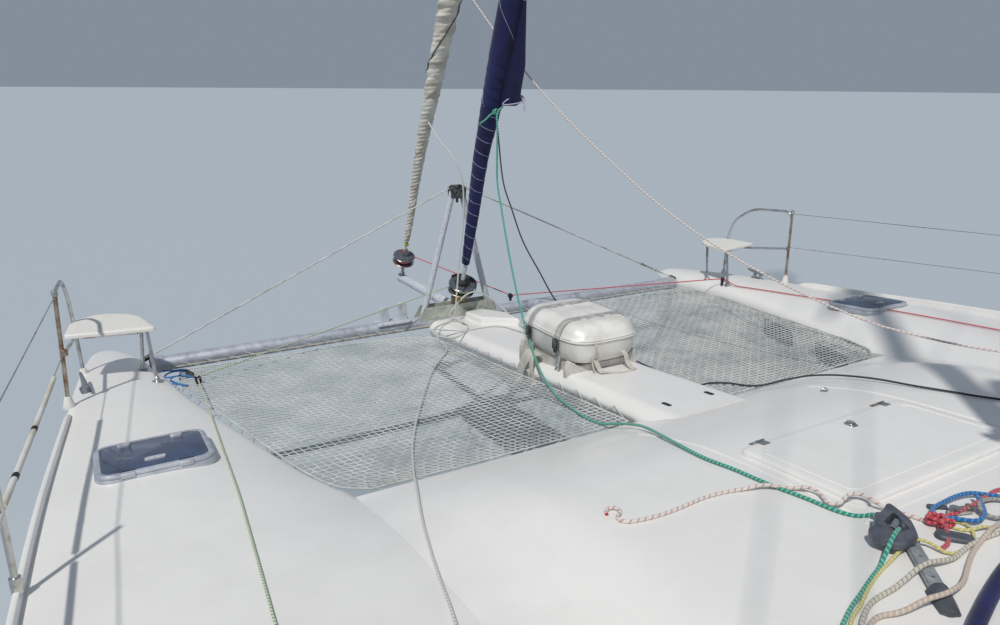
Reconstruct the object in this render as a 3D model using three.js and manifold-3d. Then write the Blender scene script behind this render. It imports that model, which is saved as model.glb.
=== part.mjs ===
// Cruising sailing catamaran of 13 m, full size, in millimetres.
// +X runs to the bows, +Y to port, +Z up. The origin is amidships on the centreline, at the waterline.
// Everything that comes in a pair is made for port, and its starboard twin is the mirrored mesh.
import * as THREE from "three";
import { mergeVertices } from "three/addons/utils/BufferGeometryUtils.js";
import Module from "manifold-3d";

const wasm = await Module();
wasm.setup();

// Driving dimensions
const GAP = 0.3; // between pieces that touch
const INNER = 2050; // the hulls' inner faces, each side of the centreline
const FORE_EDGE = 3030; // x of the foredeck's front edge, where the trampolines are laced
const FORE_AFT_END = -200; // x of the foredeck's after end, beside the coachroof
const SOLE = 1100; // saloon and cockpit sole, one level
const NACELLE_BOTTOM = 750;
const NACELLE_AFT = -5650;
const BULKHEAD = -2500; // x of the saloon's after bulkhead, forward face
const BEAM = { x: 6000, z: 1345, radius: 60, reach: 2800 }; // forward crossbeam
const MAST = { x: 900, head: 17400, long: 200, wide: 130 };
const HOUNDS = 14300; // height of the forestay's and cap shrouds' tangs
const BOOM = { pivot: 775, z: 3900, front: 700, aft: -4900, high: 170, wide: 110 };
const CHAINPLATE = [-350, 3455, 1880];
const WALL = 60; // thickness of the coachroof's walls

// Port hull by stations. Columns: x, inner and outer deck edge y, crown z, inner edge z, keel line z,
// inner and outer waterline y, and y, z of the knee where the inner side turns down to the water.
const STATIONS = [
  [6480, 2905, 2985, 1345, 1315, 150, 2935, 2965, 2930, 800],
  [6400, 2840, 3045, 1390, 1342, -140, 2915, 2985, 2890, 850],
  [6100, 2725, 3105, 1438, 1385, -330, 2835, 3065, 2795, 900],
  [5550, 2630, 3180, 1498, 1436, -400, 2740, 3130, 2695, 900],
  [4900, 2525, 3245, 1548, 1480, -440, 2640, 3190, 2595, 900],
  [4100, 2340, 3325, 1605, 1505, -470, 2530, 3250, 2475, 900],
  [3450, 2165, 3380, 1662, 1520, -490, 2450, 3290, 2330, 950],
  [3030, 2050, 3410, 1692, 1550, -500, 2400, 3310, 2050, 1150],
  [2700, 2050, 3430, 1713, 1625, -505, 2365, 3320, 2050, 880],
  [2300, 2050, 3450, 1742, 1690, -510, 2330, 3330, 2050, 750],
  [600, 2050, 3520, 1845, 1800, -520, 2260, 3360, 2050, 750],
  [-1500, 2050, 3550, 1885, 1850, -510, 2240, 3370, 2050, 750],
  [-3600, 2050, 3540, 1885, 1850, -440, 2260, 3350, 2050, 750],
  [-5200, 2050, 3500, 1850, 1815, -300, 2330, 3310, 2050, 750],
  [-6500, 2130, 3430, 1800, 1765, -60, 2420, 3240, 2160, 600],
].map(([x, inner, outer, crown, edge, keel, wIn, wOut, kneeY, kneeZ]) => {
  return { x, inner, outer, crown, edge, keel, wIn, wOut, kneeY, kneeZ };
});

const FINISH = {
  gelcoat: new THREE.MeshStandardMaterial({ color: 0xe9e8e4, roughness: 0.35 }),
  antifouling: new THREE.MeshStandardMaterial({ color: 0x2c3a52, roughness: 0.9 }),
  anodised: new THREE.MeshStandardMaterial({ color: 0xa3abb5, roughness: 0.4, metalness: 0.9 }),
  stainless: new THREE.MeshStandardMaterial({ color: 0xc8c8c8, roughness: 0.25, metalness: 1 }),
  acrylic: new THREE.MeshStandardMaterial({ color: 0x1d232b, roughness: 0.1 }),
  navy: new THREE.MeshStandardMaterial({ color: 0x1b2850, roughness: 0.9 }),
  sailcloth: new THREE.MeshStandardMaterial({ color: 0xd9d6cd, roughness: 0.85 }),
  net: new THREE.MeshStandardMaterial({ color: 0xb9bdbb, roughness: 0.9 }),
  black: new THREE.MeshStandardMaterial({ color: 0x17181a, roughness: 0.5 }),
  bronze: new THREE.MeshStandardMaterial({ color: 0x9a7a3c, roughness: 0.4, metalness: 1 }),
  engine: new THREE.MeshStandardMaterial({ color: 0x7d2f2a, roughness: 0.6 }),
  wood: new THREE.MeshStandardMaterial({ color: 0x9a6b3f, roughness: 0.6 }),
};

const boat = new THREE.Group();
const port = new THREE.Group();
const starboard = new THREE.Group();
starboard.scale.y = -1;
boat.add(port, starboard);

function ownMesh(name, geometry, material) {
  const mesh = new THREE.Mesh(geometry, material.clone());
  mesh.name = name;
  return mesh;
}

function single(name, geometry, material) {
  boat.add(ownMesh(name, geometry, material));
}

function pair(name, geometry, material) {
  port.add(ownMesh(`${name}_port`, geometry, material));
  starboard.add(ownMesh(`${name}_starboard`, geometry, material));
}

// Solids: a geometry becomes a manifold for joins and cuts, and comes back as a geometry.
function solid(geometry) {
  const bare = geometry.index ? geometry.toNonIndexed() : geometry.clone();
  bare.deleteAttribute("normal");
  bare.deleteAttribute("uv");
  const merged = mergeVertices(bare, 1e-3);
  return new wasm.Manifold(
    new wasm.Mesh({
      numProp: 3,
      vertProperties: merged.attributes.position.array,
      triVerts: new Uint32Array(merged.index.array),
    }),
  );
}

function geometryOf(manifold) {
  const mesh = manifold.getMesh();
  return new THREE.BufferGeometry()
    .setAttribute("position", new THREE.BufferAttribute(mesh.vertProperties, 3))
    .setIndex(new THREE.BufferAttribute(mesh.triVerts, 1));
}

function joined(...parts) {
  return parts.reduce((whole, part) => whole.add(part));
}

function mirroredSolid(manifold) {
  return manifold.mirror([0, 1, 0]);
}

// The largest body of a cut, without the slivers that the cut leaves.
function largest(manifold) {
  return manifold.decompose().sort((a, b) => b.volume() - a.volume())[0];
}

function box([x0, x1], [y0, y1], [z0, z1]) {
  return new THREE.BoxGeometry(x1 - x0, y1 - y0, z1 - z0).translate(
    (x0 + x1) / 2,
    (y0 + y1) / 2,
    (z0 + z1) / 2,
  );
}

function widened([low, high], by) {
  return [low - by, high + by];
}

// A closed body through rings of as many points each, flat at both ends.
function loft(rings) {
  const count = rings[0].length;
  const index = [];
  for (let r = 0; r + 1 < rings.length; r++)
    for (let i = 0; i < count; i++) {
      const [a, b] = [r * count + i, r * count + ((i + 1) % count)];
      index.push(a, b, b + count, a, b + count, a + count);
    }
  // Each end's faces, turned so that they run against the side faces along the ring's first edge.
  const last = (rings.length - 1) * count;
  for (const [ring, start, alongRing] of [
    [rings[0], 0, false],
    [rings.at(-1), last, true],
  ]) {
    const spans = [0, 1, 2].map((k) => ({ k, span: spread(ring.map((p) => p[k])) }));
    const [u, v] = spans.sort((p, q) => q.span - p.span).map(({ k }) => k);
    const flat = ring.map((p) => new THREE.Vector2(p[u], p[v]));
    const faces = THREE.ShapeUtils.triangulateShape(flat, []);
    const runs = faces.some((f) => f.some((n, i) => n === 0 && f[(i + 1) % 3] === 1));
    for (const [a, b, c] of faces)
      index.push(...(runs === alongRing ? [a, b, c] : [a, c, b]).map((n) => n + start));
  }
  const geometry = new THREE.BufferGeometry()
    .setAttribute("position", new THREE.Float32BufferAttribute(rings.flat(2), 3))
    .setIndex(index);
  return volumeOf(geometry) < 0 ? turned(geometry) : geometry;
}

function spread(values) {
  return Math.max(...values) - Math.min(...values);
}

function volumeOf(geometry) {
  const place = geometry.attributes.position;
  const corner = [0, 1, 2].map(() => new THREE.Vector3());
  let six = 0;
  for (let i = 0; i < geometry.index.count; i += 3) {
    corner.forEach((v, k) => v.fromBufferAttribute(place, geometry.index.getX(i + k)));
    six += corner[0].dot(corner[1].clone().cross(corner[2]));
  }
  return six / 6;
}

function turned(geometry) {
  const index = geometry.index.array;
  for (let i = 0; i < index.length; i += 3) [index[i + 1], index[i + 2]] = [index[i + 2], index[i + 1]];
  return geometry;
}

// A body over a rectangle, between two heights that are functions of x and y.
function slab(xs, ys, top, bottom) {
  const rings = xs.map((x) => [
    ...ys.map((y) => [x, y, top(x, y)]),
    ...ys.toReversed().map((y) => [x, y, bottom(x, y)]),
  ]);
  return loft(rings);
}

// A round bar along straight runs, rounded at its corners. Points are [x, y, z].
function bar(points, radius, { sides = 8, bend = 80, steps } = {}) {
  const p = points.map((q) => new THREE.Vector3(...q));
  const path = new THREE.CurvePath();
  let from = p[0];
  for (let i = 1; i + 1 < p.length; i++) {
    const before = p[i].clone().addScaledVector(p[i - 1].clone().sub(p[i]).normalize(), bend);
    const after = p[i].clone().addScaledVector(p[i + 1].clone().sub(p[i]).normalize(), bend);
    path.add(new THREE.LineCurve3(from, before));
    path.add(new THREE.QuadraticBezierCurve3(before, p[i], after));
    from = after;
  }
  path.add(new THREE.LineCurve3(from, p.at(-1)));
  const section = new THREE.Shape().setFromPoints(circle(radius, sides));
  return new THREE.ExtrudeGeometry(section, {
    steps: steps ?? (points.length === 2 ? 1 : 10 * (points.length - 1)),
    curveSegments: 1,
    extrudePath: path,
  });
}

function circle(radius, sides) {
  return Array.from({ length: sides }, (_, i) => {
    const a = (2 * Math.PI * i) / sides;
    return new THREE.Vector2(radius * Math.cos(a), radius * Math.sin(a));
  });
}

// A round body with a profile of [radius, height] pairs, its axis along Z through the given place.
function turnedBody(profile, place, sides = 16) {
  return new THREE.LatheGeometry(profile.map(([r, z]) => new THREE.Vector2(r, z)), sides)
    .rotateX(Math.PI / 2)
    .translate(...place);
}

// The outline in plan or in profile as a flat plate. The outline is [[u, v], ...].
function plate(outline, depth) {
  const shape = new THREE.Shape(outline.map(([u, v]) => new THREE.Vector2(u, v)));
  return new THREE.ExtrudeGeometry(shape, { depth, bevelEnabled: false, steps: 1 });
}

// An outline in x and z, drawn out across the boat from y0 to y1.
function across(outline, [y0, y1]) {
  return plate(outline, y1 - y0)
    .rotateX(Math.PI / 2)
    .translate(0, y1, 0);
}

function between(table, x, column) {
  const i = Math.max(1, table.findIndex((row) => row.x <= x));
  const [a, b] = [table[i - 1], table[i]];
  const t = THREE.MathUtils.clamp((a.x - x) / (a.x - b.x), 0, 1);
  return a[column] + t * (b[column] - a[column]);
}

// Hulls
function hullRing({ x, inner, outer, crown, edge, keel, wIn, wOut, kneeY, kneeZ }) {
  const wide = outer - inner;
  const centre = (wIn + wOut) / 2;
  const beam = (wOut - wIn) / 2;
  const side = [
    [outer - 0.04 * wide, crown - 16],
    [outer, crown - 60],
    [outer + 0.35 * (wOut - outer), 0.55 * crown],
    [wOut, 80],
    [centre + 0.84 * beam, 0.45 * keel],
    [centre + 0.46 * beam, 0.88 * keel],
  ];
  const inside = [
    [centre - 0.46 * beam, 0.88 * keel],
    [centre - 0.84 * beam, 0.45 * keel],
    [wIn, 80],
    [0.55 * wIn + 0.45 * kneeY, 80 + 0.62 * (kneeZ - 80)],
    [kneeY, kneeZ],
  ];
  const deck = [
    [inner, edge],
    [inner + 0.22 * wide, edge + 0.62 * (crown - edge)],
    [inner + 0.45 * wide, edge + 0.95 * (crown - edge)],
    [inner + 0.62 * wide, crown],
    [inner + 0.82 * wide, crown - 4],
  ];
  return [...deck, ...side, [centre, keel], ...inside].map(([y, z]) => [x, y, z]);
}

const HATCH = {
  x: 3750,
  y: 2850,
  long: 460,
  wide: 545,
  wall: 50,
  depth: 650,
  tilt: 0.088,
  rim: 16,
  lid: 22,
}; // tilt follows the deck's fall towards the bow
const BAY = { x: [-4950, -3950], y: [2480, 3150], floor: 200, top: 1905, rim: 40 };
const STEPS = [
  [-5000, 1500],
  [-5350, 1150],
  [-5720, 800],
  [-6090, 450],
]; // x where each tread starts, and its height
const STEP_Y = [2270, 3300];
const RUDDER = { x: -5150, y: 2820, top: -345, foot: -1080, stock: 25, bore: 33 };

function hatchPlate(inset, low, high) {
  return new THREE.BoxGeometry(HATCH.long - 2 * inset, HATCH.wide - 2 * inset, high - low)
    .translate(0, 0, (low + high) / 2)
    .rotateY(HATCH.tilt)
    .translate(HATCH.x, HATCH.y, between(STATIONS, HATCH.x, "crown"));
}

function stern() {
  const above = across(
    [
      [-4950, 2300],
      [-4950, 1900],
      [-6350, 760],
      [-6700, 700],
      [-6700, 2300],
    ],
    [2000, 3700],
  );
  const treads = STEPS.flatMap(([x, z], i) => [[x, i ? STEPS[i - 1][1] : 2300], [x, z]]);
  const stair = across([...treads, [-6700, STEPS.at(-1)[1]], [-6700, 2300]], STEP_Y);
  const gate = box([STEPS[2][0], STEPS[1][0]], [2000, STEP_Y[0] + 5], [STEPS[1][1], 2300]);
  return joined(solid(above), solid(stair), solid(gate));
}

const bare = solid(loft(STATIONS.map(hullRing)));
const hull = bare
  .add(solid(hatchPlate(0, -60, HATCH.rim)))
  .add(solid(box(widened(BAY.x, BAY.rim), widened(BAY.y, BAY.rim), [1700, BAY.top])))
  .subtract(stern())
  .subtract(solid(hatchPlate(HATCH.wall, -HATCH.depth, 200)))
  .subtract(solid(box(BAY.x, BAY.y, [BAY.floor, 2300])))
  .subtract(
    solid(
      new THREE.CylinderGeometry(RUDDER.bore, RUDDER.bore, 700, 16)
        .rotateX(Math.PI / 2)
        .translate(RUDDER.x, RUDDER.y, -50),
    ),
  );
pair("hull", geometryOf(hull), FINISH.gelcoat);

// What stands on a hull is cut by the hull moved by a gap.
function offHull(manifold, [dx, dy, dz]) {
  return manifold.subtract(hull.translate([dx * GAP, dy * GAP, dz * GAP]));
}

// Keels, rudders, saildrives, propellers, engines
const FOIL = [
  [0.5, 0],
  [0.42, 0.3],
  [0.2, 0.5],
  [-0.1, 0.45],
  [-0.5, 0.02],
]; // half a foil's outline, nose first: share of the chord, share of the thickness

function foilRing(nose, chord, thick, y, z) {
  const half = FOIL.map(([u, v]) => [nose - (0.5 - u) * chord, v * thick]);
  return [
    ...half.map(([x, w]) => [x, y + w, z]),
    ...half.slice(1).toReversed().map(([x, w]) => [x, y - w, z]),
  ];
}

const KEEL = [
  { z: -380, nose: 1250, chord: 2700, thick: 260 },
  { z: -700, nose: 1120, chord: 2450, thick: 240 },
  { z: -1130, nose: 1000, chord: 2250, thick: 220 },
  { z: -1200, nose: 900, chord: 2100, thick: 120 },
];
const keel = solid(loft(KEEL.map((k) => foilRing(k.nose, k.chord, k.thick, 2810, k.z))));
pair("keel", geometryOf(offHull(keel, [0, 0, -1])), FINISH.antifouling);

const BLADE = [
  { z: RUDDER.top, chord: 480, thick: 62 },
  { z: -700, chord: 450, thick: 58 },
  { z: RUDDER.foot, chord: 330, thick: 34 },
];
const blade = loft(BLADE.map((b) => foilRing(RUDDER.x + 0.25 * b.chord, b.chord, b.thick, RUDDER.y, b.z)));
const stock = new THREE.CylinderGeometry(RUDDER.stock, RUDDER.stock, 500, 12)
  .rotateX(Math.PI / 2)
  .translate(RUDDER.x, RUDDER.y, RUDDER.top + 230);
pair("rudder", geometryOf(joined(solid(blade), solid(stock))), FINISH.antifouling);

const DRIVE = { x: -4350, y: 2820, shaft: -820, pod: 62 };
const leg = loft(
  [-250, -600, DRIVE.shaft].map((z, i) => foilRing(DRIVE.x + 190 - 20 * i, 380 - 40 * i, 110, DRIVE.y, z)),
);
const pod = new THREE.LatheGeometry(
  [
    [0, -230],
    [46, -190],
    [DRIVE.pod, -60],
    [52, 150],
    [20, 260],
    [0, 270],
  ].map(([r, h]) => new THREE.Vector2(r, h)),
  12,
)
  .rotateZ(-Math.PI / 2)
  .translate(DRIVE.x, DRIVE.y, DRIVE.shaft);
pair("saildrive", geometryOf(offHull(joined(solid(leg), solid(pod)), [0, 0, -1])), FINISH.black);

const PROPELLER = { x: DRIVE.x - 290, radius: 210, hub: 48, blades: 3 };
function propeller() {
  const hub = new THREE.LatheGeometry(
    [
      [0, -85],
      [28, -75],
      [PROPELLER.hub, -20],
      [PROPELLER.hub, 45],
      [0, 45],
    ].map(([r, h]) => new THREE.Vector2(r, h)),
    12,
  ).rotateZ(-Math.PI / 2);
  const shape = plate(
    [
      [-35, 25],
      [-75, 120],
      [-60, 195],
      [0, PROPELLER.radius],
      [60, 185],
      [70, 110],
      [35, 25],
    ],
    9,
  ).translate(0, 0, -4.5);
  const blades = Array.from({ length: PROPELLER.blades }, (_, i) =>
    solid(
      shape
        .clone()
        .rotateY(Math.PI / 2 + 0.45)
        .rotateX(Math.PI / 2 + (2 * Math.PI * i) / PROPELLER.blades),
    ),
  );
  return joined(solid(hub), ...blades);
}
pair(
  "propeller",
  geometryOf(propeller().translate([PROPELLER.x, DRIVE.y, DRIVE.shaft])),
  FINISH.bronze,
);

pair("engine", box([-4780, -4080], [2590, 3040], [BAY.floor + GAP, 830]), FINISH.engine);
pair(
  "engine_hatch",
  box(widened(BAY.x, BAY.rim - 2), widened(BAY.y, BAY.rim - 2), [BAY.top + GAP, BAY.top + 35]),
  FINISH.gelcoat,
);
pair("deck_hatch", hatchPlate(5, HATCH.rim + GAP, HATCH.rim + HATCH.lid), FINISH.acrylic);

// Bridgedeck between the hulls, and the sloping foredeck with its locker
const FORE_LIP = 1240; // underside of the foredeck's front edge
const NACELLE_FRONT = [
  [2900, SOLE],
  [2860, 980],
  [2640, 820],
  [2250, NACELLE_BOTTOM],
]; // x and height of the underside, from the front edge aft
const FORE_TOP = [
  { x: FORE_EDGE, z: 1550 },
  { x: NACELLE_FRONT[0][0], z: 1608 },
  { x: 2780, z: 1662 },
  { x: 2500, z: 1765 },
  { x: 2150, z: 1850 },
  { x: 1700, z: 1895 },
  { x: 600, z: 1955 },
  { x: FORE_AFT_END, z: 1970 },
]; // the foredeck on the centreline
const LOCKER = { x: [1450, 2010], y: 560, floor: 1250, lid: 22, rim: 30 };
const CROWN_HALF = 1450; // the raised middle of the foredeck, each side

function foreTop(x, y) {
  const side = between(STATIONS, x, "edge");
  const t = THREE.MathUtils.smoothstep(Math.abs(y), CROWN_HALF, INNER);
  return between(FORE_TOP, x, "z") * (1 - t) + side * t;
}

const nacelle = across(
  [...NACELLE_FRONT, [NACELLE_AFT, NACELLE_BOTTOM + 60], [NACELLE_AFT, SOLE]],
  [-INNER + GAP, INNER - GAP],
);
single("nacelle", nacelle, FINISH.gelcoat);

const foreXs = FORE_TOP.map((row) => row.x);
const foreYs = [-INNER + GAP, -1750, -CROWN_HALF, 0, CROWN_HALF, 1750, INNER - GAP];
const foreLow = (x) => (x === FORE_EDGE ? FORE_LIP : SOLE + GAP);
const lockerWell = box(LOCKER.x, [-LOCKER.y, LOCKER.y], [LOCKER.floor, 2200]);

const lidXs = [LOCKER.x[1] + LOCKER.rim, 1700, LOCKER.x[0] - LOCKER.rim];
const lidYs = [-LOCKER.y - LOCKER.rim, 0, LOCKER.y + LOCKER.rim];
const lidTop = (x, y) => foreTop(x, y) + LOCKER.lid;
const lidLow = (x, y) => foreTop(x, y) + GAP;
single("locker_lid", slab(lidXs, lidYs, lidTop, lidLow), FINISH.gelcoat);

// Coachroof: a raked shell over the saloon, open below, with its windows and door cut
const PLAN = [
  { y: 0, low: 740, high: -60 },
  { y: 850, low: 690, high: -110 },
  { y: 1500, low: 480, high: -330 },
  { y: 1950, low: 60, high: -760 },
  { y: 2200, low: -700, high: -1400 },
  { y: 2270, low: BULKHEAD, high: BULKHEAD },
]; // half the outline: y at the foot, x at the foot and at the roof
const ROOF = {
  foot: 1700,
  shoulder: 2860,
  inset: 0.86,
  heights: [2955, 3010, 3035],
  scales: [0.95, 0.72, 0.4],
};

function planRing(z, offset, scale = 1) {
  const t = THREE.MathUtils.clamp((z - ROOF.foot) / (ROOF.shoulder - ROOF.foot), 0, 1);
  const half = PLAN.map(({ y, low, high }) => [low + t * (high - low), y * (1 - t * (1 - ROOF.inset))]);
  const ring = [...half.toReversed().map(([x, y]) => [x, -y]), ...half.slice(1)];
  const moved = ring.map(([x, y], i) => {
    const [a, b] = [ring[(i + ring.length - 1) % ring.length], ring[(i + 1) % ring.length]];
    const long = Math.hypot(b[0] - a[0], b[1] - a[1]);
    const [nx, ny] = [(b[1] - a[1]) / long, -(b[0] - a[0]) / long];
    return i === 0 || i === ring.length - 1
      ? [x, y + Math.sign(y) * offset]
      : [x + nx * offset, y + ny * offset];
  });
  const middle = -1250;
  return moved.map(([x, y]) => [middle + (x - middle) * scale, y * scale, z]);
}

function roofBody(offset, drop, foot) {
  const walls = [foot, 2250, ROOF.shoulder - drop].map((z) => planRing(z, offset));
  const top = ROOF.heights.map((z, i) => planRing(z - drop, offset, ROOF.scales[i]));
  return solid(loft([...walls, ...top]));
}

const foredeck = solid(slab(foreXs, foreYs, foreTop, foreLow))
  .subtract(solid(lockerWell))
  .subtract(roofBody(-WALL, WALL, SOLE - 50));
single("foredeck", geometryOf(largest(foredeck)), FINISH.gelcoat);

const shell = roofBody(0, 0, ROOF.foot).subtract(roofBody(-WALL, WALL, ROOF.foot - 20));
const bulkhead = solid(box([BULKHEAD - WALL, BULKHEAD], [-INNER + 1, INNER - 1], [SOLE + GAP, 2900]));
const WINDOW_Z = [2170, 2700];
const FRONT_PANES = [-1120, 0, 1120]; // y of each pane's middle
const SIDE_PANES = [
  [-1500, -820],
  [-2330, -1620],
]; // x of each side pane's ends
const panes = [
  ...FRONT_PANES.map((y) => box([-900, 1200], [y - 480, y + 480], WINDOW_Z)),
  ...SIDE_PANES.flatMap((x) => [box(x, [1500, 2600], WINDOW_Z), box(x, [-2600, -1500], WINDOW_Z)]),
].map(solid);
const DOOR = { half: 450, foot: SOLE + 30, head: 2860, thick: 30 };
const doorway = solid(
  box([BULKHEAD - 200, BULKHEAD + 200], [-DOOR.half, DOOR.half], [SOLE, DOOR.head - 20]),
);
const coachroof = joined(shell, bulkhead)
  .subtract(joined(...panes, doorway))
  .subtract(hull.translate([0, 0, GAP]))
  .subtract(mirroredSolid(hull).translate([0, 0, GAP]))
  .subtract(foredeck.translate([0, 0, GAP]))
  .subtract(foredeck.translate([-GAP, 0, GAP]));
single("coachroof", geometryOf(largest(coachroof)), FINISH.gelcoat);

const GLAZING = { out: 13, back: 1, z: [2110, 2760], aft: BULKHEAD + 110 };
const band = roofBody(GLAZING.out, 0, ROOF.foot)
  .subtract(roofBody(GLAZING.back, 0, ROOF.foot))
  .intersect(solid(box([GLAZING.aft, 1500], [-2600, 2600], GLAZING.z)));
single("saloon_windows", geometryOf(band), FINISH.acrylic);
single(
  "saloon_door",
  box(
    [BULKHEAD - WALL - 6 - DOOR.thick, BULKHEAD - WALL - 6],
    [-DOOR.half - 25, DOOR.half + 25],
    [DOOR.foot, DOOR.head],
  ),
  FINISH.acrylic,
);

// Saloon and cockpit fittings
const settee = joined(
  solid(box([-1950, -200], [1250, 1990], [SOLE + GAP, 1540])),
  solid(box([-800, -200], [300, 1700], [SOLE + GAP, 1540])),
  solid(box([-1950, -800], [1900, 1990], [1400, 1780])),
);
single("saloon_settee", geometryOf(settee), FINISH.navy);
single("galley", box([-2300, -1000], [-1980, -1380], [SOLE + GAP, 2010]), FINISH.wood);
const bench = joined(
  solid(box([-5080, -2900], [1350, 2040], [SOLE + GAP, 1540])),
  solid(box([-5080, -4480], [-1350, 2040], [SOLE + GAP, 1540])),
  solid(box([-5080, -4960], [-1350, 2040], [1400, 1900])),
);
single("cockpit_bench", geometryOf(bench), FINISH.gelcoat);
const WHEEL = { x: -3010, y: -1500, z: 2060, radius: 350, tube: 14, spokes: 5 };
const pedestal = joined(
  solid(box([-2880, BULKHEAD - WALL - GAP], [-1850, -1150], [SOLE + GAP, 2250])),
  solid(
    new THREE.CylinderGeometry(30, 30, 90, 12).rotateZ(Math.PI / 2).translate(-2915, WHEEL.y, WHEEL.z),
  ),
);
single("helm_console", geometryOf(pedestal), FINISH.gelcoat);
single("helm_seat", box([-3950, -3560], [-1900, -1100], [SOLE + GAP, 1950]), FINISH.gelcoat);

function steeringWheel() {
  const rim = new THREE.TorusGeometry(WHEEL.radius, WHEEL.tube, 6, 32);
  const hub = new THREE.CylinderGeometry(50, 50, 60, 12).rotateX(Math.PI / 2);
  const spokes = Array.from({ length: WHEEL.spokes }, (_, i) =>
    solid(
      new THREE.CylinderGeometry(8, 8, WHEEL.radius, 6)
        .translate(0, WHEEL.radius / 2, 0)
        .rotateZ((2 * Math.PI * i) / WHEEL.spokes),
    ),
  );
  return joined(solid(rim), solid(hub), ...spokes);
}
single(
  "helm_wheel",
  geometryOf(steeringWheel()).rotateY(Math.PI / 2).translate(WHEEL.x, WHEEL.y, WHEEL.z),
  FINISH.stainless,
);

// Hardtop over the cockpit, on two posts that stand on the coamings
const HARDTOP = { x: [-5050, BULKHEAD - WALL - 20], y: 2180, thick: 60, edge: 2985, camber: 90 };
const hardTop = (x, y) => HARDTOP.edge + HARDTOP.camber * (1 - (y / HARDTOP.y) ** 2);
const roofPanel = slab(
  [HARDTOP.x[1], HARDTOP.x[0]],
  [-1, -0.75, -0.4, 0, 0.4, 0.75, 1].map((s) => s * HARDTOP.y),
  hardTop,
  (x, y) => hardTop(x, y) - HARDTOP.thick,
);
const post = bar([[-4700, 2120, 1500], [-4700, 2120, 3000]], 38, { sides: 10 });
const posts = offHull(solid(post), [0, 0, 1]);
const stub = box([HARDTOP.x[1] - 60, HARDTOP.x[1] - 20], [2070, 2130], [1500, 2960]);
const stubs = offHull(solid(stub), [0, 0, 1]);
single(
  "hardtop",
  geometryOf(joined(solid(roofPanel), posts, mirroredSolid(posts), stubs, mirroredSolid(stubs))),
  FINISH.gelcoat,
);

// Crossbeam with its striker, longeron, bowsprit, trampolines
const STRIKER = { foot: 343, apex: 2550, radius: 25 };
const BRACKET = { x: [5945, 6085], half: 380, top: 1490 };
const tube = solid(
  new THREE.CylinderGeometry(BEAM.radius, BEAM.radius, 2 * BEAM.reach, 20).translate(BEAM.x, 0, BEAM.z),
);
const bracket = box(BRACKET.x, [-BRACKET.half, BRACKET.half], [BEAM.z, BRACKET.top]);
const legs = [-1, 1].map((s) =>
  solid(
    bar(
      [
        [BEAM.x + 35, s * STRIKER.foot, 1470],
        [BEAM.x, s * 12, STRIKER.apex],
      ],
      STRIKER.radius,
      { sides: 10 },
    ),
  ),
);
const apex = box([BEAM.x - 30, BEAM.x + 30], [-75, 75], [STRIKER.apex - 90, STRIKER.apex + 15]);
const beam = joined(tube, solid(bracket), ...legs, solid(apex))
  .subtract(hull.translate([0, -GAP, 0]))
  .subtract(mirroredSolid(hull).translate([0, GAP, 0]));
single("crossbeam", geometryOf(largest(beam)), FINISH.anodised);
const stay = bar([[BEAM.x, 77, STRIKER.apex - 12], [BEAM.x + 20, 2765, 1410]], 6, { sides: 6 });
pair("striker_stay", geometryOf(offHull(solid(stay), [0, 0, 1])), FINISH.stainless);

const LONGERON = { aft: 2780, front: BEAM.x - BEAM.radius - 4, topAft: 1677, topFront: 1362, half: 308 };
const LONGERON_SECTION = [
  [-1, 0],
  [1, 0],
  [1.12, -65],
  [1.04, -110],
  [0.82, -290],
  [-0.82, -290],
  [-1.04, -110],
  [-1.12, -65],
]; // share of the half width, and depth below the top
function longeronTop(x) {
  const t = (x - LONGERON.aft) / (LONGERON.front - LONGERON.aft);
  return LONGERON.topAft + t * (LONGERON.topFront - LONGERON.topAft);
}
const girder = solid(
  loft(
    [LONGERON.front, LONGERON.aft].map((x) =>
      LONGERON_SECTION.map(([s, d]) => [x, s * LONGERON.half, longeronTop(x) + d]),
    ),
  ),
)
  .subtract(foredeck.translate([0, 0, GAP]))
  .subtract(foredeck.translate([GAP, 0, 0]))
  .subtract(solid(nacelle).translate([GAP, 0, 0]))
  .subtract(beam.translate([-GAP, 0, 0]));

const RAFT = { x: 4085, long: 780, wide: 600, base: 1640, high: 280 };
const CHOCK = { from: 250, half: 35, foot: 40 };
const cradle = [RAFT.x - CHOCK.from, RAFT.x + CHOCK.from].map((x) =>
  solid(
    box(
      [x - CHOCK.half, x + CHOCK.half],
      [-RAFT.wide / 2, RAFT.wide / 2],
      [longeronTop(x) - CHOCK.foot, RAFT.base],
    ),
  ),
);
const longeron = joined(largest(girder), ...cradle);
single("longeron", geometryOf(longeron), FINISH.gelcoat);

function superEllipse(a, b, power, count) {
  return Array.from({ length: count }, (_, i) => {
    const t = (2 * Math.PI * i) / count;
    const [c, s] = [Math.cos(t), Math.sin(t)];
    return [a * Math.sign(c) * Math.abs(c) ** (2 / power), b * Math.sign(s) * Math.abs(s) ** (2 / power)];
  });
}
const CANISTER = [
  [0, 0.86],
  [0.1, 0.95],
  [0.6, 1],
  [0.68, 0.99],
  [0.92, 0.9],
  [1, 0.78],
]; // share of the height, share of the length and width
const canister = loft(
  CANISTER.map(([h, s]) =>
    superEllipse((s * RAFT.long) / 2, (s * RAFT.wide) / 2, 4, 24).map(([x, y]) => [
      RAFT.x + x,
      y,
      RAFT.base + GAP + h * RAFT.high,
    ]),
  ),
);
single("raft_canister", canister, FINISH.gelcoat);

const SPRIT = { tip: 7390, z: 1420, radius: 48 };
const sprit = solid(
  new THREE.CylinderGeometry(SPRIT.radius, SPRIT.radius, SPRIT.tip - 6040, 14)
    .rotateZ(Math.PI / 2)
    .translate((SPRIT.tip + 6040) / 2, 0, SPRIT.z),
).subtract(beam.translate([GAP, 0, 0]));
single("bowsprit", geometryOf(largest(sprit)), FINISH.anodised);

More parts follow.
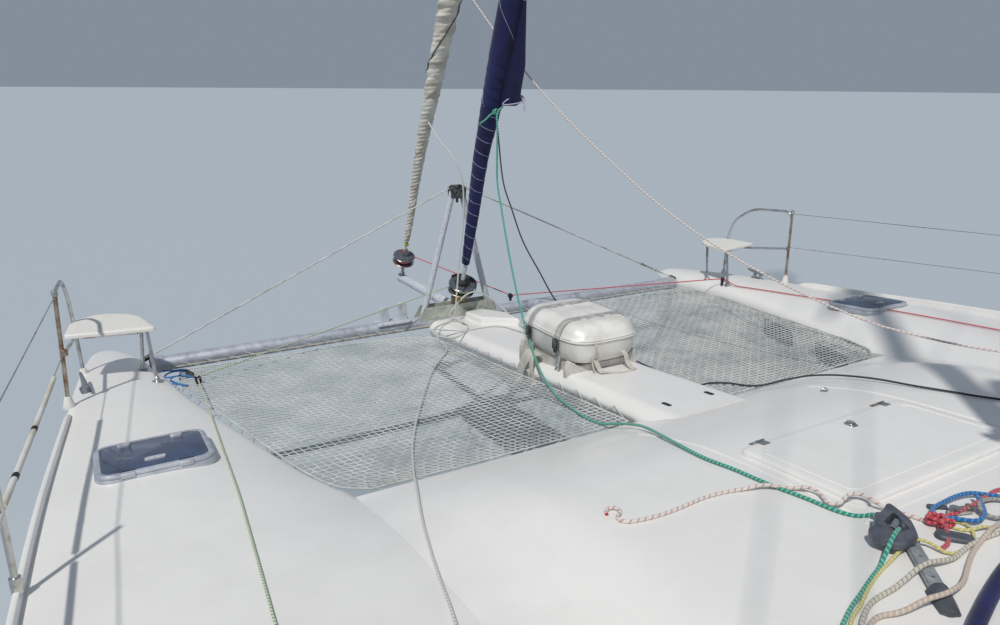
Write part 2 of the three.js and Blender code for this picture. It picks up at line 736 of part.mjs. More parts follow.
const NET = { thick: 12, front: 5875, aft: 3065, frontZ: 1375, aftZ: 1548, slack: 18, inboard: 420 };
function trampoline() {
  const hullSide = [4900, 4100, 3450].map((x) => [x, between(STATIONS, x, "inner") - NET.slack]);
  const outline = [
    [NET.front, NET.inboard],
    [NET.front, between(STATIONS, NET.front, "inner") - NET.slack],
    ...hullSide,
    [3200, 2040],
    [3110, 1960],
    [NET.aft, 1800],
    [NET.aft, NET.inboard],
  ];
  const slope = Math.atan2(NET.aftZ - NET.frontZ, NET.front - NET.aft);
  return plate(outline.map(([x, y]) => [x - NET.aft, y]), NET.thick)
    .rotateY(slope)
    .translate(NET.aft, 0, NET.aftZ - NET.thick);
}
pair("trampoline", trampoline(), FINISH.net);

// Furled headsails on their drums
const DRUM = [
  [20, 0],
  [95, 0],
  [95, 12],
  [55, 22],
  [55, 62],
  [95, 72],
  [95, 84],
  [30, 95],
  [24, 190],
  [0, 190],
]; // radius and height
const TACKS = {
  genoa: {
    x: BEAM.x,
    z: 1560,
    seat: BRACKET.top + GAP,
    top: [MAST.x + 140, HOUNDS],
    sag: 0,
    rolls: [
      [0, 26],
      [0.02, 30],
      [0.05, 60],
      [0.16, 80],
      [0.5, 95],
      [0.9, 60],
      [1, 26],
    ],
  },
  gennaker: {
    x: 7260,
    z: 1570,
    seat: SPRIT.z + SPRIT.radius - 1,
    top: [MAST.x + 140, HOUNDS + 500],
    sag: 170,
    rolls: [
      [0, 30],
      [0.03, 38],
      [0.08, 62],
      [0.18, 100],
      [0.5, 125],
      [0.9, 70],
      [1, 30],
    ],
  },
}; // tack's place, its seat's height, the halyard's [x, z], and rolls as [share of the luff, radius]
function roll({ x, z, top, sag, rolls }) {
  const foot = new THREE.Vector3(x, 0, z + 190 + GAP);
  const head = new THREE.Vector3(top[0], 0, top[1]);
  const along = head.clone().sub(foot);
  const down = new THREE.Vector3(-along.z, 0, along.x).normalize();
  const side = new THREE.Vector3(0, 1, 0);
  return loft(
    rolls.map(([t, radius]) => {
      const middle = foot.clone().addScaledVector(along, t).addScaledVector(down, 4 * sag * t * (1 - t));
      const flat = t === 0 ? new THREE.Vector3(1, 0, 0) : down;
      return circle(radius, 10).map(({ x: u, y: v }) =>
        middle.clone().addScaledVector(flat, u * (t === 0 ? -1 : 1)).addScaledVector(side, v).toArray(),
      );
    }),
  );
}
for (const [name, tack] of Object.entries(TACKS)) {
  const stem = [
    [0, tack.seat - tack.z],
    [20, tack.seat - tack.z],
  ];
  const drum = solid(turnedBody([...stem, ...DRUM], [tack.x, 0, tack.z], 16));
  single(`${name}_furler`, geometryOf(drum.subtract(sprit.translate([0, 0, GAP]))), FINISH.black);
  single(name, roll(tack), name === "genoa" ? FINISH.navy : FINISH.sailcloth);
}

// Mast, spreaders with their diamond stays, shrouds, boom with the stowed mainsail
function oval(long, wide, count) {
  return Array.from({ length: count }, (_, i) => {
    const a = (2 * Math.PI * i) / count;
    return [(long / 2) * Math.cos(a), (wide / 2) * Math.sin(a)];
  });
}
const mastFoot = foreTop(MAST.x, 0) + GAP;
const mastTube = loft(
  [mastFoot + 40, MAST.head].map((z) => oval(MAST.long, MAST.wide, 16).map(([u, v]) => [MAST.x + u, v, z])),
);
const step = box([MAST.x - 150, MAST.x + 150], [-110, 110], [mastFoot - 30, mastFoot + 60]);
const mast = joined(solid(mastTube), solid(step)).subtract(foredeck.translate([0, 0, GAP]));
single("mast", geometryOf(mast), FINISH.anodised);

const SPREADER = { z: 8600, tip: [330, 1180], low: 4950, high: 13900 };
const arm = loft(
  [
    [MAST.x, 40, 150, 34],
    [SPREADER.tip[0], SPREADER.tip[1], 90, 24],
  ].map(([x, y, long, thick]) => oval(long, thick, 8).map(([u, w]) => [x + u, y, SPREADER.z + w])),
);
const tipPoint = [SPREADER.tip[0], SPREADER.tip[1] - 12, SPREADER.z];
const diamond = joined(
  solid(arm),
  solid(bar([[MAST.x, 72, SPREADER.low], tipPoint], 5, { sides: 6 })),
  solid(bar([tipPoint, [MAST.x, 72, SPREADER.high]], 5, { sides: 6 })),
).subtract(mast.translate([0, GAP, 0]));
pair("diamond", geometryOf(largest(diamond)), FINISH.stainless);

function shroud(height) {
  const [x, y, z] = CHAINPLATE;
  return bar([[x, y, z + 60], [MAST.x - 20, 75, height]], 6, { sides: 6 });
}
const chainplate = solid(box([CHAINPLATE[0] - 30, CHAINPLATE[0] + 30], [3440, 3470], [1800, 1960]));
const capShroud = joined(solid(shroud(HOUNDS)), chainplate).subtract(mast.translate([0, GAP, 0]));
pair("cap_shroud", geometryOf(largest(offHull(capShroud, [0, 0, 1]))), FINISH.stainless);

const LOWER = { x: -560, tang: 8050 };
const lowerPlate = solid(box([LOWER.x - 30, LOWER.x + 30], [3440, 3470], [1800, 1960]));
const lowerWire = bar([[LOWER.x, 3455, 1940], [MAST.x - 20, 75, LOWER.tang]], 6, { sides: 6 });
const lowerShroud = joined(solid(lowerWire), lowerPlate).subtract(mast.translate([0, GAP, 0]));
pair("lower_shroud", geometryOf(largest(offHull(lowerShroud, [0, 0, 1]))), FINISH.stainless);

const boomTube = loft(
  [BOOM.front, BOOM.aft].map((x) => oval(BOOM.high, BOOM.wide, 12).map(([u, v]) => [x, v, BOOM.z + u])),
);
const tongue = box([BOOM.front - 20, BOOM.pivot + 8], [-14, 14], [BOOM.z - 35, BOOM.z + 35]);
single("boom", geometryOf(joined(solid(boomTube), solid(tongue))), FINISH.anodised);
const BAG = [
  { x: 680, high: 520, wide: 200 },
  { x: 300, high: 500, wide: 270 },
  { x: -2400, high: 360, wide: 250 },
  { x: -4600, high: 220, wide: 180 },
]; // stowed mainsail in its bag on the boom
const bagLow = BOOM.z + BOOM.high / 2 + GAP;
const bag = loft(
  BAG.map(({ x, high, wide }) =>
    [
      [0.35, 0],
      [0.5, 0.45],
      [0.3, 0.9],
      [0, 1],
      [-0.3, 0.9],
      [-0.5, 0.45],
      [-0.35, 0],
    ].map(([s, h]) => [x, s * wide, bagLow + h * high]),
  ),
);
single("mainsail", bag, FINISH.sailcloth);

// Pulpits with their seats, rails with stanchions, tracks, winches
const PULPIT = { radius: 13, top: 2265, seat: 1835 };
const SEAT = {
  thick: 28,
  outline: [
    [5255, 2665],
    [5325, 3190],
    [5590, 3165],
    [5680, 3095],
    [5755, 2995],
    [5765, 2885],
    [5720, 2790],
    [5620, 2720],
  ],
}; // the seat in plan, from its inboard after corner
const pulpitBars = [
  [
    [4915, 3195, 1520],
    [4915, 3195, PULPIT.top],
    [5390, 3165, 2225],
    [5610, 3150, 2070],
    [5680, 3138, 1850],
    [5672, 3125, 1400],
  ],
  [[4915, 3195, 1885], [5430, 3150, 1800]],
  [[5550, 2775, 1380], [5555, 2745, PULPIT.seat - 8]],
  [[5200, 2695, 1380], [5225, 2695, PULPIT.seat - 8]],
];
const seatFrame = [
  [5555, 2745, 1822],
  [5225, 2695, 1822],
  [5300, 3161, 1822],
];
const pulpit = joined(
  ...pulpitBars.map((points) =>
    solid(bar(points, PULPIT.radius, { bend: 60, steps: points.length === 2 ? 1 : 36 })),
  ),
  solid(bar(seatFrame, PULPIT.radius - 2, { bend: 12, steps: 40 })),
);
const seatPlate = plate(SEAT.outline, SEAT.thick).translate(0, 0, PULPIT.seat);
const pulpitSolid = largest(offHull(pulpit, [0, 0, 1]));
pair("pulpit", geometryOf(pulpitSolid), FINISH.stainless);
pair("pulpit_seat", seatPlate, FINISH.gelcoat);

const STANCHIONS = [2720, 1000, -800, -2600]; // x
const RAIL = { height: 640, radius: 13, wide: 30, high: 28, from: 4780, to: -4880 };
const railXs = [RAIL.from, 4100, 3450, 2700, 2300, 600, -1500, -3600, RAIL.to];
const railY = (x) => between(STATIONS, x, "outer") - 55;
const railZ = (x) => between(STATIONS, x, "crown") - 30;
const toeRail = loft(
  railXs.map((x) => [
    [x, railY(x), railZ(x)],
    [x, railY(x) + RAIL.wide, railZ(x)],
    [x, railY(x) + RAIL.wide, railZ(x) + 30 + RAIL.high],
    [x, railY(x), railZ(x) + 30 + RAIL.high],
  ]),
);
const stanchions = STANCHIONS.map((x) =>
  solid(
    bar(
      [
        [x, railY(x) + 15, railZ(x)],
        [x, railY(x) + 15, railZ(x) + RAIL.height],
      ],
      RAIL.radius,
    ),
  ),
);
const quarter = [-3950, -4800].map((x) => [x, railY(x) + 15, railZ(x)]);
const pushpit = bar(
  [
    quarter[0],
    [quarter[0][0], quarter[0][1], quarter[0][2] + RAIL.height],
    [quarter[1][0], quarter[1][1], quarter[1][2] + RAIL.height],
    quarter[1],
  ],
  RAIL.radius,
  { steps: 24, bend: 90 },
);
const rail = offHull(joined(solid(toeRail), ...stanchions, solid(pushpit)), [0, 0, 1]);
pair("rail", geometryOf(largest(rail)), FINISH.stainless);

const TRACK = { front: [1345, 640], aft: [930, 880], wide: 40, high: 32 };
const trackLong = Math.hypot(TRACK.front[0] - TRACK.aft[0], TRACK.front[1] - TRACK.aft[1]);
const trackTurn = Math.atan2(TRACK.front[1] - TRACK.aft[1], TRACK.front[0] - TRACK.aft[0]);
const trackMiddle = [(TRACK.front[0] + TRACK.aft[0]) / 2, (TRACK.front[1] + TRACK.aft[1]) / 2];
const trackFoot = foreTop(...trackMiddle) + 9;
const trackBar = joined(
  solid(box([-trackLong / 2, trackLong / 2], [-TRACK.wide / 2, TRACK.wide / 2], [-20, TRACK.high])),
  solid(box([trackLong / 2 - 190, trackLong / 2 - 40], [-38, 38], [6, 100])),
)
  .rotate([0, 0, THREE.MathUtils.radToDeg(trackTurn)])
  .translate([...trackMiddle, trackFoot])
  .subtract(foredeck.translate([0, 0, GAP]));
pair("genoa_track", geometryOf(trackBar), FINISH.anodised);

export default boat;
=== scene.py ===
"""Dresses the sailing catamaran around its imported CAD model, piece by piece. Lengths are in metres.

+X runs to the bows, +Y to port and +Z up, from an origin amidships at the waterline.
"""

import bpy
import numpy as np
from mathutils import Matrix, Vector
from mathutils.bvhtree import BVHTree


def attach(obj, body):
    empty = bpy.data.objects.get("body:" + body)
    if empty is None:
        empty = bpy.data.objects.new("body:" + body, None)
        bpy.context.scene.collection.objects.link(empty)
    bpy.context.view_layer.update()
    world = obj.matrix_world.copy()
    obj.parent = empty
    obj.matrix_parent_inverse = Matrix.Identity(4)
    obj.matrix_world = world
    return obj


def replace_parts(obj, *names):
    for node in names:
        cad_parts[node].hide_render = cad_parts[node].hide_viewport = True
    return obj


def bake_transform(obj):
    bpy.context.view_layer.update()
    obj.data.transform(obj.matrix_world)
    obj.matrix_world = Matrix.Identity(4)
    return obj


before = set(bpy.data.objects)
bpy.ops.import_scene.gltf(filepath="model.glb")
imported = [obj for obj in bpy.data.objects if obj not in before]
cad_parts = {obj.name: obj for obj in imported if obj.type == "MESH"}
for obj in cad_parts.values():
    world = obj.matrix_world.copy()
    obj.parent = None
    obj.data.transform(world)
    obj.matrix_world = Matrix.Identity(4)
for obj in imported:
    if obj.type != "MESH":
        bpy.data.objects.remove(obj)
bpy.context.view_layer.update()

# Camera, at a standing person's eye on the port side deck beside the mast, looking to the bows. Its place was
# fitted to the mirrored points of both bows. Its focal length belongs to a picture 1000 pixels wide.
EYE = (-0.05, 3.034, 3.439)
FOCAL_PX = 745
PITCH = np.radians(16.88)  # down
YAW = np.radians(29.99)  # to starboard
ROLL = np.arctan(7 / 1000)

ahead = np.array([np.cos(YAW) * np.cos(PITCH), -np.sin(YAW) * np.cos(PITCH), -np.sin(PITCH)])
right = np.array([-np.sin(YAW), -np.cos(YAW), 0])
over = np.cross(right, ahead)
view_axes = [
    right * np.cos(ROLL) + over * np.sin(ROLL),
    over * np.cos(ROLL) - right * np.sin(ROLL),
    -ahead,
]
lens = bpy.data.cameras.new("eye")
lens.sensor_width = 36
lens.lens = FOCAL_PX / 1000 * lens.sensor_width
lens.clip_end = 2000
camera = bpy.data.objects.new("eye", lens)
turn = np.eye(4)
turn[:3, :3] = np.transpose(view_axes)
turn[:3, 3] = EYE
camera.matrix_world = Matrix(turn.tolist())
bpy.context.scene.collection.objects.link(camera)
bpy.context.scene.camera = camera


# Floor and light: a wide pale matt floor at the waterline, a high sun from the port quarter that is softened,
# and a pale dome of fill. The picture keeps plain display colours, so that white paint stays white.
def linear(hex_colour):
    """An sRGB hex colour as linear red, green, blue and alpha: each channel is undone from the sRGB curve."""
    c = np.array([int(hex_colour[i : i + 2], 16) for i in (0, 2, 4)]) / 255
    c = np.where(c <= 0.04045, c / 12.92, ((c + 0.055) / 1.055) ** 2.4)
    return (*c.tolist(), 1.0)


def add(tree, kind, sockets=None, **settings):
    """Adds a shader node: settings are its properties, sockets its inputs, each a value or a socket to link."""
    made = tree.nodes.new("ShaderNode" + kind)
    for name, value in settings.items():
        setattr(made, name, value)
    for name, value in (sockets or {}).items():
        if isinstance(value, bpy.types.NodeSocket):
            tree.links.new(value, made.inputs[name])
        else:
            made.inputs[name].default_value = value
    return made


def painted(name, colour, roughness, **values):
    """A material of one colour and gloss: returns it, its node tree and its shader. Values are shader sockets."""
    made = bpy.data.materials.new(name)
    made.use_nodes = True
    shader = made.node_tree.nodes["Principled BSDF"]
    shader.inputs["Base Color"].default_value = linear(colour)
    shader.inputs["Roughness"].default_value = roughness
    for socket, value in values.items():
        shader.inputs[socket.replace("_", " ")].default_value = value
    return made, made.node_tree, shader


def mesh_object(name, points, faces, finish):
    """A mesh object of its own from points and faces, with one material."""
    mesh = bpy.data.meshes.new(name)
    mesh.from_pydata(np.asarray(points).reshape(-1, 3).tolist(), [], [list(map(int, f)) for f in faces])
    mesh.materials.append(finish)
    made = bpy.data.objects.new(name, mesh)
    bpy.context.scene.collection.objects.link(made)
    return made


FLOOR_HALF = 900
floor_paint, _, _ = painted("matt_studio_floor", "AEB7BF", 0.9)
corners = [(-FLOOR_HALF, -FLOOR_HALF, 0), (FLOOR_HALF, -FLOOR_HALF, 0), (FLOOR_HALF, FLOOR_HALF, 0),
           (-FLOOR_HALF, FLOOR_HALF, 0)]
floor = mesh_object("floor", corners, [(0, 1, 2, 3)], floor_paint)

SUN_RUN = np.array([0.363, -0.372, -0.735])  # the way the light travels, read from the shadow of a post
SUN_STRENGTH = 2.65
SUN_WIDTH = np.radians(1.6)
FILL_STRENGTH = 0.38
key = bpy.data.lights.new("key", "SUN")
key.energy = SUN_STRENGTH
key.angle = SUN_WIDTH
key.color = (1.0, 0.97, 0.92)
sun = bpy.data.objects.new("key", key)
back = -SUN_RUN / np.linalg.norm(SUN_RUN)
side = np.cross((0, 0, 1), back)
side /= np.linalg.norm(side)
aim = np.eye(4)
aim[:3, :3] = np.transpose([side, np.cross(back, side), back])
sun.matrix_world = Matrix(aim.tolist())
bpy.context.scene.collection.objects.link(sun)

dome = bpy.data.worlds.new("dome")
bpy.context.scene.world = dome
dome.use_nodes = True
background = dome.node_tree.nodes["Background"]
background.inputs["Color"].default_value = linear("CDDCF0")
background.inputs["Strength"].default_value = FILL_STRENGTH
bpy.context.scene.view_settings.view_transform = "Standard"


# Hulls: moulded GRP with a glossy gelcoat, decked over, each with a forepeak under its deck hatch, an engine
# bay and steps down its stern. They are lofted through the stations of the CAD model and then cut.
def quads(rows, columns, closed=False):
    """The faces of a grid of points, row after row, joined round its columns where it is closed."""
    i, j = np.meshgrid(np.arange(rows - 1), np.arange(columns if closed else columns - 1), indexing="ij")
    k = (j + 1) % columns
    return np.stack([i * columns + j, i * columns + k, (i + 1) * columns + k, (i + 1) * columns + j],
                    -1).reshape(-1, 4)


def at_height(line, z):
    """A line of x, y points at one height."""
    return np.c_[line, np.full(len(line), z)]


def loft(rings):
    """Points and faces of a closed body through rings of as many points each, flat at both ends."""
    rings = np.asarray(rings, float)
    rows, columns = rings.shape[:2]
    ends = [range(columns - 1, -1, -1), range((rows - 1) * columns, rows * columns)]
    return rings.reshape(-1, 3), [*quads(rows, columns, True), *ends]


def outward(points, faces):
    """The faces turned to look outwards: their signed volume, summed over fans, says which way they look."""
    p = np.asarray(points)
    six = sum(np.einsum("i,ji->", p[f[0]], np.cross(p[list(f[1:-1])], p[list(f[2:])])) for f in faces)
    return faces if six > 0 else [list(f)[::-1] for f in faces]


def smooth(made, sharp=32):
    """Smooth shading, but for edges that fold by more than the angle in degrees."""
    made.data.shade_smooth()
    made.data.set_sharp_from_angle(angle=np.radians(sharp))
    return made


def body_piece(name, points, faces, finish, body="boat", slot=None, sharp=32):
    """A closed piece: its faces look outwards, it is shaded smooth and it rides on a body."""
    made = smooth(mesh_object(name, points, outward(points, faces), finish), sharp)
    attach(made, body)
    return made


def shaped(made, *changes):
    """Applies modifiers for good. Each change is a kind and its settings; the mesh becomes what they give."""
    for kind, settings in changes:
        modifier = made.modifiers.new(kind.lower(), kind)
        for name, value in settings.items():
            setattr(modifier, name, value)
    evaluated = made.evaluated_get(bpy.context.evaluated_depsgraph_get())
    mesh = bpy.data.meshes.new_from_object(evaluated)
    made.modifiers.clear()
    made.data = mesh
    return made


def cut(made, *tools, how="DIFFERENCE"):
    """Takes closed bodies out of a piece, or joins them to it. The bodies are used up."""
    for points, faces in tools:
        tool = mesh_object("tool", points, outward(points, faces), made.data.materials[0])
        shaped(made, ("BOOLEAN", {"operation": how, "object": tool, "solver": "EXACT"}))
        bpy.data.objects.remove(tool)
    return made


def mirrored(made, name):
    """The starboard twin of a port piece: a copy with y turned round and its faces turned to look outwards."""
    twin = made.copy()
    twin.data = made.data.copy()
    twin.name = twin.data.name = name
    twin.data.transform(Matrix.Diagonal((1, -1, 1, 1)))
    twin.data.flip_normals()
    bpy.context.scene.collection.objects.link(twin)
    return twin


def twinned(made, name, replaced=None, rides=None):
    """Adds a port piece's twin, a mirrored copy with the same material. It rides on the boat or on the body of its own
    side, and where a pair of nodes is named, each of the two replaces its own."""
    twin = mirrored(made, f"{name}_starboard")
    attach(twin, f"{rides}_starboard" if rides else "boat")
    if replaced:
        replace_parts(made, f"{replaced}_port")
        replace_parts(twin, f"{replaced}_starboard")


def monotone(x, knots, values):
    """Smooth curve through values at rising knots that never overshoots: a cubic between each two knots, with
    the harmonic mean of the two slopes beside a knot as its slope there, and none where they turn."""
    gap = np.diff(knots)[:, None]
    slope = np.diff(values, axis=0) / gap
    a, b = slope[:-1], slope[1:]
    same = a * b > 0
    mean = np.where(same, 2 * a * b / np.where(same, a + b, 1), 0)
    ends = np.vstack([slope[:1], mean, slope[-1:]])
    x = np.clip(x, knots[0], knots[-1])
    i = np.clip(np.searchsorted(knots, x, side="right") - 1, 0, len(knots) - 2)
    t = ((x - knots[i]) / gap[i, 0])[:, None]
    h = gap[i]
    return (
        values[i] * (1 + 2 * t) * (1 - t) ** 2
        + ends[i] * h * t * (1 - t) ** 2
        + values[i + 1] * t * t * (3 - 2 * t)
        - ends[i + 1] * h * t * t * (1 - t)
    )


def through(points, n=8):
    """A smooth line through points, n steps to each: Catmull and Rom's cubic, whose direction at a point is that
    from the point before to the point after."""
    p = np.asarray(points, float)
    q = np.vstack([2 * p[0] - p[1], p, 2 * p[-1] - p[-2]])
    a, b, c, d = q[:-3, None], q[1:-2, None], q[2:-1, None], q[3:, None]
    t = (np.arange(n) / n)[None, :, None]
    line = 0.5 * (2 * b + (c - a) * t + (2 * a - 5 * b + 4 * c - d) * t**2 + (3 * b - a - 3 * c + d) * t**3)
    return np.vstack([line.reshape(-1, p.shape[1]), p[-1:]])


# Columns: x, inner and outer deck edge y, crown z, inner edge z, keel line z, inner and outer waterline y, and
# y and z of the knee where the inner side turns down to the water. In millimetres, as in the CAD model.
STATIONS = np.array([
    [-6500, 2130, 3430, 1800, 1765, -60, 2420, 3240, 2160, 600],
    [-5200, 2050, 3500, 1850, 1815, -300, 2330, 3310, 2050, 750],
    [-3600, 2050, 3540, 1885, 1850, -440, 2260, 3350, 2050, 750],
    [-1500, 2050, 3550, 1885, 1850, -510, 2240, 3370, 2050, 750],
    [600, 2050, 3520, 1845, 1800, -520, 2260, 3360, 2050, 750],
    [2300, 2050, 3450, 1742, 1690, -510, 2330, 3330, 2050, 750],
    [2700, 2050, 3430, 1713, 1625, -505, 2365, 3320, 2050, 880],
    [3030, 2050, 3410, 1692, 1550, -500, 2400, 3310, 2050, 1150],
    [3450, 2165, 3380, 1662, 1520, -490, 2450, 3290, 2330, 950],
    [4100, 2340, 3325, 1605, 1505, -470, 2530, 3250, 2475, 900],
    [4900, 2525, 3245, 1548, 1480, -440, 2640, 3190, 2595, 900],
    [5550, 2630, 3180, 1498, 1436, -400, 2740, 3130, 2695, 900],
    [6100, 2725, 3105, 1438, 1385, -330, 2835, 3065, 2795, 900],
    [6400, 2840, 3045, 1390, 1342, -140, 2915, 2985, 2890, 850],
    [6480, 2905, 2985, 1345, 1315, 150, 2935, 2965, 2930, 800],
]) / 1000
FORE_EDGE = 3.03  # x of the foredeck's front edge
# Deck across from its inner to its outer edge: share of the width, share of the rise, and drop below the crown.
CAMBER = np.array([[0, 0, 0], [0.22, 0.62, 0], [0.45, 0.95, 0], [0.62, 1, 0], [0.82, 1, 0.004], [0.96, 1, 0.016],
                   [1, 1, 0.06]])
EDGE_ROUND = 0.07  # radius of the free inner edge beside the nets


def station(x, column):
    """The values of one of the stations' columns at each x, on the smooth curve through them."""
    return monotone(np.atleast_1d(np.asarray(x, float)), STATIONS[:, 0], STATIONS[:, column, None])[:, 0]


def smoothstep(x, low, high):
    """0 below low, 1 above high, and 3t^2 - 2t^3 between."""
    t = np.clip((x - low) / (high - low), 0, 1)
    return t * t * (3 - 2 * t)


def hull_deck(x, y):
    """Height of the hull's deck at x, y: the inner edge's height and the rise to the crown, shared by the camber,
    less the quarter ellipse that rounds the free inner edge."""
    x, y = np.broadcast_arrays(np.atleast_1d(x).astype(float), np.abs(y))
    row = monotone(x.ravel(), STATIONS[:, 0], STATIONS[:, 1:]).reshape(*x.shape, -1)
    inner, outer, crown, edge = (row[..., k] for k in range(4))
    v = np.clip((y - inner) / (outer - inner), 0, 1)
    share = monotone(v.ravel(), CAMBER[:, 0], CAMBER[:, 1:]).reshape(*v.shape, 2)
    reach = EDGE_ROUND / (outer - inner)
    fall = EDGE_ROUND * smoothstep(x, FORE_EDGE, FORE_EDGE + 0.35) * smoothstep(outer - inner, 0.1, 0.45)
    t = np.clip(1 - v / reach, 0, 1)
    return edge + (crown - edge) * share[..., 0] - share[..., 1] - fall * (1 - np.sqrt(1 - t * t))


def hull_rings(xs):
    """Closed sections of the port hull at xs: the deck, then the outer side, the keel line and the inner side as a
    smooth line through their points."""
    s = monotone(xs, STATIONS[:, 0], STATIONS[:, 1:])
    inner, outer, crown, edge, keel, w_in, w_out, knee_y, knee_z = s.T
    v = np.r_[0, 0.004, 0.015, 0.035, 0.06, np.linspace(0.09, 0.94, 13), 0.965, 0.985, 1]
    deck_y = inner[:, None] + v * (outer - inner)[:, None]
    deck = np.dstack([deck_y, hull_deck(np.repeat(xs[:, None], len(v), 1), deck_y)])
    centre, half = (w_in + w_out) / 2, (w_out - w_in) / 2
    low = [
        (outer, crown - 0.06),
        (outer + 0.35 * (w_out - outer), 0.55 * crown),
        (w_out, np.full_like(w_out, 0.08)),
        (centre + 0.84 * half, 0.45 * keel),
        (centre + 0.46 * half, 0.88 * keel),
        (centre, keel),
        (centre - 0.46 * half, 0.88 * keel),
        (centre - 0.84 * half, 0.45 * keel),
        (w_in, np.full_like(w_in, 0.08)),
        (0.55 * w_in + 0.45 * knee_y, 0.08 + 0.62 * (knee_z - 0.08)),
        (knee_y, knee_z),
    ]
    low = np.array(low).transpose(2, 0, 1)
    sides = np.array([through(section, 5) for section in low])
    rings = np.concatenate([deck, sides[:, 1:]], 1)
    return np.dstack([np.repeat(xs[:, None], rings.shape[1], 1), rings])


SIDES = ((1, "port"), (-1, "starboard"))
BOW = 6.48
hull_x = np.r_[np.linspace(-6.5, 5.9, 94), np.linspace(6.0, BOW, 13)]
sections = hull_rings(hull_x)
stem = sections[-1].mean(0) * [0, 1, 0]
for forward, wide, drop in [(0.004, 0.7, 0.003), (0.007, 0.25, 0.012)]:
    nose = sections[len(hull_x) - 1].copy()
    nose[:, 0] += forward
    nose[:, 1] = stem[1] + (nose[:, 1] - stem[1]) * wide
    nose[:, 2] -= drop * np.sign(nose[:, 2] - 0.7)
    sections = np.concatenate([sections, nose[None]])

gelcoat, tree, shader = painted("aged_white_gelcoat", "E6E4E0", 0.32, IOR=1.5, Coat_Weight=0.25, Coat_Roughness=0.12)
# Gelcoat is moulded polyester: smooth and glossy, a little chalked and grimy in blotches, and below the boot top
# it wears matt antifouling.
GRIME_SIZE = 0.35
BOOT_TOP = 0.05
place = add(tree, "TexCoord").outputs["Object"]
grime = add(tree, "TexNoise", {"Vector": place, "Scale": 1 / GRIME_SIZE, "Detail": 7.0, "Roughness": 0.62})
dirt = add(tree, "ValToRGB", {"Fac": grime.outputs["Fac"]})
dirt.color_ramp.elements[0].position = 0.38
dirt.color_ramp.elements[0].color = linear("E6E4E1")
dirt.color_ramp.elements[1].position = 0.58
dirt.color_ramp.elements[1].color = linear("EBE9E6")
height = add(tree, "SeparateXYZ", {"Vector": place}).outputs["Z"]
above = add(tree, "Math", {0: height, 1: BOOT_TOP}, operation="GREATER_THAN").outputs["Value"]
both = add(tree, "Mix", {"Factor": above, 6: linear("2B3A50"), 7: dirt.outputs["Color"]}, data_type="RGBA")
tree.links.new(both.outputs[2], shader.inputs["Base Color"])
gloss = add(tree, "MapRange", {"Value": grime.outputs["Fac"], "From Min": 0.3, "From Max": 0.7, "To Min": 0.45,
                               "To Max": 0.26})
tree.links.new(gloss.outputs["Result"], shader.inputs["Roughness"])
PEEL_SIZE = 0.004  # the mould's fine texture, coarser than it is so that it shows
peel = add(tree, "TexNoise", {"Vector": place, "Scale": 1 / PEEL_SIZE, "Detail": 2.0})
relief = add(tree, "Bump", {"Height": peel.outputs["Fac"], "Strength": 0.12, "Distance": 0.001})
tree.links.new(relief.outputs["Normal"], shader.inputs["Normal"])


def prism(outline, low, high):
    """An outline in x and z as a closed body from y low to y high."""
    x, z = np.array(outline, float).T
    return loft([np.c_[x, np.full_like(x, y), z] for y in (low, high)])


def block(x, y, z):
    """A closed box between pairs of limits."""
    return prism([(x[0], z[0]), (x[1], z[0]), (x[1], z[1]), (x[0], z[1])], *y)


HATCH = {"x": 3.75, "y": 2.85, "long": 0.46, "wide": 0.545, "wall": 0.05, "depth": 0.65, "tilt": 0.088}
hatch_z = hull_deck(HATCH["x"], 2.95).item()


def on_hatch(points):
    """Points in the hatch's own frame, x forward from its middle and z up from the deck, set on the port deck."""
    c, s = np.cos(HATCH["tilt"]), np.sin(HATCH["tilt"])
    x, y, z = np.moveaxis(np.asarray(points, float), -1, 0)
    return np.stack([HATCH["x"] + x * c + z * s, HATCH["y"] + y, hatch_z - x * s + z * c], -1)


def rounded_oblong(long, wide, radius, n=6):
    """A rectangle with arcs at its corners, as x, y points round its middle."""
    t = np.linspace(0, np.pi / 2, n + 1)
    arcs = [
        np.c_[sx * (long / 2 - radius), sy * (wide / 2 - radius)] + radius * np.c_[np.cos(t + a), np.sin(t + a)]
        for sx, sy, a in [(1, 1, 0), (-1, 1, np.pi / 2), (-1, -1, np.pi), (1, -1, 1.5 * np.pi)]
    ]
    return np.vstack(arcs)


BAY = {"x": (-4.95, -3.95), "y": (2.48, 3.15), "floor": 0.2, "top": 1.905, "rim": 0.04}
STEPS = [(-5.0, 1.5), (-5.35, 1.15), (-5.72, 0.8), (-6.09, 0.45)]  # x where each tread starts, and its height
STEP_Y = (2.27, 3.3)
well = rounded_oblong(HATCH["long"] - 2 * HATCH["wall"], HATCH["wide"] - 2 * HATCH["wall"], 0.05)
well_body = loft([on_hatch(at_height(well, z)) for z in (-HATCH["depth"], 0.2)])
rake = [(-4.95, 2.3), (-4.95, 1.9), (-6.35, 0.76), (-6.7, 0.7), (-6.7, 2.3)]
treads = [p for i, (x, z) in enumerate(STEPS) for p in ((x, STEPS[i - 1][1] if i else 2.3), (x, z))]
points, faces = loft(sections)
hull_port = smooth(mesh_object("hull_skin_port", points, outward(points, faces), gelcoat))
rim = block((BAY["x"][0] - BAY["rim"], BAY["x"][1] + BAY["rim"]), (BAY["y"][0] - BAY["rim"], BAY["y"][1] + BAY["rim"]),
            (1.7, BAY["top"]))
cut(hull_port, rim, how="UNION")
cut(
    hull_port,
    prism(rake, 2.0, 3.7),
    prism([*treads, (-6.7, 0.45), (-6.7, 2.3)], *STEP_Y),
    block((STEPS[2][0], STEPS[1][0]), (2.0, STEP_Y[0] + 0.005), (STEPS[1][1], 2.3)),
    well_body,
    block(BAY["x"], BAY["y"], (BAY["floor"], 2.3)),
)
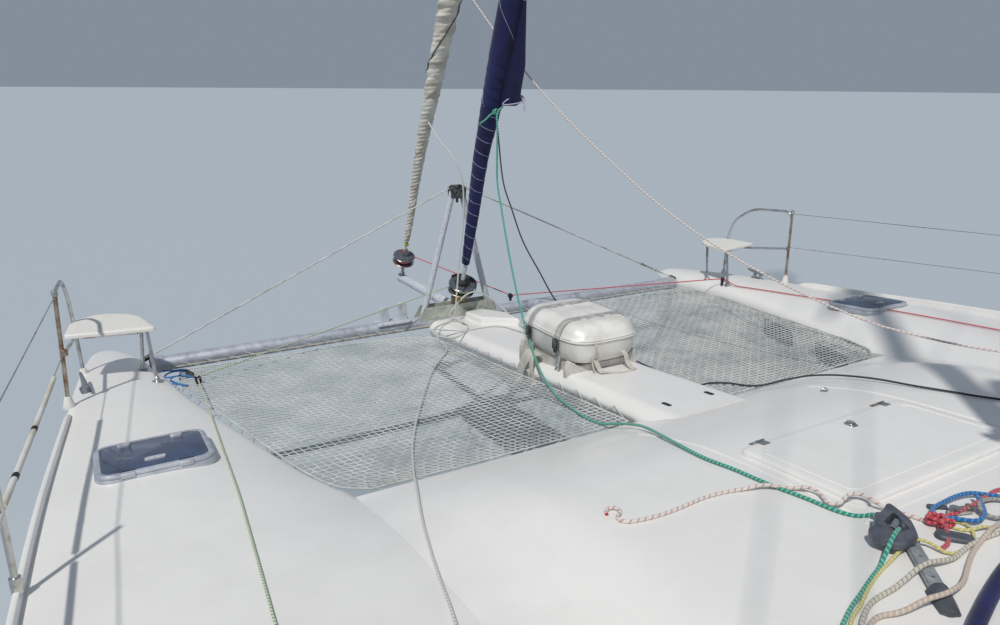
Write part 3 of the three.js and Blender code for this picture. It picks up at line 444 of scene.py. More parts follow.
smooth(hull_port)
hull_starboard = mirrored(hull_port, "hull_skin_starboard")
for made, node in ((hull_port, "hull_port"), (hull_starboard, "hull_starboard")):
    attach(made, "boat")
    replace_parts(made, node)


# Bridgedeck and foredeck: one GRP moulding between the hulls. Its sloping front is moulded with a raised border
# round the anchor locker, whose lid lies 22 mm proud and opens forward on two stainless hinges.
INNER = 2.05  # the hulls' inner faces
SOLE = 1.1
GAP = 0.0003
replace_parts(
    body_piece(
        "nacelle_skin",
        *prism(
            [(2.9, SOLE), (2.885, 1.03), (2.855, 0.965), (2.79, 0.9), (2.7, 0.845), (2.56, 0.798), (2.4, 0.766),
             (2.25, 0.752), (2.0, 0.75), (-5.62, 0.81), (-5.65, 0.84), (-5.65, SOLE)],
            -INNER + GAP, INNER - GAP,
        ),
        gelcoat, slot="gelcoat",
    ),
    "nacelle",
)

# x and height of the foredeck on the centreline
FORE_TOP = np.array([(-200, 1970), (600, 1955), (1700, 1895), (2150, 1850), (2500, 1765), (2780, 1662), (2900, 1608),
                     (3030, 1550)]) / 1000
CROWN_HALF = 1.45  # the raised middle, each side


def fore_top(x, y):
    """Height of the foredeck: its profile on the centreline, eased over into the hull's edge on each side."""
    x, y = np.broadcast_arrays(np.asarray(x, float), np.abs(y))
    middle = monotone(x.ravel(), FORE_TOP[:, 0], FORE_TOP[:, 1:]).reshape(x.shape)
    t = smoothstep(y, CROWN_HALF, INNER)
    return middle * (1 - t) + hull_deck(x, np.full(x.shape, INNER)) * t


def slab(xs, ys, top, bottom):
    """A closed body over a rectangle between two heights, both functions of x and y."""
    x, y = np.meshgrid(xs, ys, indexing="ij")
    rings = np.concatenate([np.dstack([x, y, top(x, y)]), np.dstack([x, y, bottom(x, y)])[:, ::-1]], 1)
    return loft(rings)


def bead(line, radius, finish, name, body="boat", height=fore_top):
    """A half-round bead laid along a line of x, y on a surface: a round bar sunk into it by half its radius."""
    line = np.asarray(line, float)
    path = np.c_[line, height(line[:, 0], line[:, 1]) - 0.4 * radius]
    return body_piece(name, *tube(path, radius, 8), finish, body)


def tube(path, radius, sides=10):
    """A round bar along a path: circles square to it, turned from the direction in which it runs least. The
    radius is a number or one for each point."""
    path = np.asarray(path, float)
    along = np.gradient(path, axis=0)
    along /= np.linalg.norm(along, axis=1, keepdims=True)
    across = np.cross(along, np.linalg.eigh(along.T @ along)[1][:, 0])
    across /= np.linalg.norm(across, axis=1, keepdims=True)
    a = 2 * np.pi * np.arange(sides) / sides
    out = np.cos(a)[:, None] * across[:, None] + np.sin(a)[:, None] * np.cross(along, across)[:, None]
    return loft(path[:, None] + np.broadcast_to(radius, len(path))[:, None, None] * out)


def plate(outline, height, thick, edge=0.006, low=0.0, n=6):
    """A plate on a surface: its outline in x, y drawn in to its middle, over a rim that is a quarter circle."""
    outline = np.asarray(outline, float)
    middle = (outline.max(0) + outline.min(0)) / 2
    reach = (outline.max(0) - outline.min(0)).min() / 2
    a = np.linspace(0, np.pi / 2, 4)
    share = np.r_[np.linspace(0.03, 1, n), 1 - edge * (1 - np.cos(a)) / reach,
                  np.linspace(1 - edge / reach, 0.03, n)[1:]]
    rise = np.r_[np.full(n, low), thick - edge * (1 - np.sin(a)), np.full(n - 1, thick)]
    flat = middle + share[:, None, None] * (outline - middle)
    return loft(np.dstack([flat, height(flat[..., 0], flat[..., 1]) + rise[:, None]]))


LOCKER = {"x": (1.45, 2.01), "y": 0.56, "floor": 1.25, "rim": 0.03, "lid": 0.022}
# Half the coachroof's outline: y at the foot, x at the foot and at the roof
PLAN = np.array([(0, 740, -60), (850, 690, -110), (1500, 480, -330), (1950, 60, -760), (2200, -700, -1400),
                 (2270, -2500, -2500)]) / 1000
ROOF = {"foot": 1.7, "shoulder": 2.86, "inset": 0.86, "wall": 0.06}


def plan_ring(z, offset, scale=1.0):
    """The coachroof's outline at a height: half of it at its foot blended into half of it at its roof, taken
    round as a smooth line, moved outwards by the offset and scaled about the roof's middle."""
    t = np.clip((z - ROOF["foot"]) / (ROOF["shoulder"] - ROOF["foot"]), 0, 1)
    x = PLAN[:, 1] + t * (PLAN[:, 2] - PLAN[:, 1])
    y = PLAN[:, 0] * (1 - t * (1 - ROOF["inset"]))
    line = through(np.r_[np.c_[x, -y][::-1], np.c_[x, y][1:]], 6)
    run = np.gradient(line, axis=0)
    run /= np.linalg.norm(run, axis=1, keepdims=True)
    moved = line + offset * np.c_[run[:, 1], -run[:, 0]]
    moved[[0, -1]] = line[[0, -1]] + offset * np.c_[[0, 0], np.sign(line[[0, -1], 1])]
    return np.c_[-1.25 + (moved[:, 0] + 1.25) * scale, moved[:, 1] * scale, np.full(len(moved), z)]


def roof_body(offset, drop, foot):
    """A body of the coachroof's shape: raked walls, a shoulder that is a quarter ellipse, and a low crown."""
    walls = [plan_ring(z, offset) for z in np.linspace(foot, ROOF["shoulder"] - drop, 7)]
    s = np.r_[0.003, 0.01, 0.02, 0.034, 0.05, np.linspace(0.1, 0.97, 9)]
    over = 0.095 * np.sqrt(1 - (1 - np.minimum(s, 0.05) / 0.05) ** 2)
    over += monotone(s, np.array([0.05, 0.28, 0.6, 0.98]), np.array([[0], [0.055], [0.08], [0.085]]))[:, 0]
    top = [plan_ring(ROOF["shoulder"] + o - drop, offset, 1 - k) for o, k in zip(over, s)]
    for ring, o in zip(top, over):
        ring[:, 2] = ROOF["shoulder"] + o - drop
    return loft(walls + top)


def fore_low(x, y):
    """Underside of the foredeck's body: the sole, but for the lip at its front edge."""
    return SOLE + GAP + 0.14 * smoothstep(x, 2.9, FORE_EDGE) + 0 * y


fore_x = np.r_[np.linspace(-0.2, 2.9, 48), np.linspace(2.93, FORE_EDGE, 5)]
foredeck = mesh_object("foredeck_skin", *slab(fore_x, np.linspace(-INNER + GAP, INNER - GAP, 61), fore_top, fore_low),
                       gelcoat)
cut(
    foredeck,
    block(LOCKER["x"], (-LOCKER["y"], LOCKER["y"]), (LOCKER["floor"], 2.2)),
    roof_body(-ROOF["wall"], ROOF["wall"], SOLE - 0.05),
)
smooth(foredeck)
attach(foredeck, "boat")
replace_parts(foredeck, "foredeck")

# The locker's lid, moulded GRP with a rounded rim, on two stainless hinges at its forward edge.
lid_middle = np.array([(LOCKER["x"][0] + LOCKER["x"][1]) / 2, 0])
lid_long = LOCKER["x"][1] - LOCKER["x"][0] + 2 * LOCKER["rim"]
lid_wide = 2 * (LOCKER["y"] + LOCKER["rim"])
lid = body_piece(
    "locker_lid_skin",
    *plate(lid_middle + rounded_oblong(lid_long, lid_wide, 0.05), fore_top, LOCKER["lid"], edge=0.012, low=GAP, n=12),
    gelcoat, "locker_lid", "gelcoat",
)
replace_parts(lid, "locker_lid")
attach(bead(lid_middle + rounded_oblong(0.46, 1.06, 0.04), 0.004, gelcoat, "locker_lid_bead", "locker_lid",
             lambda x, y: fore_top(x, y) + LOCKER["lid"]), "locker_lid")

# The border round it: a raised line that widens out over the sloping front, and a finer one inside it.
border = through([(2.62, 0.66), (2.36, 0.655), (2.1, 0.65), (1.4, 0.65), (1.36, 0.62), (1.35, 0), (1.36, -0.62),
                  (1.4, -0.65), (2.1, -0.65), (2.36, -0.655), (2.62, -0.66)], 8)
bead(border, 0.007, gelcoat, "foredeck_border")


def mottled(name, base, roughness, patches, low, high, bump=None, grain=None, gloss=None, **values):
    """A material whose colour runs between two marks, each a position and a colour, on a noise of a scale, a detail
    and a roughness. A bump is a strength and a height in metres, raised by the same noise or by the grain, which is
    a texture with its sockets and settings. A gloss is a range of the noise and the roughness at its two ends."""
    made, tree, shader = painted(name, base, roughness, **values)
    place = add(tree, "TexCoord").outputs["Object"]
    noise = add(tree, "TexNoise", {"Vector": place, **dict(zip(("Scale", "Detail", "Roughness"), patches))})
    tone = add(tree, "ValToRGB", {"Fac": noise.outputs["Fac"]})
    for mark, (position, colour) in zip(tone.color_ramp.elements, (low, high)):
        mark.position, mark.color = position, linear(colour)
    tree.links.new(tone.outputs["Color"], shader.inputs["Base Color"])
    if bump:
        raised = noise
        if grain:
            kind, sockets, settings = grain
            raised = add(tree, kind, {"Vector": place, **sockets}, **settings)
        relief = add(tree, "Bump", {"Height": raised.outputs["Fac"], "Strength": bump[0], "Distance": bump[1]})
        tree.links.new(relief.outputs["Normal"], shader.inputs["Normal"])
    if gloss:
        sockets = dict(zip(("From Min", "From Max", "To Min", "To Max"), gloss))
        rough = add(tree, "MapRange", {"Value": noise.outputs["Fac"], **sockets})
        tree.links.new(rough.outputs["Result"], shader.inputs["Roughness"])
    return made


def weathered(name, dark, light, roughness, size, low=0.35, high=0.65, relief=0.0, **values):
    """A mottled material between two colours, whose noise has a size in metres and also raises its surface by a
    relief in metres."""
    return mottled(name, light, roughness, (1 / size, 6.0, 0.62), (low, dark), (high, light),
                   (0.5, relief) if relief else None, **values)


steel = mottled("polished_stainless_steel", "C9C8C4", 0.22, (9.0, 5.0, 0.6), (0.34, "A98F74"), (0.46, "CBCBC8"),
                gloss=(0.3, 0.6, 0.42, 0.2), Metallic=1.0)
# Electropolished 316 steel: bright and even, with a faint tea stain in blotches and finer polishing marks.


def merged(parts):
    """Several closed bodies as one list of points and faces."""
    points, faces, start = [], [], 0
    for p, f in parts:
        p = np.asarray(p).reshape(-1, 3)
        points.append(p)
        faces += [[int(i) + start for i in face] for face in outward(p, f)]
        start += len(p)
    return np.vstack(points), faces


def turned(profile, place, axis=2, sides=24):
    """A round body: a profile of radius and height pairs, carried round an axis through a place."""
    profile = np.asarray(profile, float)
    a = 2 * np.pi * np.arange(sides) / sides
    r = profile[:, 0, None]
    rings = np.stack([r * np.cos(a), r * np.sin(a), np.repeat(profile[:, 1, None], sides, 1)], -1)
    return loft(np.roll(rings, axis + 1, axis=-1) + np.asarray(place))


def pieces(name, parts, finish, body="boat", sharp=32):
    """One piece of several closed bodies that touch or stand together."""
    made = smooth(mesh_object(name, *merged(parts), finish), sharp)
    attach(made, body)
    return made


for side in (-1, 1):
    x, y = 2.04, 0.445 * side
    z = fore_top(x, y).item() + LOCKER["lid"]
    knuckle = turned([(0.004, -0.03), (0.006, -0.029), (0.006, 0.029), (0.004, 0.03)], (x + 0.004, y, z + 0.001), 1)
    pieces(
        f"locker_hinge_{'port' if side > 0 else 'starboard'}",
        [
            plate([x - 0.024, y] + rounded_oblong(0.04, 0.05, 0.008), lambda u, v: fore_top(u, v) + LOCKER["lid"],
                  0.003, 0.001),
            plate([x + 0.028, y] + rounded_oblong(0.036, 0.05, 0.008), fore_top, 0.003, 0.001),
            knuckle,
        ],
        steel,
    )


# Crossbeam: an anodised aluminium tube between the bows, pinned at each end in a dark collar. A bracket plate on
# it carries the forestay, and a striker of two legs stands over it, stayed down to both bows.
BEAM = {"x": 6.0, "z": 1.345, "radius": 0.06, "reach": 2.68}
anodised = mottled("silver_anodised_aluminium", "B4BAC3", 0.42, (14.0, 6.0, 0.65), (0.3, "ABB0BA"),
                   (0.62, "C8CCD5"), gloss=(0.3, 0.7, 0.36, 0.56), Metallic=0.45)
# Extruded and anodised: a satin bluish grey drawn out along the bar, with dull specks where salt has dried.

black = mottled("black_moulded_nylon", "1B1C1E", 0.5, (22.0, 4.0), (0.4, "17181A"), (0.75, "3A3C40"), (0.2, 0.0005),
                ("TexNoise", {"Scale": 900.0}, {}))
# Glass-filled nylon from a mould: near black, faded to grey by the sun in blotches, with a fine grain.


def bar(points, radius, sides=12, bend=0.08, steps=6):
    """A round bar along straight runs, whose corners are quadratic curves that start a bend before the corner."""
    p = np.asarray(points, float)
    path = [p[:1]]
    t = np.linspace(0, 1, steps)[:, None]
    for a, b, c in zip(p[:-2], p[1:-1], p[2:]):
        u = b + (a - b) * min(0.5, bend / np.linalg.norm(a - b))
        v = b + (c - b) * min(0.5, bend / np.linalg.norm(c - b))
        path.append(u * (1 - t) ** 2 + 2 * b * t * (1 - t) + v * t * t)
    path = np.vstack([*path, p[-1:]])
    return tube(path, radius, sides)


def box_body(x, y, z, edge=0.004):
    """A box between pairs of limits whose upright edges and rims are rounded."""
    outline = [(x[0] + x[1]) / 2, (y[0] + y[1]) / 2] + rounded_oblong(x[1] - x[0], y[1] - y[0], edge, 3)
    a = np.linspace(0, np.pi / 2, 3)
    inset = np.r_[edge * (1 - np.sin(a)), edge * (1 - np.cos(a))]
    level = np.r_[z[0] + edge * (1 - np.cos(a)), z[1] - edge + edge * np.sin(a)]
    middle = outline.mean(0)
    half = np.array([x[1] - x[0], y[1] - y[0]]) / 2
    rings = [at_height(middle + (outline - middle) * (1 - i / half), v)
             for i, v in zip(inset, level)]
    return loft(rings)


span = np.linspace(-BEAM["reach"], BEAM["reach"], 60)
beam_path = np.c_[np.full(60, BEAM["x"]), span, np.full(60, BEAM["z"])]
ridge = np.c_[np.full(60, BEAM["x"] - 0.02), span, np.full(60, BEAM["z"] + 0.055)]
collars = [turned([(0.055, -0.05), (0.069, -0.048), (0.069, 0.048), (0.055, 0.05)],
                  (6.0, s * (BEAM["reach"] - 0.05), 1.345), 1) for s in (-1, 1)]
crossbeam = pieces("crossbeam_tube", [tube(beam_path, BEAM["radius"], 40), tube(ridge, 0.006, 8)], anodised)
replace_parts(crossbeam, "crossbeam")
pieces("crossbeam_collars", collars, anodised)

beige = mottled("sun_bleached_webbing", "B7A992", 0.9, (12.0, 4.0), (0.0, "A7A299"), (1.0, "CAC6BC"), (0.4, 0.001),
                ("TexWave", {"Scale": 160.0, "Distortion": 1.0}, {"bands_direction": "Y"}))
# A polyester strip laid in the beam's groove: bleached beige, woven crosswise.
groove = np.c_[np.full(60, BEAM["x"] - 0.052), span * 0.97, np.full(60, BEAM["z"] - 0.026)]
pieces("crossbeam_groove_strip", [tube(groove, 0.011, 8)], beige)

plate_grey = mottled("cast_aluminium_plate", "8E948E", 0.6, (18.0, 6.0, 0.6), (0.32, "A0A49B"), (0.65, "C4C6BB"),
                     (0.3, 0.002), Metallic=0.25)
# Cast and painted plate, gone grey green and chalky outdoors.


def profile_plate(outline, low, high, edge=0.003):
    """A plate whose outline is given in y and z, between two x, with a small flat bevel round both faces."""
    p = np.asarray(outline, float)
    middle = (p.max(0) + p.min(0)) / 2
    half = (p.max(0) - p.min(0)) / 2
    small = middle + (p - middle) * (1 - edge / half)
    rings = [np.c_[np.full(len(q), x), q] for x, q in ((low, small), (low + edge, p), (high - edge, p), (high, small))]
    return loft(rings)


cheek = [(-0.375, 1.36), (0.44, 1.34), (0.43, 1.37), (0.375, 1.47), (0.36, 1.49), (-0.345, 1.49), (-0.365, 1.47),
         (-0.375, 1.42)]
bolts = [turned([(0.0105, -0.01), (0.0105, 0.001), (0.008, 0.004)], (5.953, y, 1.395), 0, 6)
         for y in (-0.27, -0.09, 0.27)]
pieces(
    "forestay_bracket",
    [profile_plate(cheek, 5.945, 5.957), profile_plate(cheek, 6.071, 6.083),
     box_body((5.955, 6.073), (-0.37, 0.37), (1.38, 1.402))],
    plate_grey,
)
pieces("forestay_bracket_bolts", bolts, steel)

STRIKER = {"foot": 0.343, "apex": 2.575, "radius": 0.029}
white_tube = mottled("white_powder_coated_tube", "C9CCD2", 0.45, (26.0, 6.0, 0.7), (0.33, "9DA2AA"), (0.48, "C6CAD1"))
# Powder-coated aluminium: cool white, chalky, scuffed to grey here and there.
pieces(
    "bow_roller_cheeks",
    [
        profile_plate(
            [(y - 0.042, 1.37), (y + 0.042, 1.37), (y + 0.036, top), (y + 0.026, top + 0.012),
             (y - 0.024, top + 0.012), (y - 0.036, top)], 5.985, 6.02
        ) for y, top in ((0.565, 1.55), (0.74, 1.53))
    ] + [box_body((5.93, 6.07), (0.5, 0.82), (1.382, 1.404))], white_tube
)
legs = []
for s in (-1, 1):
    foot, head = np.array([6.035, s * STRIKER["foot"], 1.41]), np.array([6.0, s * 0.045, STRIKER["apex"] - 0.045])
    legs.append(tube(np.linspace(foot, head, 12), STRIKER["radius"], 20))
pieces("striker_legs", legs, white_tube)
dark_metal = mottled("dark_weathered_casting", "4A4D4C", 0.55, (40.0, 5.0), (0.38, "3A3C3C"), (0.62, "787B78"),
                     Metallic=0.6)
# Cast aluminium that has lost its paint: dark grey with paler, rougher corrosion.
apex_outline = [(-0.075, 2.485), (-0.04, 2.47), (0.04, 2.47), (0.075, 2.485), (0.078, 2.565), (0.05, 2.587),
                (-0.05, 2.587), (-0.078, 2.565)]
pieces(
    "striker_head",
    [profile_plate(apex_outline, 5.965, 5.977), profile_plate(apex_outline, 6.023, 6.035),
     tube([(5.955, 0.045, 2.53), (6.045, 0.045, 2.53)], 0.009, 12),
     tube([(5.955, -0.045, 2.53), (6.045, -0.045, 2.53)], 0.009, 12),
     tube([(6.0, 0, 2.5), (6.0, 0, 2.43)], 0.012, 12)], dark_metal
)


# Striker stays: covered cables from the striker's head to a tang on each bow.
stay_rope = mottled("white_aramid_stay_cover", "C9C8C2", 0.75, (9.0, 5.0), (0.35, "A8A69E"), (0.6, "D2D1CC"),
                    Sheen_Weight=0.2)
# Aramid stays in a braided polyester cover: greyish white, finely ribbed, soiled in patches.
for s, word in SIDES:
    rod = tube([(6.0, s * 0.077, 2.563), (6.02, s * 2.757, 1.375)], 0.0065, 8)
    made = body_piece(f"striker_stay_rod_{word}", *rod, stay_rope)
    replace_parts(made, f"striker_stay_{word}")

# Longeron: the GRP girder from the foredeck to the crossbeam, moulded with soft edges and a small plinth in front.
LONGERON = {"aft": 2.785, "front": 5.935, "top_aft": 1.677, "top_front": 1.362, "half": 0.308}


def longeron_top(x):
    """Height of the girder's top: a straight line falling to the crossbeam."""
    t = (np.asarray(x, float) - 2.78) / (5.936 - 2.78)
    return LONGERON["top_aft"] + t * (LONGERON["top_front"] - LONGERON["top_aft"])


def rounded(points, radius, n=5):
    """A polygon whose corners are quadratic curves that start a radius before each corner."""
    p = np.asarray(points, float)
    before, after = np.roll(p, 1, 0), np.roll(p, -1, 0)
    r = np.broadcast_to(radius, len(p))[:, None]
    u = p + (before - p) * np.minimum(0.5, r / np.linalg.norm(before - p, axis=1, keepdims=True))
    v = p + (after - p) * np.minimum(0.5, r / np.linalg.norm(after - p, axis=1, keepdims=True))
    t = np.linspace(0, 1, n)[None, :, None]
    return (u[:, None] * (1 - t) ** 2 + 2 * p[:, None] * t * (1 - t) + v[:, None] * t * t).reshape(-1, p.shape[1])


h = LONGERON["half"]
girder = rounded([(-0.92 * h, 0.0), (0.92 * h, 0.0), (1.11 * h, -0.07), (1.04 * h, -0.115), (0.82 * h, -0.29),
                  (-0.82 * h, -0.29), (-1.04 * h, -0.115), (-1.11 * h, -0.07)],
                 [0.05, 0.05, 0.03, 0.02, 0.05, 0.05, 0.02, 0.03], 6)
longeron = mesh_object("longeron_skin", *loft([
    np.c_[np.full(len(girder), x), girder[:, 0], girder[:, 1] + longeron_top(x)]
    for x in np.linspace(LONGERON["front"], 2.75, 24)]), gelcoat)
cut(longeron, slab(np.linspace(2.6, FORE_EDGE + GAP, 20), np.linspace(-1, 1, 9), lambda x, y: fore_top(x, y) + GAP,
                   lambda x, y: 1.0 + 0 * x), block((2.6, 2.9 + GAP), (-1, 1), (0.6, 1.2)))
smooth(longeron)
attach(longeron, "boat")
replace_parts(longeron, "longeron")

plinth = [(5.93, -0.2), (5.9, -0.02), (5.55, 0.0), (5.28, -0.24), (5.6, -0.3)]
body_piece("longeron_plinth", *plate(plinth, lambda x, y: longeron_top(x) + 0 * y, 0.06, edge=0.022, low=-0.01),
           gelcoat)
# Black oblongs on the girder's top stand for its drain slots: their black is the painted shade inside the slots.
for k, (x, y) in enumerate([(5.63, 0.12), (5.63, -0.12), (2.95, 0.17), (2.95, -0.17)]):
    slot_line = [x, y] + rounded_oblong(0.075, 0.03, 0.014, 4)
    body_piece(f"longeron_drain_painted_shade_{k}", *plate(slot_line, lambda u, v: longeron_top(u) + 0 * v, 0.003, 0.001), black)

# Bowsprit: a white-anodised tube from the crossbeam, with a cast end cap and a bobstay to each bow.
sprit = body_piece(
    "bowsprit_tube",
    *turned([(0.046, 0), (0.048, 0.004), (0.048, 1.322), (0.05, 1.324), (0.05, 1.338), (0.044, 1.345)],
            (6.065, 0, 1.42), 0, 36), white_tube, slot="anodised"
)
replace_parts(sprit, "bowsprit")

# Each stay ends in shackles at the beam's end, and the starboard one has a rigging screw above them.
for s, word in SIDES:
    high, low = np.array([6.0, s * 0.077, 2.563]), np.array([6.02, s * 2.757, 1.375])
    at = lambda t: high + t * (low - high)
    if s < 0:
        screw = [bar([at(0.81), at(0.875)], 0.0095, 12), bar([at(0.8), at(0.815)], 0.013, 12),
                 bar([at(0.87), at(0.885)], 0.013, 12)]
        pieces("striker_stay_screw", screw, steel)
    knuckle = [bar([at(0.965), at(0.99)], 0.02, 12),
               bar([at(0.985) - [0.03, 0, 0], at(0.985) + [0.03, 0, 0]], 0.012, 12),
               bar([at(0.99), at(1.005) - [0, 0, 0.03]], 0.014, 12),
               bar([at(0.972) - [0.028, 0, 0], at(0.972) + [0.028, 0, 0]], 0.009, 12)]
    pieces(f"striker_stay_shackles_{word}", knuckle, dark_metal)


# Trampolines: square nets of white polyester braid, woven over and under, on an edge rope that is laced with a
# finer line to the crossbeam, the hull, the foredeck and the longeron. Port edges, from the front inboard corner.
netting = mottled("white_polyester_netting", "B9BDBB", 0.85, (3.0, 6.0, 0.65), (0.35, "A3A8A6"), (0.6, "CFD2CE"),
                  (0.5, 0.001), ("TexNoise", {"Scale": 500.0, "Detail": 2.0}, {}), Sheen_Weight=0.15)
# Braided polyester, greyed by weather in blotches, its braid drawn as a fine bump.

NET_FRONT = [(5.43, 0.548), (5.5, 0.69), (5.56, 0.87), (5.61, 1.3), (5.625, 1.75), (5.65, 2.15), (5.67, 2.5)]
NET_OUT = [(5.67, 2.5), (5.4, 2.535), (5.136, 2.52), (4.718, 2.438), (4.41, 2.372), (4.08, 2.31), (3.816, 2.257),
           (3.464, 2.185), (3.2, 2.09), (3.075, 1.95)]
NET_AFT = [(3.07, 0.352), (3.068, 0.9), (3.066, 1.4), (3.075, 1.95)]
NET_IN = [(5.43, 0.548), (5.07, 0.507), (4.41, 0.458), (3.86, 0.405), (3.4, 0.372), (3.07, 0.352)]
STRANDS = (43, 59)  # fore and aft, across
STRAND = 0.0034  # radius


def net_height(x):
    """Height of the nets: a plane from the foredeck's edge down to the crossbeam."""
    return 1.548 - (np.asarray(x, float) - 3.065) / 2.81 * 0.173 - 0.004


def along_line(points, t):
    """Points at shares t of the length of a smooth line through points."""
    line = through(points, 12)
    far = np.r_[0, np.cumsum(np.linalg.norm(np.diff(line, axis=0), axis=1))]
    return np.stack([np.interp(t * far[-1], far, line[:, k]) for k in range(line.shape[1])], -1)


def coons(u, v):
    """A patch between four lines: the blend across plus the blend along, less that of the four corners."""
    front, aft = along_line(NET_FRONT, u), along_line(NET_AFT, u)
    inboard, outboard = along_line(NET_IN, v), along_line(NET_OUT, v)
    u, v = u[:, None, None], v[None, :, None]
    corners = ((1 - u) * (1 - v) * front[0] + u * (1 - v) * front[-1] + (1 - u) * v * aft[0] + u * v * aft[-1])
    return (1 - v) * front[:, None] + v * aft[:, None] + (1 - u) * inboard[None] + u * outboard[None] - corners


def strands(side):
    """All strands of a net: square bars along the rows and the columns of the patch, up at every other crossing
    and down between. The net hangs down a little, as the product of two parabolas, and is slack at its edges."""
    u, v = np.linspace(0, 1, STRANDS[0]), np.linspace(0, 1, STRANDS[1])
    grid = coons(u, v)
    bow = 16 * (u * (1 - u))[:, None] * (v * (1 - v))[None]
    flutter = 0.006 * np.sin(9 * u[:, None] + 23 * v[None] + side) * np.sin(31 * v[None] - 5 * u[:, None])
    z = net_height(grid[..., 0]) - 0.026 * bow + flutter * smoothstep(np.abs(u - 0.5), 0.2, 0.5)[:, None]
    woven = np.indices(z.shape).sum(0) % 2 * 2 - 1
    points, faces, start = [], [], 0
    for turn, lift in ((False, 1), (True, -1)):
        path = np.dstack([grid[..., 0], side * grid[..., 1], z + lift * woven * 0.7 * STRAND])
        path = path.transpose(1, 0, 2) if turn else path
        rows, n = path.shape[:2]
        across = np.array([1, 0, 0]) if turn else np.array([0, 1, 0])
        ring = np.stack([c * across + s * np.array([0, 0, 1]) for c, s in ((1, 0), (0, 1), (-1, 0), (0, -1))])
        points.append((path[:, :, None] + STRAND * ring).reshape(-1, 3))
        one = np.vstack([quads(n, 4, True), [[3, 2, 1, 0]], [[4 * n - 4, 4 * n - 3, 4 * n - 2, 4 * n - 1]]])
        six = np.cross(ring[0], ring[1]) @ (path[0, 1] - path[0, 0])
        one = one if six > 0 else one[:, ::-1]
        faces.append((one[None] + (np.arange(rows) * 4 * n)[:, None, None] + start).reshape(-1, 4))
        start += rows * 4 * n
    return np.vstack(points), np.vstack(faces)


def laced(inner, outer, count, side):
    """A zigzag between two lines of x, y, z: out to one, back round the other, with count turns."""
    t = np.linspace(0.01, 0.99, 2 * count + 1)
    a, b = along_line(inner, t), along_line(outer, t)
    path = np.where((np.arange(len(t)) % 2 == 0)[:, None], a, b)
    return path * [1, side, 1]


def edge_3d(points):
    """The points of a net's edge at the net's height."""
    return [(x, y, net_height(x).item()) for x, y in points]


for side, word in SIDES:
    net = mesh_object(f"trampoline_net_{word}", *strands(side), netting)
    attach(net, "boat")
    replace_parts(net, f"trampoline_{word}")
    rim = np.vstack([through(edge_3d(p), 6) for p in (NET_FRONT, NET_OUT, NET_AFT[::-1], NET_IN[::-1])])
    keep = np.r_[True, np.linalg.norm(np.diff(rim, axis=0), axis=1) > 1e-4]
    rim = rim[keep][:-1] * [1, side, 1]
    ring = np.vstack([rim, rim[:1]])
    pieces(f"trampoline_edge_rope_{word}", [tube(ring, 0.0055, 8)], netting)
    hull_line = [(x, station(x, 1).item() - 0.002,
                  hull_deck(x, 2.05).item() - 0.035) for x in (5.5, 5.1, 4.7, 4.3, 3.9, 3.5, 3.3)]
    lines = [
        laced(edge_3d(NET_FRONT), [(5.943, y, 1.352) for y in (0.6, 1.3, 1.9, 2.55)], 12, side),
        laced(edge_3d(NET_OUT[1:-1]), hull_line, 13, side),
        laced(edge_3d(NET_AFT), [(3.034, y, fore_top(3.03, y).item() - 0.03) for y in (0.4, 0.9, 1.4, 1.93)], 7, side),
        laced(edge_3d(NET_IN), [(x, 0.338, longeron_top(x).item() - 0.05) for x in (5.5, 4.8, 4.0, 3.1)], 12, side),
    ]
    pieces(f"trampoline_lacing_{word}", [tube(line, 0.0026, 6) for line in lines], netting)


# Life raft canister: a white GRP clamshell on a moulded cradle, held by two double webbing straps with hooks.
RAFT = {"x": 4.085, "long": 0.78, "wide": 0.6, "base": 1.64, "high": 0.28, "power": 4}
raft_white = mottled("canister_gelcoat", "E4E3DE", 0.38, (6.0, 6.0, 0.6), (0.35, "D3D0C9"), (0.6, "E7E6E1"),
                     (0.15, 0.002), ("TexNoise", {"Scale": 180.0, "Detail": 2.0}, {}), Coat_Weight=0.2,
                     Coat_Roughness=0.2)
# Sprayed GRP, not polished: white, dusty in its hollows, with the mould's orange peel.

# Side profile of a shell: share of the height, share of the length and width
SHELL = np.array(
    [(0, 0.8), (0.02, 0.86), (0.06, 0.905), (0.14, 0.945), (0.3, 0.975), (0.54, 0.985), (0.555, 1.0),
     (0.585, 1.006), (0.6, 0.995), (0.605, 0.985), (0.61, 0.995), (0.635, 1.0), (0.65, 0.985), (0.72, 0.965),
     (0.82, 0.92), (0.89, 0.865), (0.94, 0.80), (0.975, 0.72), (0.985, 0.62), (0.985, 0.6), (1.0, 0.575),
     (1.0, 0.3), (1.0, 0.02)]
)


def super_ring(a, b, power, count):
    """A rectangle with full corners: |x/a|^p + |y/b|^p = 1."""
    t = 2 * np.pi * np.arange(count) / count
    c, s = np.cos(t), np.sin(t)
    return np.c_[a * np.sign(c) * np.abs(c) ** (2 / power), b * np.sign(s) * np.abs(s) ** (2 / power)]


def canister(h, s):
    """The canister's ring at a share of its height: a full rectangle whose top has shallow ribs along it."""
    flat = super_ring(s * RAFT["long"] / 2, s * RAFT["wide"] / 2, RAFT["power"], 96)
    rib = 0.006 * smoothstep(np.abs(np.sin(flat[:, 1] * np.pi / 0.105)), 0.55, 0.8) * (h > 0.99) * (s > 0.25)
    side_rib = 0.006 * smoothstep(np.abs(np.sin(flat[:, 0] * np.pi / 0.13)), 0.75, 0.95) * (0.62 < h < 0.93)
    out = flat / np.linalg.norm(flat, axis=1, keepdims=True) * side_rib[:, None]
    z = RAFT["base"] + GAP + h * RAFT["high"] - rib
    return np.c_[RAFT["x"] + flat[:, 0] - out[:, 0], flat[:, 1] - out[:, 1], z]


shell = body_piece("raft_canister_shell", *loft([canister(h, s) for h, s in SHELL]), raft_white, slot="gelcoat",
                   sharp=40)
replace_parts(shell, "raft_canister")

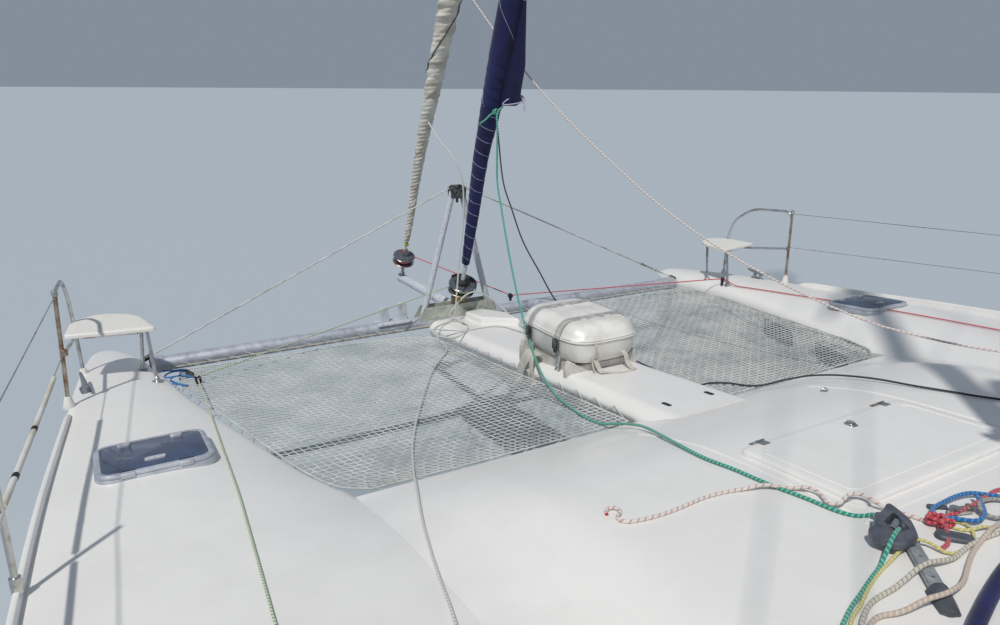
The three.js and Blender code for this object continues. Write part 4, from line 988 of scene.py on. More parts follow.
webbing = mottled("grey_polyester_webbing", "8B8F96", 0.85, (30.0, 5.0), (0.0, "8C8E90"), (1.0, "C6C6C3"),
                  (0.5, 0.001), ("TexWave", {"Scale": 120.0, "Distortion": 0.6}, {"bands_direction": "Y"}),
                  Sheen_Weight=0.2)
# Woven flat strap: grey with a paler middle, its weave drawn as fine crosswise ribs.


def strap(path, wide, thick, across):
    """A flat strap along a path: a thin rounded oblong square to it, its width along a fixed direction."""
    path = np.asarray(path, float)
    along = np.gradient(path, axis=0)
    along /= np.linalg.norm(along, axis=1, keepdims=True)
    across = np.asarray(across, float) - along * (along @ np.asarray(across, float))[:, None]
    across /= np.linalg.norm(across, axis=1, keepdims=True)
    up = np.cross(along, across)
    ring = [(-1, -0.6), (-0.9, -1), (0.9, -1), (1, -0.6), (1, 0.6), (0.9, 1), (-0.9, 1), (-1, 0.6)]
    ring = np.array(ring) * [wide / 2, thick / 2]
    return loft(path[:, None] + ring[None, :, :1] * across[:, None] + ring[None, :, 1:] * up[:, None])


def over_canister(x, proud):
    """A line over the canister across the boat at x, proud of it."""
    u = (x - RAFT["x"]) / (RAFT["long"] / 2)
    h, s = SHELL[3:19].T
    fit = np.abs(u) < s
    h, s = h[fit], s[fit]
    y = s * RAFT["wide"] / 2 * (1 - np.abs(u / s) ** RAFT["power"]) ** (1 / RAFT["power"]) + proud
    z = RAFT["base"] + h * RAFT["high"] + proud * smoothstep(h, 0.5, 1)
    side = np.c_[y, z]
    line = np.vstack([side, (side * [-1, 1])[::-1]])
    line = np.vstack([[0.3, 1.6], line, [-0.3, 1.6]])
    return np.c_[np.full(len(line), x), line]


for k, x in enumerate((RAFT["x"] + 0.17, RAFT["x"] - 0.17)):
    parts = [strap(over_canister(x + dx, 0.003), 0.025, 0.003, (1, 0, 0)) for dx in (-0.018, 0.018)]
    pieces(f"raft_strap_{k}", parts, webbing)
    buckle = [
        tube(bar_path, 0.004, 8)
        for bar_path in (
            [(x - 0.035, 0.309, 1.79), (x + 0.035, 0.309, 1.79)],
            [(x - 0.035, 0.309, 1.725), (x + 0.035, 0.309, 1.725)],
            [(x - 0.034, 0.309, 1.79), (x - 0.034, 0.309, 1.725)],
            [(x + 0.034, 0.309, 1.79), (x + 0.034, 0.309, 1.725)],
        )
    ]
    pieces(f"raft_strap_hook_{k}", buckle + [box_body((x - 0.012, x + 0.012), (0.302, 0.318), (1.70, 1.80))],
           dark_metal)

cradle_grey = mottled("moulded_grey_grp", "BFC1C2", 0.55, (9.0, 6.0, 0.65), (0.35, "B1ADA6"), (0.6, "D3D0CA"))
# Hand-laid GRP painted grey white, duller and darker than the gelcoat.
parts = []
for dx in (-0.285, 0.285):
    x = RAFT["x"] + dx
    top = longeron_top(x).item()
    outline = rounded(
        [(-0.305, top - 0.03), (0.305, top - 0.03), (0.305, 1.61), (0.285, 1.668), (0.27, 1.668), (0.2, 1.625),
         (-0.2, 1.625), (-0.27, 1.668), (-0.285, 1.668), (-0.305, 1.61)], 0.012, 3
    )
    parts.append(profile_plate(outline, x - 0.02, x + 0.02, 0.004))
for y in (-0.24, 0.24):
    parts.append(slab([RAFT["x"] - 0.3, RAFT["x"] + 0.3], [y - 0.012, y + 0.012], lambda u, v: 1.645 + 0 * u,
                      lambda u, v: longeron_top(u) - 0.02))
pieces("raft_cradle", parts, cradle_grey)

# Loose webbing: a lifting strap lies on the deck abaft the canister, and two tails hang over the girder's port side.
cream = mottled("cream_polyester_webbing", "CFC8BC", 0.85, (24.0, 5.0), (0.0, "AAA69E"), (1.0, "DAD5CB"),
                (0.5, 0.001), ("TexWave", {"Scale": 120.0, "Distortion": 0.6}, {"bands_direction": "Y"}),
                Sheen_Weight=0.2)
# The same flat strap in cream, greyed where it lies on the deck.
straps = [
    strap(through(points, 6), 0.036, 0.003, across)
    for points, across in (
        ([(3.72, 0.135, 1.71), (3.7, 0.115, 1.66), (3.686, 0.1, 1.618), (3.66, 0.088, 1.599)], (0, 1, 0)),
        (
            [(3.672, 0.105, 1.6), (3.655, 0.06, 1.597), (3.622, 0.01, 1.595), (3.602, -0.05, 1.595),
             (3.605, -0.1, 1.597), (3.62, -0.145, 1.6)], (1, 0, 0)
        ),
        ([(3.6, -0.135, 1.602), (3.645, -0.137, 1.606), (3.677, -0.13, 1.64), (3.69, -0.12, 1.69),
          (3.72, -0.11, 1.71)], (0, 1, 0))
    )
]
for low, high in (((4.33, 0.345, 1.36), (4.235, 0.335, 1.6)), ((4.27, 0.35, 1.4), (4.19, 0.335, 1.6)),
                  ((4.1, 0.345, 1.42), (4.15, 0.335, 1.6))):
    low, high = np.array(low), np.array(high)
    hang = through(
        [high + [0, -0.06, 0.012], high + [0, -0.015, 0.014], high + [0, 0.012, -0.012],
         0.5 * (low + high) + [0.012, 0.016, 0], low + [0, 0.01, 0], low + [-0.015, 0.03, -0.012]], 6
    )
    straps.append(strap(hang, 0.048, 0.003, (1, 0, 0.2)))
pieces("raft_webbing_tails", straps, cream)
pieces(
    "raft_lanyard",
    [
        tube(through([(3.675, 0.145, 1.812), (3.668, 0.142, 1.77), (3.69, 0.138, 1.72), (3.72, 0.135, 1.66),
                      (3.7, 0.13, 1.6)], 6), 0.005, 8),
        turned([(0.002, -0.014), (0.011, -0.008), (0.011, 0.008), (0.002, 0.014)], (3.672, 0.144, 1.79), 2, 14)
    ], cream
)


# Furled headsails: each is wound round its stay above a drum. The genoa shows the navy strip that guards it
# from the sun, with stitched seams and its clew lashed on the outside; the gennaker is soft, creased white cloth.
TACKS = {
    "genoa": {"x": 6.0, "y": -0.02, "z": 1.605, "top": (1.04, 14.3), "sag": 0.0},
    "gennaker": {"x": 7.31, "y": 0.012, "z": 1.625, "top": (1.04, 14.8), "sag": 0.17},
}


def stay_line(tack, t):
    """Points on a stay at shares t of its length, and its fall line: straight, with a parabola of sag aft. The
    lowest part bends aft to the axis of the drum, which leans about its pin."""
    foot, head = np.array([tack["x"], tack["y"], tack["z"] + 0.19]), np.array([tack["top"][0], 0, tack["top"][1]])
    along = head - foot
    down = np.array([-along[2], 0, along[0]]) / np.linalg.norm(along)
    t = np.asarray(t)[:, None]
    bend = 0.24 * np.sin(np.arctan2(tack["x"] - tack["top"][0], tack["top"][1] - tack["z"]))
    line = foot + t * along + 4 * tack["sag"] * t * (1 - t) * down - [bend, 0, 0] * (1 - smoothstep(t, 0, 0.09))
    return line, down, np.linalg.norm(along)


def wound(tack, heights, turns, radius):
    """A wound sail: rings round its stay whose radius is a function of the height along it and of the angle, which
    is measured from straight aft and grows to port. The rings' middle follows the stay."""
    place, down, _ = stay_line(tack, heights)
    a = 2 * np.pi * np.arange(turns) / turns
    r = radius(heights[:, None], a[None])
    across = np.cos(a)[None, :, None] * down + np.sin(a)[None, :, None] * np.array([0, 1, 0])
    return loft(place[:, None] + r[..., None] * across)


rng = np.random.default_rng(7)
CREASES = [(n, k, p, w) for n, k, p, w in zip(rng.integers(1, 5, 14), rng.uniform(120, 520, 14),
                                               rng.uniform(0, 6.28, 14), rng.uniform(0.3, 1, 14))]
GENNAKER_ROLL = np.array([(0, 0.02), (0.008, 0.03), (0.03, 0.034), (0.08, 0.054), (0.18, 0.094), (0.5, 0.125),
                          (0.9, 0.07), (0.985, 0.03), (1, 0.02)])
GENOA_ROLL = np.array(
    [(0.007, 0.02), (0.0075, 0.036), (0.024, 0.045), (0.052, 0.056), (0.08, 0.064), (0.1, 0.072), (0.112, 0.08),
     (0.1235, 0.086), (0.183, 0.09), (0.5, 0.095), (0.9, 0.06), (0.99, 0.03), (1, 0.022)]
)


def gennaker_radius(t, a):
    """Its roll's radius with creases that wind round it, each a sine of the angle and the height, folded sharp."""
    r = monotone(t.ravel(), GENNAKER_ROLL[:, 0], GENNAKER_ROLL[:, 1:])[:, 0][:, None]
    folds = sum(w * (1 - 2 * np.abs(np.sin(n * a / 2 + k * t + p))) for n, k, p, w in CREASES)
    edge = smoothstep(((a / (2 * np.pi) + 24 * t) % 1), 0.0, 0.12)
    twist = 1 - 2 * np.abs(np.sin(2.5 * a + 340 * np.pi * t)) ** 0.7
    tight = 1 - smoothstep(t, 0.03, 0.16)
    return (r * (1 + 0.03 * folds * 0.35) + 0.0028 * folds * 0.5 * (1 - 0.7 * tight) + 0.007 * edge - 0.004
            + (0.0014 + 0.0016 * tight) * twist)


def genoa_radius(t, a):
    """Its roll's radius, with a step where each turn of the strip ends, and a fuller roll above the clew."""
    r = monotone(t.ravel(), GENOA_ROLL[:, 0], GENOA_ROLL[:, 1:])[:, 0][:, None]
    edge = ((a / (2 * np.pi) + 130 * t * (1 - 0.85 * smoothstep(t, 0.07, 0.16))) % 1)
    return r * (1 + 0.05 * (edge - 0.5)) + 0.002 * np.sin(3 * a + 90 * t)


WEAVE = 0.004  # the real yarns are 0.5 mm apart, too fine to show
navy = mottled("navy_acrylic_canvas", "131A3C", 0.85, (4.0, 8.0, 0.7), (0.35, "0A1038"), (0.68, "141D5C"),
               (0.25, 0.001), ("TexChecker", {"Scale": 1 / WEAVE}, {}), Sheen_Weight=0.12, Sheen_Roughness=0.5)
# Woven acrylic, dyed through: deep navy, a little faded on the creases, with a fine weave under the light.

sailcloth = mottled("white_sailcloth", "D6D2C6", 0.7, (7.0, 6.0), (0.35, "BDB7A8"), (0.62, "DDD9CE"), (0.6, 0.004),
                    ("TexNoise", {"Scale": 60.0, "Detail": 8.0, "Roughness": 0.7}, {}), Sheen_Weight=0.1,
                    Subsurface_Weight=0.05)
# Light nylon: off-white, with greyer folds and a crisp, fine crinkle.

made = body_piece("gennaker_roll",
                  *wound(TACKS["gennaker"], np.r_[np.linspace(0.004, 0.24, 1000), np.linspace(0.241, 1, 420)], 52,
                         gennaker_radius), sailcloth, slot="sailcloth", sharp=60)
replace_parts(made, "gennaker")
made = body_piece("genoa_roll",
                  *wound(TACKS["genoa"], np.r_[0.007, np.linspace(0.0075, 0.2, 300), np.linspace(0.202, 1, 300)],
                         40, genoa_radius), navy, slot="navy_cloth", sharp=60)
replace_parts(made, "genoa")


def helix(tack, radius, low, high, pitch, proud=0.002, phase=0.0, hand=1):
    """A line wound on a sail between two shares of its height, a turn for each pitch in metres."""
    _, _, long = stay_line(tack, np.array([0.0]))
    turns = (high - low) * long / pitch
    t = np.linspace(low, high, int(24 * abs(turns)) + 2)
    a = hand * 2 * np.pi * turns * (t - low) / (high - low) + phase
    place, down, _ = stay_line(tack, t)
    r = np.array([radius(np.array([[u]]), np.array([[v % (2 * np.pi)]]))[0, 0] for u, v in zip(t, a)]) + proud
    return place + r[:, None] * (np.cos(a)[:, None] * down + np.sin(a)[:, None] * np.array([0, 1, 0]))


thread = weathered("white_seam_thread", "8E95B0", "B9BED2", 0.8, 0.02)
leech_tape = weathered("grey_leech_tape", "3C3D3D", "5A5B5A", 0.8, 0.05)
pieces("genoa_seams", [tube(helix(TACKS["genoa"], genoa_radius, 0.012, 0.115, 0.115, 0.001), 0.0016, 5),
                       tube(helix(TACKS["genoa"], genoa_radius, 0.12, 0.36, 0.75, 0.001, 1.2), 0.0018, 5)], thread)
pieces("gennaker_leech", [tube(helix(TACKS["gennaker"], gennaker_radius, 0.135, 0.3, 1.35, 0.003, 2.2, -1), 0.006, 6)],
       leech_tape)

# The genoa's clew: the strip's corner stands off the roll as a flap, tied in with a white lashing.
flap_z = np.r_[np.linspace(4.05, 3.31, 24), 3.296, 3.29]
flap_wide = np.interp(-flap_z, [-4.05, -3.72, -3.59, -3.42, -3.31, -3.29], [0.08, 0.145, 0.172, 0.178, 0.188, 0.16])
foot, head = (stay_line(TACKS["genoa"], np.array([v]))[0][0] for v in (0.0, 1.0))
flap_axis = foot + ((flap_z - foot[2]) / (head[2] - foot[2]))[:, None] * (head - foot)
u = np.linspace(0, 1, 12)[None, :, None]
out, off = np.array([-0.5, -0.866, 0]), np.array([0.866, -0.5, 0])
front = flap_axis[:, None] + out * (0.03 + u * (flap_wide[:, None, None] - 0.03)) + off * (
    0.022 * np.sin(np.pi * u) + 0.008 * np.sin(3 * np.pi * u) * np.linspace(0.2, 1, 26)[:, None, None]
)
pieces("genoa_clew_flap", [loft(np.concatenate([front - 0.002 * off, (front + 0.002 * off)[:, ::-1]], 1))], navy,
       sharp=60)
lashing = through(
    [(5.326, -0.054, 3.396), (5.227, -0.205, 3.367), (5.22, -0.197, 3.32), (5.288, -0.061, 3.3),
     (5.274, -0.117, 3.351), (5.24, -0.18, 3.37), (5.205, -0.205, 3.31), (5.2, -0.21, 3.25)], 6
)
clew_ring = turned([(0.014, -0.004), (0.022, -0.004), (0.022, 0.004), (0.014, 0.004), (0.014, -0.004)],
                   (5.236, -0.196, 3.345), 0, 20)
pieces("genoa_clew_lashing", [tube(lashing, 0.005, 8)], thread)
pieces("genoa_clew_ring", [clew_ring], steel)


# Furling drums: two dark moulded discs with the furling line wound between them, on a swivel that is pinned to
# its tang. The gennaker's sits on the bowsprit, the genoa's on the bracket with a cast guard half round it.
drum_grey = mottled("grey_anodised_disc", "565A62", 0.45, (45.0, 6.0, 0.7), (0.42, "454952"), (0.66, "7C8088"),
                    Metallic=0.4)
# Hard-anodised aluminium: dark grey with pale scuffs.


def rope_finish(name, base, fleck="", share=0.0, roughness=0.8, period=0.02, broken=False):
    """A braided rope's material: a base colour, a fleck colour on that share of the cover's strands, which run
    round it both ways, and a bump of crossing strands. It reads the rope's UV map, whose u goes once round and
    whose v is in metres along it."""
    made, tree, shader = painted(name, base, roughness, Sheen_Weight=0.2)
    uv = add(tree, "SeparateXYZ", {"Vector": add(tree, "TexCoord").outputs["UV"]})
    round_, along = uv.outputs["X"], uv.outputs["Y"]
    pitch = add(tree, "Math", {0: along, 1: 1 / period}, operation="MULTIPLY").outputs["Value"]
    right = add(tree, "Math", {0: pitch, 1: round_}, operation="ADD").outputs["Value"]
    left = add(tree, "Math", {0: pitch, 1: round_}, operation="SUBTRACT").outputs["Value"]
    ribs = []
    for value in (right, left):
        wave = add(tree, "Math", {0: value, 1: 2 * np.pi * 6}, operation="MULTIPLY").outputs["Value"]
        ribs.append(add(tree, "Math", {0: wave}, operation="SINE").outputs["Value"])
    both = add(tree, "Math", {0: ribs[0], 1: ribs[1]}, operation="MULTIPLY").outputs["Value"]
    relief = add(tree, "Bump", {"Height": both, "Strength": 0.5, "Distance": 0.001})
    tree.links.new(relief.outputs["Normal"], shader.inputs["Normal"])
    if share:
        part = add(tree, "Math", {0: right}, operation="FRACT").outputs["Value"]
        on = add(tree, "Math", {0: part, 1: share}, operation="LESS_THAN").outputs["Value"]
        if broken:  # the other way's strands cover the fleck by turns
            other = add(tree, "Math", {0: left, 1: 6.0}, operation="MULTIPLY").outputs["Value"]
            other = add(tree, "Math", {0: other}, operation="FRACT").outputs["Value"]
            other = add(tree, "Math", {0: other, 1: 0.55}, operation="LESS_THAN").outputs["Value"]
            on = add(tree, "Math", {0: on, 1: other}, operation="MULTIPLY").outputs["Value"]
        mix = add(tree, "Mix", {"Factor": on, 6: linear(base), 7: linear(fleck)}, data_type="RGBA")
        tree.links.new(mix.outputs[2], shader.inputs["Base Color"])
    return made


def rope_mesh(name, path, radius, finish, sides=8):
    """A rope as a mesh tube, with the UV map that its braid reads."""
    path = np.asarray(path, float)
    points, faces = tube(path, radius, sides)
    made = mesh_object(name, points, faces, finish)
    rows = len(path)
    far = np.r_[0, np.cumsum(np.linalg.norm(np.diff(path, axis=0), axis=1))]
    i, j = np.meshgrid(np.arange(rows - 1), np.arange(sides), indexing="ij")
    u = np.stack([j, j + 1, j + 1, j], -1) / sides
    v = np.stack([far[i], far[i], far[i + 1], far[i + 1]], -1)
    uv = np.concatenate([np.stack([u, v], -1).reshape(-1, 2), np.zeros((2 * sides, 2))])
    made.data.uv_layers.new(name="braid").data.foreach_set("uv", uv.ravel())
    return smooth(made, 60)


red_line = rope_finish("red_flecked_furling_line", "C03E4C", "DC9AA2", 0.25)
green_line = rope_finish("green_flecked_furling_line", "D5DBC6", "5F8F4E", 0.35)


def leaned(shape, tack, spread=1.0):
    """A body of a drum widened about its axis, then leaned back about its pin until it is square to its stay."""
    points = np.asarray(shape[0], float).reshape(-1, 3) - [tack["x"], 0, tack["z"] - 0.05]
    points = points * [spread, spread, 1]
    lean = np.arctan2(tack["x"] - tack["top"][0], tack["top"][1] - tack["z"])
    c, s = np.cos(lean), np.sin(lean)
    x, y, z = points.T
    return np.c_[x * c - z * s, y, x * s + z * c] + [tack["x"], tack["y"], tack["z"] - 0.05], shape[1]


for word, tack in TACKS.items():
    x, z = tack["x"], tack["z"]
    genoa = word == "genoa"
    foot = 1.49 if genoa else 1.468
    disc = [turned([(0.03, 0.0), (0.09, 0.0), (0.095, 0.003), (0.095, 0.009), (0.09, 0.012), (0.05, 0.014)],
                   (x, 0, z), 2, 48),
            turned([(0.05, 0.07), (0.09, 0.072), (0.095, 0.075), (0.095, 0.081), (0.09, 0.084), (0.03, 0.09)],
                   (x, 0, z), 2, 48)]
    core = turned([(0.05, 0.01), (0.05, 0.072)], (x, 0, z), 2, 32)
    wide = 1.3 if genoa else 1.2
    made = pieces(f"{word}_drum_discs", [leaned(d, tack, wide) for d in disc], drum_grey)
    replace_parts(made, f"{word}_furler")
    pieces(f"{word}_drum_core", [leaned(core, tack, wide)], black)
    rims = [turned([(0.0945, h - 0.002), (0.0965, h), (0.0945, h + 0.002)], (x, 0, z), 2, 48)
            for h in (0.0105, 0.0745)]
    pieces(f"{word}_drum_rims", [leaned(r, tack, wide) for r in rims], steel)
    lift = np.linspace(0, 1, 150)
    a = 2 * np.pi * 7 * lift
    wind = np.c_[x + (0.058 + 0.012 * np.abs(np.sin(3 * lift))) * np.cos(a),
                 (0.058 + 0.012 * np.abs(np.sin(3 * lift))) * np.sin(a), z + 0.02 + 0.044 * lift]
    wind = leaned((wind, None), tack, wide)[0]
    made = rope_mesh(f"{word}_drum_windings", wind, 0.0042, green_line if genoa else red_line, 6)
    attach(made, "boat")
    pin = [tube([(x - 0.04, 0, foot + 0.03), (x + 0.04, 0, foot + 0.03)], 0.008, 10),
           box_body((x - 0.006, x + 0.006), (-0.018, 0.018), (foot - 0.005, z + 0.002))]
    pin = [(np.asarray(p) + [0, tack["y"], 0], f) for p, f in pin]
    pieces(f"{word}_tack_toggle", pin, steel)

x, z = TACKS["genoa"]["x"], TACKS["genoa"]["z"]
gold = weathered("worn_gold_anodising", "7E6C3C", "AE9858", 0.45, 0.03, Metallic=0.7)
pieces("genoa_drum_cage", [box_body((x - 0.045, x + 0.045), (-0.055, 0.055), (1.492, 1.55), 0.008)], gold)
a = np.linspace(-2.3, 0.4, 28)
guard = np.c_[x + 0.104 * np.cos(a), 0.104 * np.sin(a), np.full(28, z + 0.06)]
genoa = TACKS["genoa"]
pieces("genoa_drum_guard", [leaned(strap(guard, 0.085, 0.004, (0, 0, 1)), genoa, 1.3)], drum_grey)
hub = turned([(0.05, 0.086), (0.062, 0.09), (0.056, 0.118), (0.03, 0.13)], (x, 0, z), 2, 32)
pieces("genoa_drum_hub", [leaned(hub, genoa, 1.1)], black)
pieces("genoa_luff_foil", [leaned(tube([(x, 0, z + 0.12), (x, 0, z + 0.3)], 0.019, 16), genoa)], white_tube)
x, z = TACKS["gennaker"]["x"], TACKS["gennaker"]["z"]
fork = [tube([(x - 0.012, s * 0.028, z + 0.085), (x - 0.022, s * 0.024, z + 0.15), (x - 0.03, 0, z + 0.2)], 0.006, 8)
        for s in (-1, 1)]
gennaker = TACKS["gennaker"]
pieces("gennaker_tack_shackle", [leaned(f, gennaker) for f in fork], steel)
yellow = weathered("yellow_lashing", "8F8B3F", "C6C168", 0.8, 0.01)
lashed = [tube([(x - 0.006, -0.02, z + 0.15), (x - 0.004, 0.0, z + 0.215), (x - 0.006, 0.02, z + 0.15)], 0.005, 6),
          turned([(0.016, 0.215), (0.024, 0.22), (0.026, 0.235), (0.022, 0.245)], (x - 0.002, 0, z), 2, 12)]
pieces("gennaker_tack_lashing", [leaned(shape, gennaker) for shape in lashed], yellow)
red_tie = weathered("red_whipping", "8E2024", "BE3438", 0.8, 0.01)
pieces(
    "gennaker_tack_tie",
    [
        tube(
            [(x - 0.02, 0.012, z + 0.1), (x - 0.035, -0.005, z + 0.125), (x - 0.012, -0.018, z + 0.115),
             (x + 0.008, 0.006, z + 0.11), (x - 0.018, 0.02, z + 0.1)], 0.006, 8
        )
    ], red_tie
)


# Pulpits: welded stainless tube with a hoop outside and a moulded seat on a frame of its own. Their feet stand in
# round flanges, the outer post's in a white cone beside the toe rail.
PULPIT = {"radius": 0.0125, "top": 2.265, "seat": 1.835}
HOOP = [(4.925, 3.222, 1.53), (4.915, 3.195, 2.262), (5.39, 3.165, 2.225), (5.61, 3.148, 2.075), (5.68, 3.138, 1.85),
        (5.672, 3.125, 1.42)]
SEAT = [(5.275, 2.655), (5.362, 3.202), (5.62, 3.165), (5.71, 3.12), (5.785, 3.02), (5.79, 2.93), (5.715, 2.795),
        (5.61, 2.725)]
LEGS = [[(5.55, 2.757, 1.44), (5.56, 2.725, 1.84)], [(5.2, 2.695, 1.48), (5.275, 2.715, 1.84)]]
post = [bar(HOOP[:2], PULPIT["radius"] + 0.0004, 14)]
legs = [bar(HOOP, PULPIT["radius"], 14, 0.1, 8), bar([(4.915, 3.195, 1.885), (5.43, 3.15, 1.805)], 0.011, 12),
        bar([(5.6, 2.79, 1.824), (5.33, 2.76, 1.824), (5.4, 3.12, 1.824)], 0.011, 12, 0.02)]
legs += [bar(points, PULPIT["radius"], 14) for points in LEGS]
for x, y in ((5.2, 2.695), (5.55, 2.757)):
    z = hull_deck(x, y).item()
    legs.append(
        turned([(0.02, -0.02), (0.034, -0.008), (0.034, 0.002), (0.018, 0.006), (0.016, 0.03), (0.0125, 0.034)],
               (x, y, z + 0.006), 2, 20)
    )
post.append(turned([(0.013, -0.02), (0.0185, -0.016), (0.0185, 0.016), (0.013, 0.02)], (4.915, 3.195, 1.886), 2, 16))
legs.append(turned([(0.013, -0.018), (0.019, -0.014), (0.019, 0.014), (0.01, 0.022)], (4.915, 3.195, 2.255), 2, 16))
cone = merged([turned([(0.034, 0.0), (0.036, 0.01), (0.026, 0.05), (0.019, 0.075), (0.013, 0.078)], place, 2, 24)
               for place in ((4.924, 3.22, 1.525), (5.672, 3.125, 1.44))])
tube_steel = weathered("polished_steel_tube", "8F897F", "C9CACB", 0.28, 0.1, 0.34, 0.5, Metallic=0.9)
post_steel = weathered("tea_stained_steel_tube", "8A6342", "BDB4A6", 0.35, 0.07, 0.36, 0.6, Metallic=0.85)
seat_plastic = mottled("white_moulded_polyethylene", "E2E0DA", 0.5, (70.0, 6.0, 0.7), (0.3, "CFCBC2"),
                       (0.5, "E2E0DB"), (0.15, 0.001), Subsurface_Weight=0.08)
# Rotomoulded polyethylene: slightly soft white, matt, dirty in its pores.
seat_line = rounded(SEAT, 0.028, 5)
board = plate(seat_line, lambda x, y: PULPIT["seat"] + 0 * x, 0.028, 0.012, 0.0005, 8)
for name, shape, finish, kind, replaced in (
    ("pulpit_tubes", merged(legs), tube_steel, "stainless", "pulpit"),
    ("pulpit_after_post", merged(post), post_steel, None, None),
    ("pulpit_post_cone", cone, seat_plastic, None, None),
    ("pulpit_seat_board", board, seat_plastic, "gelcoat", "pulpit_seat"),
):
    twinned(body_piece(f"{name}_port", *shape, finish, slot=kind), name, replaced)

# Toe rail: a white moulded upstand along each hull's outer edge. Stanchions of steel tube stand in sockets on it
# and carry two lifelines, the lower one inside a white plastic pipe that has black tape round it.
RAIL = {"from": 4.78, "to": -4.88, "wide": 0.034, "high": 0.034}
rail_x = np.linspace(RAIL["from"], RAIL["to"], 110)


def rail_y(x):
    """The upstand's inner face, 55 mm inside the deck's outer edge."""
    return station(x, 2) - 0.055


section = rounded([(0.0, -0.02), (0.0, 0.0), (0.004, RAIL["high"]), (0.028, RAIL["high"]), (RAIL["wide"], 0.0),
                   (RAIL["wide"], -0.03)], 0.008, 4)
y0 = rail_y(rail_x)[:, None]
lift = station(rail_x, 3)[:, None] - 0.012
sunk = 1 - smoothstep(rail_x, RAIL["to"], RAIL["to"] + 0.12) * (1 - smoothstep(rail_x, 4.66, 4.78))
lift = lift - 0.045 * sunk[:, None]  # both ends dip into the deck
rail = np.dstack([np.repeat(rail_x[:, None], len(section), 1), y0 + section[:, 0], lift + section[:, 1]])
STANCHIONS = [2.72, 1.0, -0.8, -2.6]
posts, sockets = [], []
tops = []
for x in STANCHIONS:
    y = rail_y(x).item() + 0.015
    z = station(x, 3).item()
    posts.append(turned([(0.0125, 0.0), (0.0125, 0.64), (0.011, 0.648), (0.006, 0.652)], (x, y, z + 0.008), 2, 16))
    posts.append(turned([(0.02, 0.0), (0.02, 0.06), (0.0125, 0.064)], (x, y, z + 0.012), 2, 16))
    tops.append((x, y, z + 0.65))
tops = np.array(tops)
quarter = [(x, rail_y(x).item() + 0.015, station(x, 3).item())
           for x in (-3.95, -4.8)]
(qx, qy, qz), (rx, ry, rz) = quarter
posts.append(bar([(qx, qy, qz), (qx, qy, qz + 0.605), (rx, ry, rz + 0.605), (rx, ry, rz)], 0.0125, 14, 0.1, 8))
posts.append(bar([(qx, qy, qz + 0.31), (rx, ry, rz + 0.31)], 0.011, 12))
wires = np.vstack([[4.915, 3.195, 2.24], tops + [0, 0, -0.02], [qx, qy, qz + 0.585]])
low = np.vstack([[4.915, 3.195, 1.9], tops + [0, 0, -0.32], [qx, qy, qz + 0.31]])
pipes, bands = [], []
for a, b in zip(low[:-1], low[1:]):
    first = 0.26 if a[0] > 4 else 0.02  # the foremost pipe has slid aft
    t = np.linspace(first, 0.98, 14)[:, None]
    line = a * (1 - t) + b * t - [0, 0, 0.03] * t * (1 - t)
    pipes.append(tube(line, 0.0125, 14))
    for k in (0.36, 0.62, 0.86)[int(a[0] > 4):]:
        mid = a * (1 - k) + b * k - np.array([0, 0, 0.03]) * k * (1 - k)
        run = (b - a) / np.linalg.norm(b - a) * 0.02
        bands.append(tube([mid - run, mid + run], 0.0137, 14))
wire_parts = [tube([a, b], 0.0032, 8) for a, b in zip(wires[:-1], wires[1:])]
wire_parts += [tube([a, b], 0.0028, 8) for a, b in zip(low[:-1], low[1:])]
pvc = mottled("white_pvc_pipe", "DEDDD6", 0.4, (3.0, 5.0), (0.36, "C4BBA2"), (0.52, "DDDCD7"))
# Extruded PVC gone chalky and yellowed at its ends by the weather.
for name, shape, finish, kind, replaced in (
    ("toe_rail", loft(rail), gelcoat, "gelcoat", "rail"),
    ("stanchions", merged(posts), steel, "stainless", None),
    ("lifeline_wires", merged(wire_parts), steel, "stainless", None),
):
    twinned(body_piece(f"{name}_port", *shape, finish, slot=kind), name, replaced)
body_piece("lifeline_pipes_port", *merged(pipes), pvc)  # only the port side has the pipe and its tape
body_piece("lifeline_tape_port", *merged(bands), black)

# Deck hatches over the forepeaks: an aluminium frame bedded on the deck, and a lid of smoked acrylic in a frame
# of its own, with two dogs and a handle. It is hinged at its after edge.
smoked = mottled("smoked_acrylic_painted_shade", "2E3B52", 0.12, (6.0, 8.0, 0.7), (0.35, "2E3B55"), (0.65, "435270"),
                 gloss=(0.3, 0.7, 0.16, 0.3), IOR=1.49, Coat_Weight=0.5)
# Cast acrylic, tinted blue grey, and darker still by the painted shade of the unlit space behind it, which the opaque
# pane hides: deep, glossy, hazed by fine scratches and dried salt.


def hoop(rings):
    """Points and faces of a body that closes on itself both ways, such as a frame's moulding."""
    rings = np.asarray(rings, float)
    rows, columns = rings.shape[:2]
    faces = quads(rows + 1, columns, True) % (rows * columns)
    return rings.reshape(-1, 3), faces


def framed(long, wide, radius, profile):
    """A frame: an oblong outline drawn in by each inset of the profile, at its height."""
    return hoop([at_height(rounded_oblong(long - 2 * i, wide - 2 * i, max(radius - i, 0.004)), z)
                 for i, z in profile])


def set_on_hatch(shape):
    """A body in the hatch's own frame, set on the port deck."""
    points, faces = shape
    return on_hatch(points), faces


